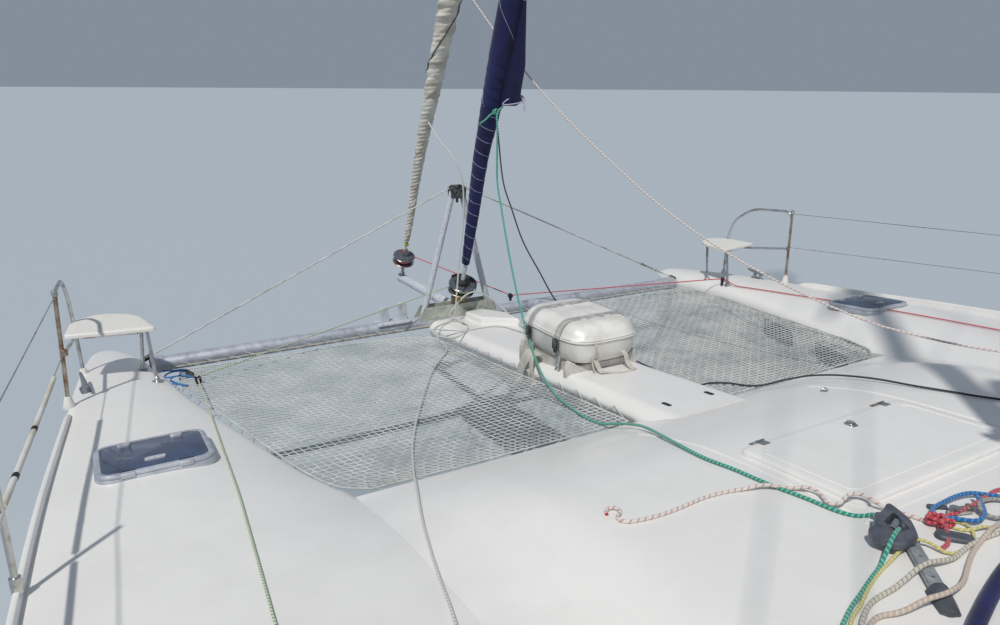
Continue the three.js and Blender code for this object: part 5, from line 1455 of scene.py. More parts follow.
rim = framed(0.46, 0.545, 0.08, [(0, -0.02), (0, 0.004), (0.004, 0.012), (0.012, 0.0158), (0.042, 0.0158),
                                 (0.05, 0.012), (0.05, -0.04)])
lid_frame = framed(0.45, 0.535, 0.078, [(0, 0.0165), (0, 0.028), (0.008, 0.0345), (0.02, 0.036), (0.027, 0.0345),
                                        (0.029, 0.0165)])
pane = loft([at_height(rounded_oblong(0.45 - 2 * i, 0.535 - 2 * i, 0.05), z)
             for i, z in ((0.028, 0.018), (0.028, 0.0325), (0.031, 0.034))])
dogs = [loft([at_height([x, y] + rounded_oblong(0.03 - 2 * i, 0.062 - 2 * i, 0.0148 - i), z)
              for i, z in ((0, 0.034), (0, 0.044), (0.004, 0.049))]) for x, y in ((0.155, 0.125), (0.155, -0.125))]
grip = loft([at_height([-0.11, 0.0] + rounded_oblong(0.028 - 2 * i, 0.1 - 2 * i, 0.0138 - i), z)
             for i, z in ((0, 0.034), (0, 0.042), (0.004, 0.047))])
hinges = [loft([at_height([-0.222, y] + rounded_oblong(0.022 - 2 * i, 0.066 - 2 * i, 0.008 - i), z)
                for i, z in ((0, 0.012), (0, 0.031), (0.003, 0.034))]) for y in (0.13, -0.13)]
# Two near-black strips fill the slots beside the hinges: their black is the painted shade inside the slots.
slots = [box_body((-0.207, -0.202), (y - 0.036, y + 0.036), (0.03, 0.0385)) for y in (0.13, -0.13)]
dog_grey = weathered("pale_grey_acetal", "9FA3AC", "BDC0C8", 0.4, 0.03)
slot_shade_black = weathered("black_painted_slot_shade", "101012", "1E1F22", 0.75, 0.02)
for name, shape, finish, kind in (
    ("rim", rim, anodised, "anodised"),
    ("lid_frame", lid_frame, anodised, "anodised"),
    ("pane", pane, smoked, "acrylic"),
    ("dogs", merged([*dogs, grip]), dog_grey, None),
    ("hinges", merged(hinges), anodised, "anodised"),
    ("slots", merged(slots), slot_shade_black, None),
):
    rides = None if name == "rim" else "deck_hatch"
    made = body_piece(f"deck_hatch_{name}_port", *set_on_hatch(shape), finish,
                      f"{rides}_port" if rides else "boat", kind)
    twinned(made, f"deck_hatch_{name}", "deck_hatch" if name == "pane" else None, rides)


# Genoa tracks: a short aluminium track each side with pin holes, a car whose winged shell holds a steel sheave, and
# a moulded end stop. Cleats, blocks, pad-eyes and winches are bolted down beside them.
def placed(shape, place, turn=0.0):
    """A body turned about z by an angle and moved."""
    p = np.asarray(shape[0], float).reshape(-1, 3)
    c, s = np.cos(turn), np.sin(turn)
    return np.c_[p[:, 0] * c - p[:, 1] * s, p[:, 0] * s + p[:, 1] * c, p[:, 2]] + place, shape[1]


car_grey = weathered("grey_cast_car", "4C4F59", "747884", 0.45, 0.05, 0.3, 0.75, 0.0006, Metallic=0.35)
track_grey = weathered("dull_anodised_track", "858B91", "A2A8AC", 0.5, 0.03, 0.35, 0.7, 0.0004, Metallic=0.2)
stop_grey = weathered("dark_moulded_end_stop", "43474E", "5C6169", 0.5, 0.03, 0.35, 0.7, 0.0006)
TRACK = {"aft": (0.942, 0.892), "turn": np.arctan2(-0.667, 0.745), "long": 0.46, "wide": 0.046, "high": 0.026}
base_z = fore_top(1.15, 0.75).item() - 0.004
tilt = (fore_top(1.3, 0.6).item() - fore_top(0.935, 0.888).item()) / 0.46


def on_track(shape):
    """A body in the track's own frame, x forward along it, y to port and z up, set on the sloping deck."""
    points, faces = placed(shape, (0, 0, 0))
    points = points + np.c_[0 * points[:, :2], tilt * (points[:, 0] - 0.28)]
    return placed((points, faces), (*TRACK["aft"], base_z), TRACK["turn"])


# The car's outline from above, round from its forward notch, and the window over its sheave
CAR = np.array(
    [(1.315, 0.687), (1.305, 0.673), (1.313, 0.635), (1.33, 0.598), (1.326, 0.583), (1.308, 0.587), (1.264, 0.602),
     (1.217, 0.623), (1.18, 0.657), (1.15, 0.69), (1.14, 0.71), (1.14, 0.792), (1.155, 0.806), (1.172, 0.816),
     (1.222, 0.827), (1.263, 0.799), (1.256, 0.766), (1.285, 0.732)]
)
CAR_Z = 1.985
WINDOW = np.array([(1.254, 0.728), (1.274, 0.64), (1.183, 0.686), (1.188, 0.752)])
middle = CAR.mean(0)
outline = rounded(CAR, 0.008, 3)
shell = loft([at_height(middle + (outline - middle) * k, CAR_Z + z) for k, z in
              ((0.96, -0.024), (0.995, -0.02), (1.0, -0.012), (1.0, -0.004), (0.99, 0.0), (0.96, 0.003), (0.85, 0.005),
               (0.6, 0.008), (0.3, 0.01), (0.03, 0.01))])
shell = mesh_object("genoa_car_shell_port", *shell, car_grey)
gap_line = rounded(WINDOW, 0.01, 3)
cut(shell, loft([at_height(gap_line, z) for z in (CAR_Z - 0.045, CAR_Z + 0.05)]))
sheave = turned([(0.009, -0.034), (0.03, -0.034), (0.031, -0.03), (0.028, -0.02), (0.028, 0.02), (0.031, 0.03),
                 (0.03, 0.034), (0.009, 0.034)], (0, 0, 0), 1, 40)
sheave = placed(sheave, (1.236, 0.69, CAR_Z - 0.028), 0.228)
track_bar = box_body((0.03, TRACK["long"]), (-0.023, 0.023), (-0.004, TRACK["high"]), 0.004)
lips = [box_body((0.03, TRACK["long"]), (y - 0.003, y + 0.003), (0.012, 0.019), 0.001) for y in (-0.024, 0.024)]
holes = [turned([(0.0065, 0), (0.0065, 0.0012), (0.0045, 0.0012), (0.004, -0.001)], (u, 0, TRACK["high"]), 2, 14)
         for u in (0.09, 0.15, 0.21, 0.27)]
s, t = np.meshgrid(np.linspace(-1, 1, 15), np.linspace(0, 1, 12))
stop_u = 0.036 - t * (0.108 + 0.012 * (1 - s**2))
stop_v = s * (0.037 - 0.008 * t**2)
stop_z = 0.008 + (0.034 - 0.024 * t) * (1 - np.abs(s) ** 2.5)
stop = loft(np.concatenate([np.dstack([stop_u, stop_v, stop_z]),
                            np.dstack([stop_u, stop_v, 0 * stop_z - 0.008])[:, ::-1]], 1))
smooth(shell)
gear = {
    "genoa_car_sheave": ([sheave], steel, "stainless"),
    "genoa_car_slide": ([on_track(box_body((0.315, 0.49), (-0.032, 0.04), (0.006, 0.028), 0.004))], black, None),
    "genoa_track_bar": ([on_track(b) for b in (track_bar, *lips)], track_grey, "anodised"),
    "genoa_track_bolts": ([on_track(h) for h in holes], steel, "stainless"),
    "genoa_track_stop": ([on_track(stop)], stop_grey, "black_plastic"),
}
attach(shell, "boat")
twinned(shell, "genoa_car_shell")
for name, (shapes, finish, kind) in gear.items():
    replaced = "genoa_track" if name == "genoa_track_bar" else None
    twinned(pieces(f"{name}_port", shapes, finish), name, replaced)

cleat_grey = weathered("cast_aluminium_cleat", "70757D", "A3A9B0", 0.45, 0.04, 0.3, 0.7, 0.0008, Metallic=0.6)


def horn_cleat(x, y, z, turn, long=0.25):
    """A cast cleat: two horns along one tapering bar, on two legs that flare into their feet."""
    k = long / 0.25
    bar_x = np.linspace(-0.125, 0.125, 21)
    horn = tube(np.c_[bar_x, 0 * bar_x, 0.05 + 0.012 * (bar_x / 0.125) ** 2] * k,
                k * (0.013 - 0.006 * (bar_x / 0.125) ** 2), 12)
    legs = [turned([(0.022 * k, -0.02), (0.02 * k, 0.004), (0.012 * k, 0.02 * k), (0.012 * k, 0.05 * k)],
                   (s * 0.035 * k, 0, 0)) for s in (-1, 1)]
    base = loft([at_height(rounded_oblong(0.13 * k, 0.05 * k, 0.024 * k), h) for h in (-0.02, 0.006)])
    return [placed(body, (x, y, z), turn) for body in (horn, *legs, base)]


for name, place in (("bow", (5.2, 3.125, 0.1)), ("midship", (-1.98, 2.96, 0.0)), ("quarter", (-5.9, 3.2, 0.05))):
    x, y, turn = place
    z = hull_deck(x, y).item() if x > -5 else 0.45
    shapes = horn_cleat(x, y, z, turn, 0.3 if name == "bow" else 0.25)
    if name == "quarter":
        x, y = -4.75, 3.3
        shapes = horn_cleat(x, y, hull_deck(x, y).item(), 0.0)
    made = pieces(f"mooring_cleat_{name}_port", shapes, cleat_grey)
    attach(mirrored(made, f"mooring_cleat_{name}_starboard"), "boat")


def stand_block(x, y, z, turn, radius=0.027):
    """A block that stands on a foot: two cheeks on a post with a sheave between them."""
    cheek = turned([(0.002, -0.0025), (radius, -0.0025), (radius, 0.0025), (0.002, 0.0025)], (0, 0, 0.03), 1, 20)
    parts = [placed(placed(cheek, (0, s * 0.011, 0)), (x, y, z), turn) for s in (-1, 1)]
    parts.append(
        placed(
            turned([(0.003, -0.008), (radius - 0.004, -0.008), (radius - 0.008, 0), (radius - 0.004, 0.008),
                    (0.003, 0.008)], (0, 0, 0.03), 1, 20), (x, y, z), turn
        )
    )
    parts.append(placed(box_body((-0.011, 0.011), (-0.013, 0.013), (-0.02, 0.02), 0.003), (x, y, z), turn))
    return parts


block_z = hull_deck(5.26, 2.674).item()
blocks = stand_block(5.26, -2.674, block_z + 0.035, -0.6) + [
    placed(turned([(0.014, 0), (0.011, 0.01), (0.008, 0.03), (0.007, 0.045)], (0, 0, 0)),
           (5.26, -2.674, block_z - 0.004))
]
blocks += stand_block(5.26, 2.43, 1.41, 0.3)
blocks += stand_block(6.045, -0.6, 1.43, 1.4, 0.024)
pieces("furling_line_blocks", blocks, black)

# A pad-eye on the foredeck, the ring that lifts the locker's lid, and by the port track the small fittings that
# the tails are made fast to.
fittings = [
    placed(loft([at_height(rounded_oblong(0.05, 0.03, 0.0145), h) for h in (-0.01, 0.004)]),
           (2.44, -0.55, fore_top(2.44, 0.55).item()), 0.4),
    tube(
        [(2.44 + 0.016 * np.cos(a), -0.55 + 0.006 * np.cos(a), fore_top(2.44, 0.55).item() + 0.022 * np.sin(a))
         for a in np.linspace(0, np.pi, 14)], 0.0035, 8
    )
]
pieces("foredeck_pad_eye", fittings, steel)
ring_z = fore_top(1.93, 0.06).item() + LOCKER["lid"]
ring = np.array([(1.935 + 0.02 * np.cos(a), -0.06 + 0.02 * np.sin(a), ring_z + 0.008 + 0.005 * np.cos(a))
                 for a in np.linspace(0, 2 * np.pi, 25)])
pieces("locker_lid_ring", [tube(ring, 0.003, 8), placed(loft([at_height(rounded_oblong(0.06, 0.045, 0.012), h)
                           for h in (-0.002, 0.003)]), (1.935, -0.06, ring_z))], steel, "locker_lid")
ribs = [turned([(r, 0.018), (r + 0.004, 0.021), (r + 0.008, 0.018)], (0, 0, 0), 2, 28) for r in (0.006, 0.016)]
oval = [placed(loft([at_height(rounded_oblong(0.125 - i, 0.055 - i, 0.027 - i / 2), h)
                     for i, h in ((0, -0.01), (0, 0.014), (0.008, 0.02))]), (1.117, 0.517, base_z + 0.004), 0.68)]
oval += [placed(r, (1.117, 0.517, base_z + 0.004)) for r in ribs]
oval += [placed(box_body((-0.036, 0.036), (-0.01, 0.01), (-0.01, 0.014), 0.005),
                (1.273, 0.358, fore_top(1.273, 0.358).item()), 0.91)]
pieces("halyard_tail_foot", oval, stop_grey)
snap = [placed(box_body((-0.05, 0.05), (-0.014, 0.014), (0.004, 0.03), 0.008), (1.2, 0.335, base_z + 0.004), 1.25),
        placed(turned([(0.006, 0.03), (0.02, 0.031), (0.02, 0.036), (0.006, 0.037)], (0, 0, 0)),
               (1.208, 0.36, base_z), 0),
        placed(turned([(0.006, 0.03), (0.016, 0.031), (0.016, 0.036), (0.006, 0.037)], (0, 0, 0)),
               (1.19, 0.3, base_z), 0)]
pieces("halyard_snap_block", snap, steel)

# Winches and rope clutches on each side deck, where the deck ropes end.
winch_black = weathered("ribbed_black_drum", "1C1D20", "35373B", 0.4, 0.02, 0.35, 0.7, 0.0006, Metallic=0.5)
for sign, word in SIDES:
    x, y = -2.25, 2.5
    z = hull_deck(x, y).item()
    drum = turned(
        [(0.095, -0.01), (0.095, 0.02), (0.075, 0.035), (0.055, 0.06), (0.052, 0.1), (0.06, 0.135), (0.066, 0.142),
         (0.066, 0.15)], (x, sign * y, z), 2, 40
    )
    crown = turned([(0.064, 0.15), (0.066, 0.156), (0.06, 0.166), (0.022, 0.168), (0.02, 0.16)], (x, sign * y, z),
                   2, 40)
    jaws = [turned([(0.058, h), (0.07, h + 0.003), (0.058, h + 0.006)], (x, sign * y, z), 2, 40)
            for h in (0.138, 0.148)]
    pieces(f"sheet_winch_drum_{word}", [drum], winch_black)
    pieces(f"sheet_winch_crown_{word}", [crown, *jaws], steel)
    lanes = 4 if sign > 0 else 1
    shells, levers = [], []
    for k in range(lanes):
        lane_y = sign * (2.578 - 0.037 * k) if sign > 0 else -2.55
        lane_z = hull_deck(-1.86, abs(lane_y)).item()
        outline = [(-1.98, lane_z - 0.01), (-1.98, lane_z + 0.04), (-1.93, lane_z + 0.062), (-1.8, lane_z + 0.055),
                   (-1.74, lane_z + 0.035), (-1.74, lane_z - 0.01)]
        shells.append(prism(rounded(outline, 0.012), lane_y - 0.017, lane_y + 0.017))
        levers.append(prism(rounded([(-1.95, lane_z + 0.06), (-1.95, lane_z + 0.072), (-1.85, lane_z + 0.082),
                                     (-1.77, lane_z + 0.078), (-1.77, lane_z + 0.068), (-1.85, lane_z + 0.06)], 0.006),
                            lane_y - 0.012, lane_y + 0.012))
    pieces(f"rope_clutch_shells_{word}", shells, black)
    pieces(f"rope_clutch_levers_{word}", levers, cleat_grey)


# Running rigging on deck: braided polyester ropes, limp and used, each lying where it was dropped. Their lines
# were placed by the photograph; beyond its frame each leads aft to a clutch or a cleat on its own side.
def ground(x, y):
    """Height of what lies under the sky: the hull's deck, the foredeck and its lid, the girder, or else the net."""
    x, y = np.asarray(x, float), np.asarray(y, float)
    inner = station(x, 1)
    on_lid = (np.abs(x - lid_middle[0]) < lid_long / 2) & (np.abs(y) < lid_wide / 2)
    c, s = np.cos(TRACK["turn"]), np.sin(TRACK["turn"])
    u, v = (x - TRACK["aft"][0]) * c + (y - TRACK["aft"][1]) * s, (y - TRACK["aft"][1]) * c - (x - TRACK["aft"][0]) * s
    on_bar = (u > 0.03) & (u < TRACK["long"]) & (np.abs(v) < 0.032)
    on_stop = (u > -0.07) & (u < 0.05) & (np.abs(v) < 0.055)
    fore = fore_top(x, y) + LOCKER["lid"] * on_lid + np.maximum(0.026 * on_bar, 0.034 * on_stop)
    levels = [hull_deck(x, np.abs(y)), fore, longeron_top(x), net_height(x) + 0.004]
    return np.select([np.abs(y) > inner, x < FORE_EDGE, np.abs(y) < 0.33], levels[:3], levels[3])


def evenly(path, step=0.02):
    """Points every step along a line."""
    path = np.asarray(path, float)
    far = np.r_[0, np.cumsum(np.linalg.norm(np.diff(path, axis=0), axis=1))]
    at = np.linspace(0, far[-1], int(far[-1] / step) + 2)
    return np.stack([np.interp(at, far, path[:, k]) for k in range(3)], -1)


def laid(points, radius, lifts=()):
    """A rope's line on the deck: a smooth line through x, y points, at the height of what lies under it, eased
    over steps, plus its radius. Each lift (x, y, height, reach) is a low hump where it goes over something."""
    line = through(points, 10)
    line = evenly(np.c_[line, np.zeros(len(line))])
    z = ground(line[:, 0], line[:, 1])
    wide = np.pad(z, 3, mode="edge")
    high = np.max([wide[k : k + len(z)] for k in range(7)], 0)
    high = np.convolve(np.pad(high, 3, mode="edge"), np.ones(7) / 7, "valid")
    z = np.maximum(z, high - 0.001) + radius
    for x, y, rise, reach in lifts:
        z += rise * np.exp(-(((line[:, 0] - x) ** 2 + (line[:, 1] - y) ** 2) / reach**2))
    line[:, 2] = z
    return line


def hanging(start, end, depth, n=40):
    """A slack span: a straight line between two points less a parabola of the given depth."""
    t = np.linspace(0, 1, n)[:, None]
    return np.asarray(start) * (1 - t) + np.asarray(end) * t - [0, 0, 4 * depth] * t * (1 - t)


def eased(path, diameter, passes=60):
    """A line whose corners are worn down to the bend that the rope takes, over twice its diameter: the points of a
    tighter one move towards the middle of their neighbours. A small loop takes few passes, or it would close."""
    path = evenly(path, 0.018)
    for k in range(passes):
        a, b, c = path[:-2], path[1:-1], path[2:]
        near, next_, chord = (np.linalg.norm(v, axis=1) for v in (b - a, c - b, c - a))
        area = np.linalg.norm(np.cross(b - a, c - b), axis=1) / 2
        tight = (near * next_ * chord < 4 * area * 2.1 * diameter) | (chord < near)
        tight = np.convolve(tight, np.ones(3), "same") > 0
        path[1:-1] += 0.25 * np.maximum(tight, k < 1)[:, None] * (a - 2 * b + c)
        if k % 10 == 9:
            path = evenly(path, 0.018)
    return path


def rope(name, path, diameter, finish, length, sides=9):
    """A rope: a mesh tube along its line, riding on the boat. It prints the length drawn beside the length that it
    really has.
    """
    path = evenly(path, 0.018)
    made = rope_mesh(name, path, diameter / 2, finish, sides)
    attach(made, "boat")
    total = np.linalg.norm(np.diff(path, axis=0), axis=1).sum()
    print(f"{name}: {total:.2f} m drawn, {length} m declared")
    return made


teal = rope_finish("teal_polyester_braid", "2F8F7C", "7FC9B4", 0.3)
navy_black = rope_finish("black_polyester_braid", "1F2226", "4A4F57", 0.25)
grey_white = rope_finish("weathered_white_braid", "B9BCB8", "DADBD6", 0.4)
red_fleck = rope_finish("red_flecked_braid", "DCD8D2", "B2303A", 0.26, period=0.03, broken=True)
grey_braid = rope_finish("grey_polyester_braid", "8E908A", "A9ABA4", 0.4)
yellow_braid = rope_finish("yellow_polyester_braid", "C9C07A", "E0D99A", 0.3)
black_fleck = rope_finish("black_flecked_braid", "CFC9BC", "2A2A2A", 0.24, period=0.022, broken=True)
beige_braid = rope_finish("bleached_beige_braid", "C3B2A4", "D8CBBE", 0.3)
blue_braid = rope_finish("blue_polyester_braid", "1F66A8", "4C93D0", 0.3)
red_braid = rope_finish("red_polyester_braid", "B83A46", "D26C74", 0.3)

# The port genoa sheet falls from the clew to the net and runs over the foredeck to its car, then aft.
r = 0.0075
knot = through(
    [(5.325, -0.082, 3.281), (5.3, -0.03, 3.262), (5.288, 0.02, 3.262), (5.292, 0.028, 3.235), (5.3, 0.0, 3.228),
     (5.286, -0.012, 3.25), (5.274, 0.014, 3.268), (5.27, 0.022, 3.24)], 6
)
fall = through(
    [(5.26, 0.012, 3.21), (5.25, 0.012, 3.1), (5.249, 0.014, 2.85), (5.23, 0.02, 2.69), (5.12, 0.05, 2.53),
     (4.99, 0.09, 2.37), (4.83, 0.135, 2.17), (4.62, 0.193, 1.943), (4.489, 0.231, 1.829), (4.3, 0.29, 1.715),
     (4.0, 0.385, 1.58), (3.8, 0.433, 1.525)], 10
)
over_roll = through(
    [(5.292, 0.012, 3.243), (5.284, 0.06, 3.222), (5.268, 0.105, 3.19), (5.278, 0.14, 3.165), (5.32, 0.14, 3.145),
     (5.38, 0.11, 3.14)], 6
)
deck_run = laid(
    [(3.72, 0.455), (3.565, 0.5), (3.416, 0.526), (3.231, 0.547), (3.096, 0.539), (2.955, 0.527), (2.701, 0.582),
     (2.332, 0.717), (2.091, 0.764), (1.907, 0.75), (1.734, 0.74), (1.575, 0.715), (1.47, 0.705), (1.406, 0.685),
     (1.37, 0.645)], r
)
through_car = through(
    [(1.345, 0.63, 1.95), (1.31, 0.648, 1.948), (1.27, 0.668, 1.945), (1.235, 0.69, 1.95), (1.21, 0.708, 1.975),
     (1.197, 0.726, 1.998), (1.186, 0.757, 2.004), (1.175, 0.795, 2.001), (1.162, 0.835, 1.982)], 5
)
aft_run = laid(
    [(1.147, 0.888), (1.138, 0.915), (1.112, 0.999), (1.081, 1.091), (1.052, 1.179), (0.99, 1.32), (0.9, 1.5),
     (0.68, 1.82), (0.36, 2.12), (-0.1, 2.36), (-0.7, 2.5), (-1.3, 2.56), (-1.78, 2.58)], r
)
from_clew = [(5.325, -0.082, 3.281), (5.302, -0.04, 3.268), (5.276, -0.005, 3.246)]
rope("genoa_sheet_port", eased(np.vstack([from_clew, fall, deck_run, through_car, aft_run]), 2 * r), 2 * r, teal, 9.2)
for part, line in (("knot", knot[12:]), ("turn", over_roll)):
    made = rope_mesh(f"genoa_sheet_{part}", evenly(line, 0.01), r * 0.9, teal)
    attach(made, "boat")

# The starboard one falls behind the raft, lies over the net's corner and the foredeck, and leads aft.
r = 0.006
fall = through(
    [(5.335, -0.025, 3.2), (5.321, -0.031, 3.118), (5.268, -0.054, 2.706), (5.186, -0.091, 2.48),
     (5.079, -0.139, 2.223), (4.925, -0.207, 1.99), (4.8, -0.28, 1.78), (4.62, -0.385, 1.58), (4.46, -0.43, 1.49)],
    10
)
deck_run = laid(
    [(4.3, -0.44), (4.0, -0.43), (3.7, -0.4), (3.45, -0.36), (3.3, -0.4), (3.273, -0.52), (3.2, -0.62),
     (3.127, -0.66), (3.037, -0.74), (2.95, -0.87), (2.8, -0.93), (2.524, -0.9), (2.192, -0.87), (1.958, -0.927),
     (1.75, -1.011), (1.3, -1.3), (0.9, -1.6), (0.5, -1.95), (0.0, -2.28), (-0.7, -2.47), (-1.3, -2.53),
     (-1.78, -2.55)], r
)
rope("genoa_sheet_starboard", eased(np.vstack([fall, deck_run]), 2 * r), 2 * r, navy_black, 9.1)

# The gennaker's sheet hangs in one long span from the clew to the starboard stanchion where it is made fast.
span = hanging((5.87, -0.04, 4.2), (-2.6, -3.47, 2.1), 0.0, 80)
t = np.linspace(0, 1, 80)
far = np.array([0, 0.03, 0.07, 0.115, 0.16, 0.2, 0.25, 0.3, 0.35, 0.385, 0.43, 0.465, 0.6, 0.8, 1.0])
SPAN_Z = np.array([4.2, 3.9, 3.53, 3.18, 2.88, 2.63, 2.38, 2.19, 2.05, 1.985, 1.96, 1.97, 2.0, 2.04, 2.1])
span[:, 2] = monotone(t, far, SPAN_Z[:, None])[:, 0]
rope("gennaker_sheet_starboard", span, 0.013, red_fleck, 9.9)

# A spare line drops from the gennaker past the striker's head, and is thrown in a bight over the girder's front.
bight = through(
    [(6.42, 0.075, 3.12), (6.1, 0.12, 2.98), (5.85, 0.12, 2.86), (5.77, 0.08, 2.72), (5.75, 0.062, 2.55),
     (5.75, 0.07, 2.26), (5.75, 0.1, 2.037), (5.75, 0.124, 1.803), (5.75, 0.146, 1.573), (5.76, 0.155, 1.45),
     (5.79, 0.18, 1.4)], 10
)
loops = laid(
    [(5.76, 0.22), (5.7, 0.34), (5.56, 0.47), (5.38, 0.5), (5.26, 0.42), (5.3, 0.3), (5.45, 0.18), (5.6, 0.13),
     (5.74, 0.13), (5.84, 0.16)], 0.0075, [(5.74, 0.16, 0.02, 0.05)]
)
arch = through(
    [(5.82, 0.2, 1.43), (5.805, 0.101, 1.545), (5.8, 0.011, 1.615), (5.8, -0.084, 1.627), (5.8, -0.192, 1.575),
     (5.77, -0.32, 1.47), (5.66, -0.36, 1.4), (5.5, -0.32, 1.392)], 8
)
tail = laid([(5.4, -0.27), (5.1, -0.19), (4.8, -0.16), (4.52, -0.14)], 0.0075)
rope("spare_line_forward", eased(np.vstack([bight, loops, arch, tail]), 0.015), 0.015, grey_white, 5.5)

# A long line lies over the port net and the foredeck, from the raft's foot to a cleat on the side deck.
line = laid(
    [(4.5, -0.05), (4.8, -0.1), (5.1, -0.09), (5.257, -0.08), (5.354, -0.02), (5.38, 0.1), (5.363, 0.22),
     (5.4, 0.3), (5.52, 0.37), (5.6, 0.42), (5.56, 0.48), (5.45, 0.49), (5.25, 0.55), (4.981, 0.613),
     (4.736, 0.807), (4.489, 0.987), (3.979, 1.291), (3.494, 1.549), (3.197, 1.678), (2.902, 1.789), (2.518, 1.928),
     (2.269, 2.004), (2.035, 2.068), (1.8, 2.129), (1.3, 2.28), (0.7, 2.45), (0.0, 2.62), (-0.8, 2.78),
     (-1.5, 2.88), (-1.95, 2.92)], 0.006
)
rope("long_line_port", eased(line, 0.012), 0.012, grey_white, 9.6)

# Loose ends by the port genoa track: a red-flecked line with a whipped eye, knotted round the sheet and to a red
# one, and four halyard tails that come together beside the coachroof.
eye_loop = [(1.9, 1.434), (1.93, 1.425), (1.941, 1.4), (1.93, 1.374), (1.905, 1.364), (1.88, 1.374), (1.87, 1.4)]
first = laid(
    [*eye_loop, (1.861, 1.427), (1.838, 1.437), (1.816, 1.42), (1.8, 1.38), (1.784, 1.28), (1.785, 1.17),
     (1.795, 1.056), (1.788, 0.956), (1.765, 0.865), (1.72, 0.777), (1.661, 0.701), (1.6, 0.655), (1.54, 0.66),
     (1.49, 0.7), (1.455, 0.68), (1.47, 0.61), (1.43, 0.575), (1.385, 0.56), (1.33, 0.527), (1.27, 0.502),
     (1.225, 0.492)], 0.0065,
    [(1.72, 0.777, 0.018, 0.05), (1.6, 0.655, 0.02, 0.05), (1.455, 0.64, 0.022, 0.06), (1.43, 0.575, 0.015, 0.05)]
)
rope("red_flecked_line", eased(first, 0.015, 5), 0.015, red_fleck, 1.5)
knot_a = np.linspace(0, 1, 70)
knot = np.c_[1.195 + 0.03 * np.cos(2 * np.pi * 2 * knot_a) + 0.008 * np.sin(2 * np.pi * 3 * knot_a),
             0.485 + 0.028 * np.sin(2 * np.pi * 3 * knot_a), 1.955 + 0.012 * np.cos(2 * np.pi * 5 * knot_a)]
red_tail = laid([(1.16, 0.5), (1.13, 0.535), (1.105, 0.58), (1.1, 0.625)], 0.007, [(1.16, 0.5, 0.012, 0.03)])
to_aft = laid(
    [(1.212, 0.42), (1.196, 0.361), (1.19, 0.281), (1.199, 0.226), (1.217, 0.125), (1.224, 0.03), (1.18, -0.05),
     (1.08, -0.1)], 0.007, [(1.19, 0.28, 0.022, 0.13)]
)
rope("red_line_knotted", eased(np.vstack([to_aft[::-1], red_tail]), 0.016), 0.016, red_braid, 0.8)
made = rope_mesh("red_line_knot", evenly(knot, 0.01), 0.008, red_braid)
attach(made, "boat")
blue_loop = laid(
    [(1.07, -0.02), (1.14, 0.05), (1.2, 0.11), (1.245, 0.172), (1.264, 0.246), (1.264, 0.33), (1.262, 0.42),
     (1.25, 0.472), (1.222, 0.475), (1.195, 0.436), (1.16, 0.405), (1.128, 0.38), (1.122, 0.335), (1.142, 0.288),
     (1.18, 0.238), (1.222, 0.2)], 0.0065, [(1.2, 0.3, 0.022, 0.2), (1.222, 0.2, 0.01, 0.04)]
)
rope("blue_halyard_tail", eased(blue_loop, 0.016), 0.016, blue_braid, 0.9)
AFT = [(0.9, 1.48), (0.7, 1.76), (0.4, 2.06), (-0.02, 2.31), (-0.6, 2.47), (-1.2, 2.53)]
yellow_run = laid(
    [(1.0, -0.02), (1.035, 0.15), (1.076, 0.308), (1.09, 0.358), (1.109, 0.417), (1.142, 0.456), (1.172, 0.462),
     (1.186, 0.432), (1.169, 0.4), (1.142, 0.397), (1.107, 0.426), (1.079, 0.464), (1.064, 0.524), (1.059, 0.606),
     (1.07, 0.643), (1.096, 0.65), (1.133, 0.646), (1.155, 0.67), (1.158, 0.726), (1.147, 0.817), (1.125, 0.929),
     (1.087, 1.044), (1.046, 1.141), (1.015, 1.225), *[(x - 0.015, y - 0.025) for x, y in AFT], (-1.76, 2.545)],
    0.006, [(1.1, 0.385, 0.014, 0.03)]
)
rope("yellow_halyard_tail", eased(yellow_run, 0.012, 2), 0.012, yellow_braid, 4.8)
black_run = laid(
    [(1.0, 0.12), (1.04, 0.25), (1.052, 0.354), (1.061, 0.443), (1.06, 0.536), (1.044, 0.645), (1.042, 0.7),
     (1.05, 0.767), (1.054, 0.84), (1.05, 0.907), (1.046, 0.993), (1.043, 1.073), (1.028, 1.133), (0.985, 1.222),
     *[(x - 0.035, y - 0.052) for x, y in AFT], (-1.74, 2.51)], 0.0085
)
rope("black_flecked_halyard_tail", eased(black_run, 0.017), 0.017, black_fleck, 4.3)
beige_run = laid(
    [(1.04, 0.0), (1.082, 0.15), (1.086, 0.29), (1.065, 0.405), (1.041, 0.53), (1.0, 0.646), (0.962, 0.736),
     (0.938, 0.8), (0.926, 0.85), (0.926, 0.92), (0.945, 0.995), (0.958, 1.063), (0.985, 1.12), (0.985, 1.165),
     (0.96, 1.225), *[(x - 0.055, y - 0.08) for x, y in AFT], (-1.72, 2.47)], 0.0085, [(1.07, 0.4, 0.016, 0.05)]
)
rope("beige_halyard_tail", eased(beige_run, 0.017), 0.017, beige_braid, 4.4)

grey_knot = laid(
    [(1.03, -0.06), (1.07, 0.06), (1.105, 0.17), (1.098, 0.25), (1.115, 0.305), (1.155, 0.295), (1.188, 0.24),
     (1.197, 0.17), (1.175, 0.118), (1.13, 0.11), (1.1, 0.14), (1.09, 0.19)], 0.007,
    [(1.15, 0.2, 0.016, 0.08), (1.1, 0.14, 0.014, 0.04), (1.19, 0.28, 0.02, 0.06)]
)
rope("grey_halyard_tail", eased(grey_knot, 0.016), 0.016, grey_braid, 0.75)

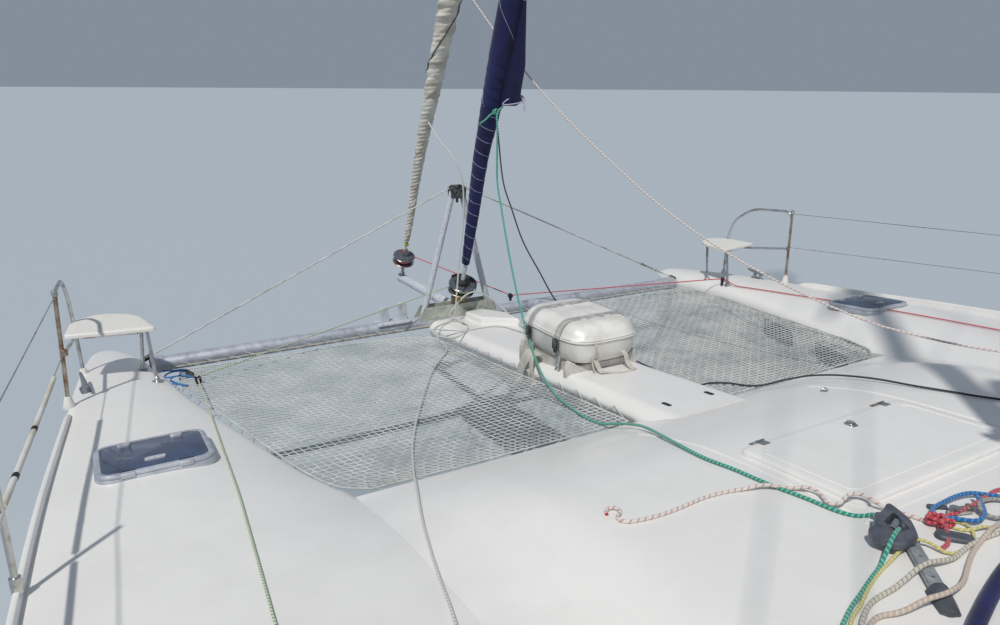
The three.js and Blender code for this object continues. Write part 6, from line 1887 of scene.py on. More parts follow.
# A navy canvas bolster lies along the foot of the coachroof, beside the tails.
bolster = laid([(0.94, 0.45), (0.91, 0.6), (0.872, 0.75), (0.84, 0.86), (0.8, 0.98), (0.72, 1.16)], 0.024)
bolster_r = 0.024 * np.sqrt(np.clip(1 - np.abs(np.linspace(-1, 1, len(bolster))) ** 14, 0.02, 1))
made = body_piece("navy_bolster", *tube(bolster, bolster_r, 24), navy, slot="navy_cloth", sharp=60)

# A blue lashing holds the port net's outer corner to the beam's end, with a small dark tackle on the net.
blue_lash = laid(
    [(5.66, 2.62), (5.6, 2.5), (5.52, 2.45), (5.58, 2.58), (5.5, 2.62), (5.44, 2.5), (5.38, 2.44), (5.46, 2.56),
     (5.38, 2.6), (5.28, 2.55), (5.22, 2.5), (5.26, 2.6)], 0.006,
    [(5.55, 2.52, 0.02, 0.08), (5.38, 2.53, 0.02, 0.08)]
)
blue_lash[:, 2] = np.maximum(blue_lash[:, 2], 1.405)
made = rope_mesh("net_corner_lashing", evenly(blue_lash, 0.01), 0.006, blue_braid)
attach(made, "boat")
tackle = [placed(box_body((-0.045, 0.045), (-0.014, 0.014), (-0.014, 0.014), 0.006), (5.46, 2.46, 1.425), 0.3),
          tube([(5.42, 2.45, 1.425), (5.28, 2.434, 1.435)], 0.006, 8)]
pieces("net_corner_tackle", tackle, dark_metal)

# Furling lines, taut: the gennaker's leads by a block on the crossbeam to the starboard deck and aft, the genoa's
# by a block on the port bow.
def taut(name, points, radius, finish):
    """A tight line through its leads, as a mesh tube with a braid."""
    made = rope_mesh(name, evenly(points, 0.05), radius, finish, 7)
    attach(made, "boat")
    return made


def deck_line(x_values, y_values, up):
    """A tight line just over the hull's deck."""
    x = np.linspace(x_values[0], x_values[-1], 60)
    y = np.interp(-x, -np.asarray(x_values), y_values)
    return np.c_[x, y, hull_deck(x, np.abs(y)) + up]


red_run = deck_line((5.22, 4.055, 2.657, 0.4, -1.9), (-2.68, -2.767, -2.829, -2.88, -2.88), 0.012)
red_run[:, 2] = np.maximum(red_run[:, 2], np.interp(red_run[:, 0], [4.2, 5.22], [0, block_z + 0.07]))
taut("gennaker_furling_line",
     np.vstack([[7.26, -0.075, 1.68], [6.05, -0.61, 1.463], [5.28, -2.66, block_z + 0.068], red_run]), 0.0055,
     red_line)
green_run = deck_line((4.3, 3.915, 3.067, 2.073, 0.4, -1.9), (2.487, 2.512, 2.566, 2.649, 2.74, 2.74), 0.008)
taut("genoa_furling_line",
     np.vstack([[5.99, 0.06, 1.665], [5.28, 2.43, 1.452], [5.24, 2.434, 1.452], [4.73, 2.462, 1.51], green_run]),
     0.005, green_line)


# Coachroof: a GRP moulding with raked walls and a low crown. One band of smoked acrylic is bonded round its front
# and sides, over openings in the wall, and a flat bulkhead with the doorway closes it aft.
PANES = [("x", (-1.5, -0.82)), ("x", (-2.33, -1.62)), ("y", (-1.6, -0.64)), ("y", (-0.48, 0.48)), ("y", (0.64, 1.6))]
PANE_Z = (2.17, 2.7)
roof = smooth(mesh_object("coachroof_skin", *roof_body(0, 0, ROOF["foot"]), gelcoat))
openings = [block(lim, (1.4, 2.6), PANE_Z) for axis, lim in PANES if axis == "x"]
openings += [block(lim, (-2.6, -1.4), PANE_Z) for axis, lim in PANES if axis == "x"]
openings += [block((-0.75, 1.0), lim, PANE_Z) for axis, lim in PANES if axis == "y"]
cut(roof, roof_body(-ROOF["wall"], ROOF["wall"], ROOF["foot"] - 0.1), *openings)
aft = roof_body(0, 0, ROOF["foot"])[0].reshape(-1, len(plan_ring(2.0, 0)), 3)
edge = np.vstack([aft[:, 0], aft[::-1, -1]])[:, 1:]
wall = profile_plate(edge, -2.56, -2.4995, 0.002)
bulkhead = mesh_object("saloon_bulkhead", *wall, gelcoat)
bulkhead.data.validate()
cut(bulkhead, block((-2.7, -2.3), (-0.45, 0.45), (1.0, 2.84)))
for made in (roof, bulkhead):
    smooth(made)
    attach(made, "boat")
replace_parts(roof, "coachroof")


def finer(ring):
    """A line with four times its points, in even shares of each step."""
    at = np.linspace(0, len(ring) - 1, (len(ring) - 1) * 4 + 1)
    return np.stack([np.interp(at, np.arange(len(ring)), ring[:, k]) for k in range(3)], -1)


outer = [finer(plan_ring(z, 0.013)) for z in (2.11, 2.76)]
inner_side = [finer(plan_ring(z, 0.001)) for z in (2.11, 2.76)]
keep = np.flatnonzero(outer[0][:, 0] > -2.4)
far = np.minimum(keep - keep[0], keep[-1] - keep)[:, None] / 12.0
shrink = 1 - 0.22 * (1 - np.sqrt(np.clip(1 - (1 - np.minimum(far, 1)) ** 2, 0, 1)))
s = np.linspace(0, 1, 9)[None]
share = 0.5 + (s - 0.5) * shrink
band_out = outer[0][keep][:, None] + share[..., None] * (outer[1] - outer[0])[keep][:, None]
band_in = inner_side[0][keep][:, None] + share[..., None] * (inner_side[1] - inner_side[0])[keep][:, None]
# The band's dark colour is partly the painted shade of the saloon behind it.
windows = body_piece("saloon_window_band", *loft(np.concatenate([band_out, band_in[:, ::-1]], 1)), smoked,
                     slot="acrylic")
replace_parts(windows, "saloon_windows")
seal_black = weathered("black_bonding_seal", "1A1B1D", "2B2D30", 0.7, 0.08)
for edge, end in ((band_out[:, 0], "foot"), (band_out[:, -1], "head")):
    pieces(f"saloon_window_seal_{end}", [tube(edge, 0.007, 8)], seal_black)
MULLIONS = [i for i, p in zip(keep, outer[0][keep]) if min(abs(abs(p[1]) - 0.56), abs(abs(p[1]) - 1.72)) < 0.09]
lines = [tube([outer[0][i] + 0.04 * (outer[1] - outer[0])[i],
               outer[1][i] - 0.04 * (outer[1] - outer[0])[i]], 0.004, 6)
         for i in (MULLIONS[0], MULLIONS[len(MULLIONS) // 2], MULLIONS[-1])]
pieces("saloon_window_joints", lines, seal_black)


def roof_z(x, y):
    """Height of the coachroof's top, by how far the point lies inside its shoulder."""
    front = np.interp(np.abs(y), PLAN[:, 0] * ROOF["inset"], PLAN[:, 2])
    s = np.clip(np.minimum(1 - np.abs(y) / 1.95, (front - x) / (front + 1.25 + 1e-6)), 0.02, 1)
    over = 0.095 * np.sqrt(1 - (1 - np.minimum(s, 0.05) / 0.05) ** 2)
    return ROOF["shoulder"] + over + np.interp(s, [0.05, 0.28, 0.6, 0.98], [0, 0.055, 0.08, 0.085])


# Handrails along the coachroof, two hatches let into it, and the doorway's sliding door in its aluminium track.
for sign, word in SIDES:
    x = np.array([-0.75, -1.45, -2.2])
    top = roof_z(x, np.full(3, 1.42))
    rail_line = [(x[0], 1.42 * sign, top[0] - 0.03), (x[0] - 0.03, 1.42 * sign, top[0] + 0.06),
                 (x[1], 1.42 * sign, top[1] + 0.062), (x[2] + 0.03, 1.42 * sign, top[2] + 0.06),
                 (x[2], 1.42 * sign, top[2] - 0.03)]
    feet = [turned([(0.026, -0.03), (0.026, 0.004), (0.014, 0.009)], (u, 1.42 * sign, v))
            for u, v in zip(x[[0, 2]], top[[0, 2]])]
    middle = tube([(x[1], 1.42 * sign, top[1] - 0.03), (x[1], 1.42 * sign, top[1] + 0.06)], 0.0125, 14)
    pieces(f"coachroof_handrail_{word}", [bar(rail_line, 0.0125, 14, 0.05), middle, *feet], steel)
for k, y in enumerate((0.75, -0.75)):
    set_roof = lambda shape, lift: (np.asarray(shape[0])
                                    + [-1.45, y, float(roof_z(-1.45, y)) + lift - 0.004], shape[1])
    pieces(
        f"coachroof_hatch_frame_{k}",
        [set_roof(framed(0.5, 0.5, 0.06,
                         [(0, -0.03), (0, 0.02), (0.01, 0.032), (0.035, 0.032), (0.045, 0.02), (0.045, -0.03)]), 0)],
        anodised
    )
    pane = loft(
        [at_height(rounded_oblong(0.43 - 2 * i, 0.43 - 2 * i, 0.04), z)
         for i, z in ((0, -0.01), (0, 0.026), (0.004, 0.029))]
    )
    pieces(f"coachroof_hatch_pane_{k}", [set_roof(pane, 0)], smoked)


def door_ring(inset, x):
    """The door's outline drawn in by an inset, at x."""
    line = rounded_oblong(0.95 - 2 * inset, 1.73 - 2 * inset, 0.05 - 0.4 * inset) + [0, 1.995]
    return np.c_[np.full(len(line), x), line]


frame_rings = [
    door_ring(i, x)
    for i, x in ((0, -2.592), (0, -2.57), (0.004, -2.566), (0.06, -2.566), (0.064, -2.57), (0.064, -2.592),
                 (0.06, -2.596), (0.004, -2.596))
]
door = body_piece("saloon_door_frame", *hoop(frame_rings), anodised, "saloon_door", "anodised")
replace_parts(door, "saloon_door")
body_piece("saloon_door_pane", *loft([door_ring(0.058, -2.576), door_ring(0.058, -2.588)]), smoked, "saloon_door",
           "acrylic")
pieces("saloon_door_handle",
       [bar([(-2.59, -0.41, 1.9), (-2.63, -0.41, 1.9), (-2.63, -0.41, 2.15), (-2.59, -0.41, 2.15)], 0.009, 12, 0.02)],
       steel, "saloon_door")
pieces("saloon_door_track", [block((-2.612, -2.558), (-0.55, 1.42), (2.866, 2.89)),
                             block((-2.612, -2.604), (-0.55, 1.42), (2.85, 2.89)),
                             block((-2.612, -2.604), (-0.55, 1.42), (1.1, 1.128))], anodised)

# Saloon: an L-shaped settee with vinyl cushions round an oiled teak table, and a galley with a worktop, sink and
# hob. Teak furniture stands on a teak-and-holly sole.
wood, tree, shader = painted("oiled_teak", "8A5B34", 0.45)
# Rift-sawn: long grain 8 mm apart along the boat, over slower changes of colour.
place = add(tree, "TexCoord").outputs["Object"]
stretch = add(tree, "Mapping", {"Vector": place, "Scale": (1.5, 60.0, 60.0)})
figure = add(tree, "TexNoise", {"Vector": stretch.outputs["Vector"], "Scale": 2.0, "Detail": 7.0, "Roughness": 0.6})
tone = add(tree, "ValToRGB", {"Fac": figure.outputs["Fac"]})
tone.color_ramp.elements[0].position = 0.3
tone.color_ramp.elements[0].color = linear("6E4526")
tone.color_ramp.elements[1].position = 0.7
tone.color_ramp.elements[1].color = linear("A9753F")
tree.links.new(tone.outputs["Color"], shader.inputs["Base Color"])
relief = add(tree, "Bump", {"Height": figure.outputs["Fac"], "Strength": 0.25, "Distance": 0.001})
tree.links.new(relief.outputs["Normal"], shader.inputs["Normal"])

vinyl = weathered("cream_marine_vinyl", "B9B2A0", "D3CDBD", 0.5, 0.012, 0.3, 0.7, 0.0006, Sheen_Weight=0.15)


def cushion(x, y, z, crown=0.03, pull=0.012, power=6, n=22):
    """A stuffed cushion between pairs of limits: a box whose faces bow out by a crown, whose edges are rounded as a
    superellipse and whose sides pull in between the corners."""
    low, high = np.array([x[0], y[0], z[0]], float), np.array([x[1], y[1], z[1]], float)
    middle, half = (low + high) / 2, (high - low) / 2
    t = np.linspace(0, np.pi, n)
    a = 2 * np.pi * np.arange(4 * n) / (4 * n)
    c, s = np.cos(a), np.sin(a)
    flat = np.stack([np.sign(c) * np.abs(c) ** (2 / power), np.sign(s) * np.abs(s) ** (2 / power)], -1)
    width = np.maximum(np.sin(t) ** (2 / power), 0.02)[:, None, None]
    rise = (-np.sign(np.cos(t)) * np.abs(np.cos(t)) ** (2 / power))[:, None]
    grid = flat * width
    u, v = grid[..., 0], grid[..., 1]
    bow = 1 - pull / half[:2].min() * (1 - (flat[:, 0] * flat[:, 1]) ** 2)[None] * np.sin(t)[:, None]
    thick = half[2] * rise * (1 - crown * (1 - (1 - u**2) * (1 - v**2)) / half[2] * (rise > 0))
    return loft(np.stack([middle[0] + half[0] * u * bow, middle[1] + half[1] * v * bow, middle[2] + thick], -1))


def piping(x, y, z):
    """The welt round a cushion's edge at one height."""
    line = np.array([(x[0] + x[1]) / 2, (y[0] + y[1]) / 2]) + super_ring(
        (x[1] - x[0]) / 2 - 0.006, (y[1] - y[0]) / 2 - 0.006, 6, 60
    )
    ring = np.vstack([line, line[:1]])
    return tube(at_height(ring, z), 0.004, 6)


def cushions(name, boxes, stands_for=()):
    """A row of cushions with their welts, one piece each."""
    for k, (x, y, z) in enumerate(boxes):
        made = body_piece(f"{name}_{k}", *cushion(x, y, z), vinyl, sharp=60)
        if k == 0 and stands_for:
            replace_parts(made, *stands_for)
        pieces(f"{name}_welt_{k}", [piping(x, y, z[0] + 0.72 * (z[1] - z[0]))], thread)


pieces(
    "settee_base",
    [box_body((-1.95, -0.2), (1.25, 1.985), (1.101, 1.43), 0.01),
     box_body((-0.8, -0.2), (0.3, 1.25), (1.101, 1.43), 0.01),
     box_body((-1.95, -0.85), (1.95, 1.99), (1.43, 1.76), 0.008)], wood
)
cushions("settee_cushion", [((-1.94, -1.42), (1.27, 1.9), (1.43, 1.54)), ((-1.41, -0.83), (1.27, 1.9), (1.43, 1.54)),
                            ((-0.8, -0.22), (1.12, 1.9), (1.43, 1.54)), ((-0.8, -0.22), (0.32, 1.1), (1.43, 1.54))],
         stands_for=("saloon_settee",))
cushions("settee_back_cushion",
         [((-1.94, -1.42), (1.86, 1.955), (1.55, 1.79)), ((-1.41, -0.87), (1.86, 1.955), (1.55, 1.79))])
pieces(
    "saloon_table",
    [box_body((-1.75, -0.95), (0.35, 1.12), (1.72, 1.75), 0.012),
     turned([(0.14, 1.101), (0.14, 1.12), (0.045, 1.15), (0.045, 1.68), (0.12, 1.72)], (-1.35, 0.73, 0), 2, 28)],
    wood
)
pieces("galley_cabinet", [box_body((-2.3, -1.0), (-1.98, -1.42), (1.101, 1.96), 0.008)], wood)
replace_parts(pieces("galley_worktop", [box_body((-2.3, -1.0), (-1.98, -1.38), (1.962, 2.01), 0.01)], gelcoat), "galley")
fronts = [box_body((u + 0.02, u + 0.41), (-1.42, -1.405), (v, w), 0.004) for u in (-2.29, -1.86, -1.43)
          for v, w in ((1.18, 1.66), (1.69, 1.93))]
pieces("galley_fronts", fronts, wood)
pieces(
    "galley_fittings",
    [tube([(u + 0.15, -1.385, w), (u + 0.28, -1.385, w)], 0.006, 8) for u in (-2.29, -1.86, -1.43)
     for w in (1.62, 1.89)]
    + [bar([(-1.25, -1.88, 2.01), (-1.25, -1.88, 2.2), (-1.25, -1.72, 2.2), (-1.25, -1.7, 2.15)], 0.011, 12, 0.05),
       turned([(0.15, 2.0), (0.15, 2.012), (0.135, 2.013), (0.12, 1.98)], (-1.25, -1.68, 0))], steel
)
pieces(
    "galley_hob",
    [box_body((-2.15, -1.65), (-1.9, -1.5), (2.009, 2.018), 0.004)]
    + [turned([(0.03, 2.015), (0.055, 2.017), (0.055, 2.022), (0.02, 2.024)], (u, v, 0)) for u in (-2.03, -1.77)
       for v in (-1.8, -1.6)], black
)
pieces("saloon_sole",
       [box_body((-2.49, 0.4), (-1.6, 1.9), (1.1005, 1.104), 0.001),
        box_body((-4.95, -2.62), (-1.9, 1.9), (1.1005, 1.104), 0.001)], wood)

# Cockpit: an L-shaped bench and a helm seat, moulded in GRP under vinyl cushions, a pedestal with instruments,
# and a stainless wheel with its rim in stitched leather.
pieces(
    "bench_moulding",
    [box_body((-5.08, -2.9), (1.35, 2.04), (1.101, 1.43), 0.02),
     box_body((-5.08, -4.48), (-1.35, 1.4), (1.101, 1.43), 0.02),
     box_body((-5.08, -4.97), (-1.35, 2.04), (1.43, 1.87), 0.015)], gelcoat
)
cushions("bench_cushion", [((-4.46, -3.7), (1.37, 2.02), (1.43, 1.54)), ((-3.68, -2.92), (1.37, 2.02), (1.43, 1.54)),
                           ((-4.96, -4.5), (1.0, 2.02), (1.43, 1.54)), ((-4.96, -4.5), (-0.16, 0.98), (1.43, 1.54)),
                           ((-4.96, -4.5), (-1.33, -0.18), (1.43, 1.54))], stands_for=("cockpit_bench",))
cushions(
    "bench_back_cushion",
    [((-4.97, -4.88), (1.0, 2.0), (1.55, 1.89)), ((-4.97, -4.88), (-0.16, 0.98), (1.55, 1.89)),
     ((-4.97, -4.88), (-1.33, -0.18), (1.55, 1.89))]
)
pieces("helm_seat_moulding", [box_body((-3.95, -3.56), (-1.9, -1.1), (1.101, 1.84), 0.03)], gelcoat)
cushions("helm_seat_cushion",
         [((-3.94, -3.57), (-1.89, -1.51), (1.84, 1.95)), ((-3.94, -3.57), (-1.49, -1.11), (1.84, 1.95))],
         stands_for=("helm_seat",))
x, z = np.array([(-2.88, 1.101), (-2.88, 1.9), (-2.86, 2.18), (-2.72, 2.25), (-2.57, 2.25), (-2.565, 1.101)]).T
side = rounded(np.c_[x, z], 0.03, 5)
console = [np.c_[side[:, 0], np.full(len(side), y), side[:, 1]] for y in (-1.85, -1.845, -1.155, -1.15)]
tight = [0.985, 1, 1, 0.985]
console = [(ring - ring.mean(0)) * [k, 1, k] + ring.mean(0) for ring, k in zip(console, tight)]
made = pieces("helm_console_moulding", [loft(console)], gelcoat)
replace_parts(made, "helm_console")
pieces("helm_console_boss", [turned([(0.09, -2.87), (0.075, -2.885), (0.045, -2.9), (0.03, -2.94), (0.016, -2.975)],
                                    (0, -1.5, 2.06), 0, 28)], black)
screens = [placed(box_body((-0.045, 0.045), (y - w / 2, y + w / 2), (0, 0.014), 0.008), (-2.79, -1.5, 2.205), 0)
           for y, w in ((0.0, 0.3), (0.24, 0.11), (-0.24, 0.11))]
lean = [(np.asarray(p) + np.c_[0 * p[:, :2], 0.45 * (p[:, 0] + 2.79)], f) for p, f in screens]
pieces("helm_instruments", lean, smoked)
pieces(
    "engine_levers",
    [tube([(-2.75, -1.28 - 0.06 * k, 2.24), (-2.78, -1.28 - 0.06 * k, 2.36)], 0.008, 10) for k in (0, 1)]
    + [turned([(0.004, -0.02), (0.018, -0.012), (0.018, 0.012), (0.004, 0.02)], (-2.78, -1.28 - 0.06 * k, 2.37))
       for k in (0, 1)], steel
)

WHEEL = {"place": np.array([-3.01, -1.5, 2.06]), "radius": 0.35, "tube": 0.014}
a = np.linspace(0, 2 * np.pi, 73)
rim_line = WHEEL["place"] + np.c_[0 * a, WHEEL["radius"] * np.cos(a), WHEEL["radius"] * np.sin(a)]
leather = weathered("stitched_black_leather", "1E1D1C", "34312E", 0.55, 0.006, 0.3, 0.7, 0.0008)
made = pieces("helm_wheel_rim", [tube(rim_line, WHEEL["tube"], 16)], leather, "helm_wheel")
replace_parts(made, "helm_wheel")
spokes = []
for k in range(5):
    b = 2 * np.pi * k / 5 + 0.3
    out = np.array([0, np.cos(b), np.sin(b)])
    spokes.append(tube([WHEEL["place"] + [0.03, 0, 0] + 0.03 * out, WHEEL["place"] + [0.022, 0, 0] + 0.18 * out,
                        WHEEL["place"] + 0.345 * out], [0.011, 0.009, 0.008], 12))
spokes.append(turned([(0.05, 0.015), (0.055, 0.03), (0.05, 0.045), (0.02, 0.05), (0.02, 0.0), (0.035, 0.0)],
                     WHEEL["place"], 0, 28))
pieces("helm_wheel_spokes", spokes, steel, "helm_wheel")
stitch = [tube([rim_line[i] + [-0.0145, 0, 0], rim_line[i + 1] + [-0.0145, 0, 0]], 0.0012, 4) for i in range(0, 72, 2)]
pieces("helm_wheel_stitching", stitch, thread, "helm_wheel")

# Hardtop: a cambered GRP roof over the cockpit, on two aluminium posts aft and brackets from the bulkhead.
top_x, top_y = np.linspace(-5.05, -2.58, 30), np.linspace(-2.18, 2.18, 41)


def hardtop_z(x, y):
    """Its upper side: a parabola across, turned down in a quarter round at its edges."""
    reach = np.minimum(np.minimum(x + 5.05, -2.58 - x), 2.18 - np.abs(y))
    return 3.045 + 0.09 * (1 - (y / 2.18) ** 2) - 0.03 * (1 - np.clip(reach / 0.05, 0, 1)) ** 2


made = body_piece(
    "hardtop_skin",
    *slab(
        np.r_[-5.05, -5.035, -5.01, top_x[1:-1], -2.6, -2.58],
        np.r_[-2.18, -2.165, -2.14, top_y[1:-1], 2.14, 2.165, 2.18], hardtop_z,
        lambda x, y: hardtop_z(x, y) - 0.06
        + 0.03 * (1 - np.clip(np.minimum(np.minimum(x + 5.05, -2.58 - x), 2.18 - np.abs(y)) / 0.05, 0, 1)) ** 2
    ), gelcoat, slot="gelcoat"
)
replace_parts(made, "hardtop")
posts = [tube([(-4.7, s * 2.12, hull_deck(-4.7, 2.12).item() - 0.01), (-4.7, s * 2.12, 3.0)], 0.038, 24)
         for s in (1, -1)]
posts += [turned([(0.07, -0.01), (0.07, 0.008), (0.045, 0.014)], (-4.7, s * 2.12, hull_deck(-4.7, 2.12).item()), 2,
                 28) for s in (1, -1)]
posts += [box_body((-2.64, -2.56), (s * 2.1 - 0.03, s * 2.1 + 0.03), (2.86, 3.0), 0.01) for s in (1, -1)]
pieces("hardtop_posts", posts, anodised)
lamp_white = weathered("frosted_lamp_glass", "D8D6CC", "EFEDE6", 0.3, 0.02)
pieces(
    "hardtop_downlights",
    [turned([(0.045, -0.004), (0.05, 0.0), (0.05, 0.008), (0.03, 0.008)],
            (x, y, float(hardtop_z(np.array(x), np.array(y))) - 0.066)) for x in (-3.2, -4.4) for y in (-1.0, 1.0)],
    lamp_white
)
gutter = [tube([(x, s * 2.1, float(hardtop_z(np.array(x), np.array(2.1))) + 0.002)
                for x in np.linspace(-4.95, -2.7, 12)], 0.008, 8) for s in (1, -1)]
pieces("hardtop_gutters", gutter, gelcoat)

# Engine hatches: moulded lids with a fine non-skid, over each engine's bay, on two hinges at their forward edge.
nonskid = weathered("moulded_nonskid_gelcoat", "D2D0CC", "E6E4E0", 0.6, 0.006, 0.4, 0.6, 0.0014)
LID = {"x": -4.45, "y": 2.815, "long": 1.07, "wide": 0.74, "base": BAY["top"] + 0.0005, "thick": 0.034}
for sign, word in SIDES:
    middle = np.array([LID["x"], LID["y"] * sign])
    body = f"engine_hatch_{word}"
    level = lambda x, y: np.full(np.shape(x), LID["base"])
    made = body_piece(f"{body}_lid",
                      *plate(middle + rounded_oblong(LID["long"], LID["wide"], 0.05), level, LID["thick"], 0.012),
                      gelcoat, body, "gelcoat")
    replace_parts(made, body)
    tread = plate(middle + rounded_oblong(LID["long"] - 0.11, LID["wide"] - 0.11, 0.04),
                  lambda x, y: level(x, y) + LID["thick"] - 0.002, 0.004, 0.002)
    pieces(f"{body}_nonskid", [tread], nonskid, body)
    ring = [
        turned([(0.034, -0.002), (0.034, 0.003), (0.03, 0.004), (0.028, 0.001)],
               (LID["x"] - 0.44, LID["y"] * sign, LID["base"] + LID["thick"])),
        bar(
            [(LID["x"] - 0.455, LID["y"] * sign - 0.018, LID["base"] + LID["thick"] + 0.005),
             (LID["x"] - 0.425, LID["y"] * sign - 0.018, LID["base"] + LID["thick"] + 0.005),
             (LID["x"] - 0.425, LID["y"] * sign + 0.018, LID["base"] + LID["thick"] + 0.005),
             (LID["x"] - 0.455, LID["y"] * sign + 0.018, LID["base"] + LID["thick"] + 0.005)], 0.0028, 8, 0.006
        )
    ]
    pieces(f"{body}_ring", ring, steel, body)
    leaves = [plate(middle + np.array([LID["long"] / 2 - 0.03, v]) + rounded_oblong(0.05, 0.06, 0.008),
                    lambda x, y: level(x, y) + LID["thick"], 0.003, 0.001) for v in (-0.26, 0.26)]
    pieces(f"{body}_hinges", leaves, steel, body)

# Hull windows: one long pane of smoked acrylic bonded outside each hull and two portlights on its inner face.
skin = BVHTree.FromObject(hull_port, bpy.context.evaluated_depsgraph_get())


def side_y(x, z, start, toward):
    """Where a line across the boat first meets the port hull."""
    found = [skin.ray_cast(Vector((u, start, w)), Vector((0, toward, 0)))[0] for u, w in zip(np.ravel(x), np.ravel(z))]
    return np.array([p.y if p else np.nan for p in found]).reshape(np.shape(x))


def side_pane(outline, start, toward, proud, edge=0.012):
    """A pane bonded to the hull's side, from its outline in x, z: drawn in to its middle, over a rounded rim."""
    outline = np.asarray(outline, float)
    middle = (outline.max(0) + outline.min(0)) / 2
    reach = (outline.max(0) - outline.min(0)).min() / 2
    shares = np.r_[0.03, 0.35, 0.7, 1, 1 - 0.3 * edge / reach, 1 - edge / reach, 0.7, 0.35, 0.03]
    lifts = np.r_[-0.004, -0.004, -0.004, 0, 0.7 * proud, proud, proud, proud, proud]
    flat = middle + shares[:, None, None] * (outline - middle)
    y = side_y(flat[..., 0], flat[..., 1], start, toward) - toward * lifts[:, None]
    return loft(np.dstack([flat[..., 0], y, flat[..., 1]]))


def slanted(x, z, long, high, slant=0.08, radius=0.07):
    """A window's outline with rounded corners and raked ends."""
    line = rounded_oblong(long, high, radius)
    return np.c_[x + line[:, 0] + slant * line[:, 1] / high, z + line[:, 1]]


# The panes' dark colour is partly the painted shade of the hull's inside behind them.
panes = [side_pane(slanted(u, 1.16, w, 0.22), 4.5, -1, 0.006) for u, w in ((0.25, 1.5), (-1.75, 1.9))]
panes += [side_pane(slanted(u, 1.3, 0.42, 0.18, 0, 0.06), 1.0, 1, 0.006) for u in (3.6, 4.3)]
twinned(pieces("hull_windows_port", panes, smoked), "hull_windows")


# Below the water: GRP keels and rudders in antifouling, with stainless stocks, and two saildrives with folding
# bronze propellers. The keels' and rudders' bodies are the CAD's own, which are already faired.
antifouling = mottled("navy_antifouling_paint", "20304A", 0.75, (3.0, 8.0, 0.7), (0.38, "1B2940"), (0.7, "384B66"),
                      (0.3, 0.001), ("TexNoise", {"Scale": 220.0, "Detail": 3.0}, {}))
# Ablative paint, rolled on: matt, with the roller's stipple and paler where it has worn at the edges.

bronze = weathered("polished_bronze_fouled_at_the_roots", "6B5A35", "A98B4C", 0.38, 0.05, 0.35, 0.65, 0.0006,
                   Metallic=0.9)
engine_paint = weathered("green_grey_engine_enamel", "4E5B56", "66756F", 0.4, 0.1, 0.3, 0.7, 0.0004, Coat_Weight=0.2)


def keep_cad(node, finish):
    """A carried-over CAD node shown as it is, in a finish of its own on each of its material slots."""
    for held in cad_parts[node].material_slots:
        held.material = finish


for word in ("port", "starboard"):
    for name in ("keel", "rudder", "saildrive"):
        keep_cad(f"{name}_{word}", antifouling)
    keep_cad(f"propeller_{word}", bronze)
    keep_cad(f"engine_{word}", engine_paint)

# Mast: an oval extrusion with a luff groove, in a cast step, with one pair of swept spreaders, halyard exits,
# two winches and the blocks that turn its halyards aft along the deck.
MAST = {"x": 0.9, "head": 17.4, "long": 0.2, "wide": 0.13, "groove": 0.012}
mast_foot = fore_top(MAST["x"], 0.0).item()
a = np.linspace(-np.pi + 0.09, np.pi - 0.09, 60)
ring = np.c_[MAST["x"] + MAST["long"] / 2 * np.cos(a), MAST["wide"] / 2 * np.sin(a)]
aft_x = MAST["x"] - MAST["long"] / 2
ring = np.vstack([ring,
                  [(aft_x + 0.004, 0.003), (aft_x + 0.016, 0.006), (aft_x + 0.016, -0.006), (aft_x + 0.004, -0.003)]])
mast = [at_height(ring, z) for z in (mast_foot + 0.03, mast_foot + 4, 10.0, MAST["head"])]
made = body_piece("mast_section", *loft(mast), anodised, slot="anodised")
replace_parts(made, "mast")
step = [at_height(np.array([MAST["x"], 0]) + rounded_oblong(0.3 - 2 * i, 0.22 - 2 * i, 0.05), mast_foot + z)
        for i, z in ((0, -0.02), (0, 0.012), (0.004, 0.016), (0.03, 0.02), (0.036, 0.055), (0.04, 0.06))]
bolts = [turned([(0.009, 0.0), (0.009, 0.008), (0.005, 0.01)], (MAST["x"] + u, v, mast_foot + 0.014))
         for u in (-0.125, 0.125) for v in (-0.085, 0.085)]
pieces("mast_step", [loft(step), *bolts], dark_metal)
SPREADER = {"z": 8.6, "tip": (0.33, 1.18), "low": 4.95, "high": 13.9}
spreader_parts = []
for sign in (1, -1):
    rows = []
    for x, y, long, thick in ((MAST["x"], 0.04, 0.15, 0.034), (0.62, 0.6, 0.125, 0.03),
                              (*SPREADER["tip"], 0.09, 0.024)):
        a = 2 * np.pi * np.arange(20) / 20
        rows.append(np.c_[x + long / 2 * np.cos(a), np.full(20, y * sign), SPREADER["z"] + thick / 2 * np.sin(a)])
    spreader_parts.append(loft(rows))
    spreader_parts.append(box_body((0.33 - 0.03, 0.33 + 0.03), sorted((1.165 * sign, 1.19 * sign)), (8.57, 8.63),
                                   0.006))
    spreader_parts.append(box_body((MAST["x"] - 0.09, MAST["x"] + 0.09), sorted((0.03 * sign, 0.085 * sign)),
                                   (8.565, 8.635), 0.01))
pieces("mast_spreaders", spreader_parts, anodised)
head = [box_body((MAST["x"] - 0.14, MAST["x"] + 0.14), (-0.04, 0.04), (MAST["head"] - 0.004, MAST["head"] + 0.03),
                 0.008)]
head += [
    turned([(0.03, -0.012), (0.035, -0.008), (0.03, 0.0), (0.035, 0.008), (0.03, 0.012)],
           (MAST["x"] + u, 0, MAST["head"] - 0.005), 1) for u in (-0.12, 0.12)
]
head += [box_body((0.86, 1.06), (-0.03, 0.03), (z - 0.03, z + 0.03), 0.01) for z in (14.3, 14.8)]
pieces("mast_head_and_tangs", head, dark_metal)
mast_winches = []
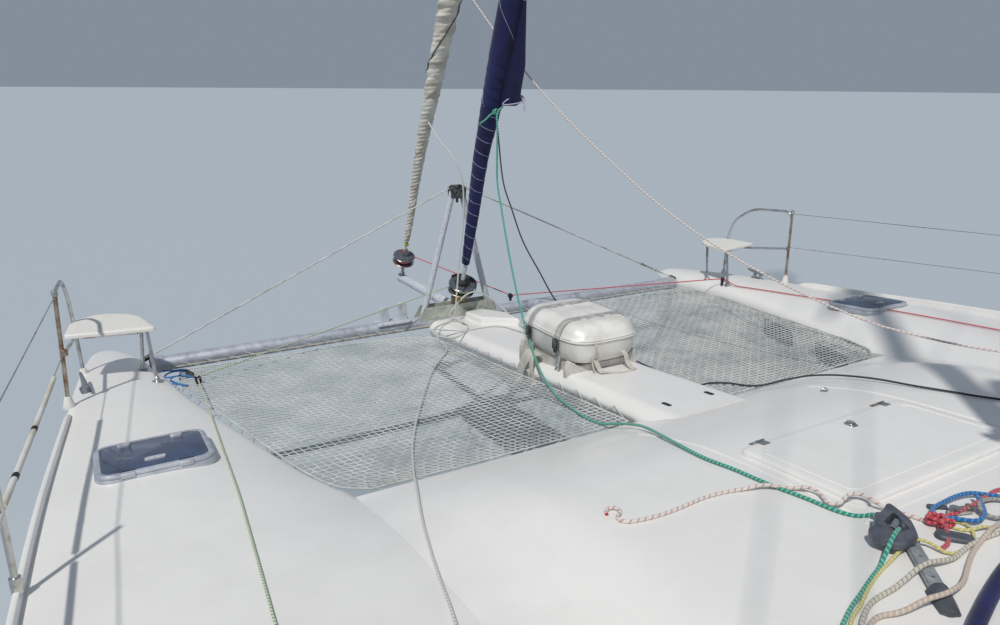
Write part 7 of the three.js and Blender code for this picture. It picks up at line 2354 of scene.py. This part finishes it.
for sign in (1, -1):
    profile = [(0.045, 0.0), (0.05, 0.005), (0.05, 0.02), (0.032, 0.03), (0.03, 0.07), (0.042, 0.085), (0.045, 0.1),
               (0.03, 0.108)]
    points, faces = turned(profile, (0, 0, 0), 1, 28)
    mast_winches.append((np.asarray(points) * [1, sign, 1] + [MAST["x"] + 0.02, 0.06 * sign, mast_foot + 1.15], faces))
pieces("mast_winches", mast_winches, winch_black)
exits = [(MAST["x"] + u, 0.062 * s, mast_foot + h)
         for u, s, h in ((0.03, 1, 1.9), (-0.03, 1, 2.15), (0.03, -1, 2.0), (-0.03, -1, 2.3))]
pieces("mast_exits",
       [box_body((x - 0.012, x + 0.012), sorted((y, y * 1.08)), (z - 0.06, z + 0.06), 0.004) for x, y, z in exits],
       steel)
for k, ((x, y, z), colour) in enumerate(zip(exits, (red_line, green_line, green_line, red_line))):
    line = [(x, y * 1.05, z), (x, y * 1.2, z - 0.3), (x - 0.02, np.sign(y) * 0.1, mast_foot + 0.12)]
    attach(rope_mesh(f"mast_halyard_{k}", through(line, 8), 0.005, colour), "boat")
foot_blocks = [
    turned([(0.026, -0.012), (0.03, -0.008), (0.03, 0.008), (0.026, 0.012)],
           (x - 0.02, np.sign(y) * 0.1, mast_foot + 0.1), 1) for x, y, z in exits
]
foot_blocks += [
    box_body((MAST["x"] - 0.09, MAST["x"] + 0.07), sorted((s * 0.085, s * 0.115)),
             (mast_foot + 0.03, mast_foot + 0.075), 0.004) for s in (1, -1)
]
pieces("mast_foot_blocks", foot_blocks, black)

# Standing rigging: 1x19 stainless wire with turnbuckles, toggles and chainplates strapped to the hulls' sides.
wire = weathered("stainless_rigging_wire", "A3A29E", "D0CFCB", 0.3, 0.004, 0.3, 0.7, 0.0004, Metallic=1.0)


def rigged(foot, head, radius):
    """A wire from its foot to its head with a turnbuckle: toggle, threaded rods and open body, then a swage."""
    foot, head = np.asarray(foot, float), np.asarray(head, float)
    long = np.linalg.norm(head - foot)
    marks = [0, 0.03, 0.031, 0.075, 0.076, 0.09, 0.091, 0.24, 0.241, 0.255, 0.256, 0.3, 0.301, 0.4, 0.402, 0.41]
    thick = [1.8, 1.8, 1.1, 1.1, 1.9, 1.9, 1.5, 1.5, 1.9, 1.9, 1.1, 1.1, 1.5, 1.5, 1.0, 1.0]
    at = np.r_[marks, long - 0.11, long - 0.109, long] / long
    return tube(foot + at[:, None] * (head - foot), radius * np.r_[thick, 1.0, 1.6, 1.6], 14)


CHAIN = {"cap": (-0.35, 3.455, 1.94, 14.3), "lower": (-0.56, 3.455, 1.94, 8.05)}
for sign, word in SIDES:
    tip = np.array([0.33, 1.168 * sign, 8.6])
    spans = [rigged((MAST["x"], 0.07 * sign, 4.95), tip, 0.005),
             tube([tip, (MAST["x"], 0.07 * sign, 13.9)], 0.005, 14)]
    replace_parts(pieces(f"diamond_wire_{word}", spans, wire), f"diamond_{word}")
    for name, (x, y, z, high) in CHAIN.items():
        span = rigged((x, y * sign, z), (0.88, 0.075 * sign, high), 0.006)
        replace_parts(pieces(f"{name}_shroud_wire_{word}", [span], wire), f"{name}_shroud_{word}")
        strap_y = sorted((3.447 * sign, 3.463 * sign))
        parts = [box_body((x - 0.022, x + 0.022), strap_y, (1.8, 1.955), 0.003)]
        parts += [turned([(0.011, -0.012), (0.011, 0.012)], (x, 3.455 * sign, 1.94), 1)]
        pieces(f"{name}_chainplate_{word}", parts, steel)

# Boom: an oval extrusion with cast ends, on a gooseneck. The mainsail lies on it, flaked down inside a zipped
# canvas bag that hangs between two lazy jacks on each side.
BOOM = {"pivot": 0.775, "z": 3.9, "front": 0.7, "aft": -4.9, "high": 0.17, "wide": 0.11}
a = 2 * np.pi * np.arange(40) / 40
oval = np.c_[BOOM["wide"] / 2 * np.cos(a), BOOM["high"] / 2 * np.sin(a)]
section = [
    np.c_[np.full(40, x), oval[:, 0] * k, BOOM["z"] + oval[:, 1] * k]
    for x, k in ((BOOM["front"] - 0.002, 0.9), (BOOM["front"] - 0.012, 1), (-2.0, 1), (BOOM["aft"] + 0.012, 1),
                 (BOOM["aft"] + 0.002, 0.9))
]
made = body_piece("boom_section", *loft(section), anodised, "boom", "anodised")
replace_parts(made, "boom")
ends = [loft([np.c_[np.full(40, x), oval[:, 0] * k, BOOM["z"] + oval[:, 1] * k] for x, k in row]) for row in
        (((0.66, 1.03), (0.695, 1.03), (0.7, 0.97)), ((-4.84, 1.03), (-4.89, 1.03), (-4.9, 0.95)))]
ends += [turned([(0.03, -0.014), (0.035, -0.01), (0.03, 0), (0.035, 0.01), (0.03, 0.014)], (-4.86, v, 3.935), 1)
         for v in (-0.025, 0.025)]
ends += [box_body((BOOM["front"] - 0.03, BOOM["pivot"] + 0.006), (-0.013, 0.013), (3.87, 3.93), 0.004)]
pieces("boom_ends", ends, dark_metal, "boom")
neck = [box_body((BOOM["pivot"] - 0.02, aft_x + 0.006), (-0.022, 0.022), (z, z + 0.012), 0.003)
        for z in (3.853, 3.935)]
neck += [turned([(0.008, 3.845), (0.008, 3.955)], (BOOM["pivot"], 0, 0)),
         box_body((aft_x - 0.006, aft_x + 0.006), (-0.04, 0.04), (3.82, 3.98), 0.003)]
pieces("gooseneck", neck, steel)
reefs = [[(-4.8, 0.06 * s, 3.86), (-2.1, 0.062 * s, 3.84), (0.6, 0.06 * s, 3.86)] for s in (1, -1)]
for k, line in enumerate(reefs):
    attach(rope_mesh(f"boom_reef_line_{k}", through(line, 16), 0.0045, (red_line, green_line)[k]), "boom")

BAG = np.array([(0.68, 0.52, 0.2), (0.3, 0.5, 0.27), (-2.4, 0.36, 0.25), (-4.6, 0.22, 0.18)])
bag_low = BOOM["z"] + BOOM["high"] / 2
canvas = weathered("cream_acrylic_canvas", "A7A294", "CBC6B8", 0.85, 0.05, 0.3, 0.7, 0.0008, Sheen_Weight=0.25)
folds = np.random.default_rng(11)
WRINKLES = [(folds.uniform(2, 9), folds.uniform(-14, 14), folds.uniform(0, 6.28), folds.uniform(0.4, 1))
            for _ in range(12)]


def bag_size(x):
    """The bag's height and width at x."""
    return [np.interp(-x, -BAG[:, 0], BAG[:, k]) for k in (1, 2)]


def bag_ring(x, n=56):
    """The bag's section at x: laced along the boom, fullest at a third of its height, drawn in to its zip. The
    cloth is gathered between the lazy jacks' lugs and creased by the folds inside."""
    high, wide = bag_size(x)
    hang = 0.5 - 0.5 * np.cos(2 * np.pi * (x - 0.68) / 1.76)
    t = np.linspace(-1, 1, n)
    s = 1 - np.abs(t)
    full = np.interp(s, [0, 0.06, 0.18, 0.4, 0.62, 0.85, 0.95, 1], [0.62, 0.82, 0.94, 1, 0.96, 0.72, 0.4, 0.06])
    crease = sum(w * np.sin(k * x + f * s * np.sign(t) + p) for k, f, p, w in WRINKLES) / 12
    y = -np.sign(t) * wide / 2 * full * (
        0.985 - 0.06 * hang * (s > 0.5)
    ) + 0.02 * crease * np.sign(-t) * np.sin(np.pi * s)
    z = bag_low + GAP + high * s * (0.99 - 0.035 * hang * s)
    return np.c_[np.full(n, x), np.clip(y, -wide / 2, wide / 2), z]


xs = np.r_[0.68, 0.676, np.linspace(0.66, -4.58, 240), -4.598, -4.6]
k_end = np.r_[0.86, 0.96, np.ones(240), 0.96, 0.86]
rows = []
for x, k in zip(xs, k_end):
    row = bag_ring(x)
    middle = np.array([x, 0, bag_low + 0.5 * np.ptp(row[:, 2])])
    row = middle + (row - middle) * [1, k, k]
    row[:, 2] = np.maximum(row[:, 2], bag_low + GAP)
    rows.append(row)
made = body_piece("mainsail_bag", *loft(rows), canvas, "boom", "sailcloth", 60)
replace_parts(made, "mainsail")
ridge = np.array([row[len(row) // 2] for row in rows[4:-4:4]])
pieces("mainsail_bag_zip", [strap(ridge + [0, 0, 0.001], 0.035, 0.004, (0, 1, 0))], webbing, "boom")
lugs = []
for x in (0.3, -1.46, -3.22, -4.3):
    high, wide = bag_size(x)
    for s in (1, -1):
        lugs.append(
            strap(
                [(x, s * (wide / 2 * 0.99), bag_low + 0.15 * high), (x, s * wide / 2 * 1.0, bag_low + 0.4 * high),
                 (x, s * wide / 2 * 0.96, bag_low + 0.62 * high), (x, s * wide / 2 * 0.82, bag_low + 0.8 * high)],
                0.04, 0.003, (1, 0, 0)
            )
        )
pieces("mainsail_bag_webbing", lugs, webbing, "boom")
jacks = []
for s in (1, -1):
    fork = (BOOM["pivot"] - 0.9, 0.05 * s, 6.9)
    jacks.append(tube([(BOOM["pivot"], 0.01 * s, 9.2), fork], 0.0035, 8))
    for x in (-1.46, -3.22, -4.3):
        high, wide = bag_size(x)
        jacks.append(tube([fork, (x, s * (wide / 2 * 0.82), bag_low + 0.8 * high)], 0.003, 8))
    jacks.append(turned([(0.008, -0.02), (0.014, -0.012), (0.014, 0.012), (0.008, 0.02)], fork, 2, 12))
jack_rope = rope_finish("black_lazy_jack_line", "2A2C30", roughness=0.8)
pieces("lazy_jacks", jacks, jack_rope, "boom")
lift = np.array([(BOOM["pivot"], 0, 17.3), (-4.87, 0, 3.99)])
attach(rope_mesh("topping_lift", lift[0] + np.linspace(0, 1, 12)[:, None] * (lift[1] - lift[0]), 0.004, stay_rope),
        "boom")

# Mainsheet: four falls between a block on the hardtop's aft edge and one under the boom.
SHEET = {"x": -4.62, "low": 3.2, "high": 3.74}
low_block = [box_body((SHEET["x"] - 0.09, SHEET["x"] + 0.09), (-0.05, 0.05), (3.125, 3.145), 0.006),
             turned([(0.012, 3.14), (0.012, 3.175)], (SHEET["x"], 0, 0))]
high_block = [
    strap([(SHEET["x"], y, z) for y, z in ((-0.06, 3.87), (-0.05, 3.82), (0, 3.79), (0.05, 3.82), (0.06, 3.87))],
          0.03, 0.004, (1, 0, 0))
]
for shapes, z in ((low_block, SHEET["low"]), (high_block, SHEET["high"])):
    for u in (-0.035, 0.035):
        shapes.append(
            turned([(0.01, -0.014), (0.036, -0.014), (0.038, -0.01), (0.03, 0), (0.038, 0.01), (0.036, 0.014),
                    (0.01, 0.014)], (SHEET["x"] + u, 0, z), 0, 28)
        )
    shapes.append(box_body((SHEET["x"] - 0.055, SHEET["x"] + 0.055), (-0.012, 0.012), (z - 0.02, z + 0.035), 0.004))
pieces("mainsheet_deck_block", low_block, dark_metal)
pieces("mainsheet_boom_block", high_block, dark_metal, "boom")
falls = [tube(np.linspace((SHEET["x"] + u, v, SHEET["low"]), (SHEET["x"] + u, v, SHEET["high"]), 24), 0.006, 8)
         for u in (-0.035, 0.035) for v in (-0.034, 0.034)]
made = smooth(mesh_object("mainsheet_falls", *merged(falls), red_line), 60)
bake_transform(made)
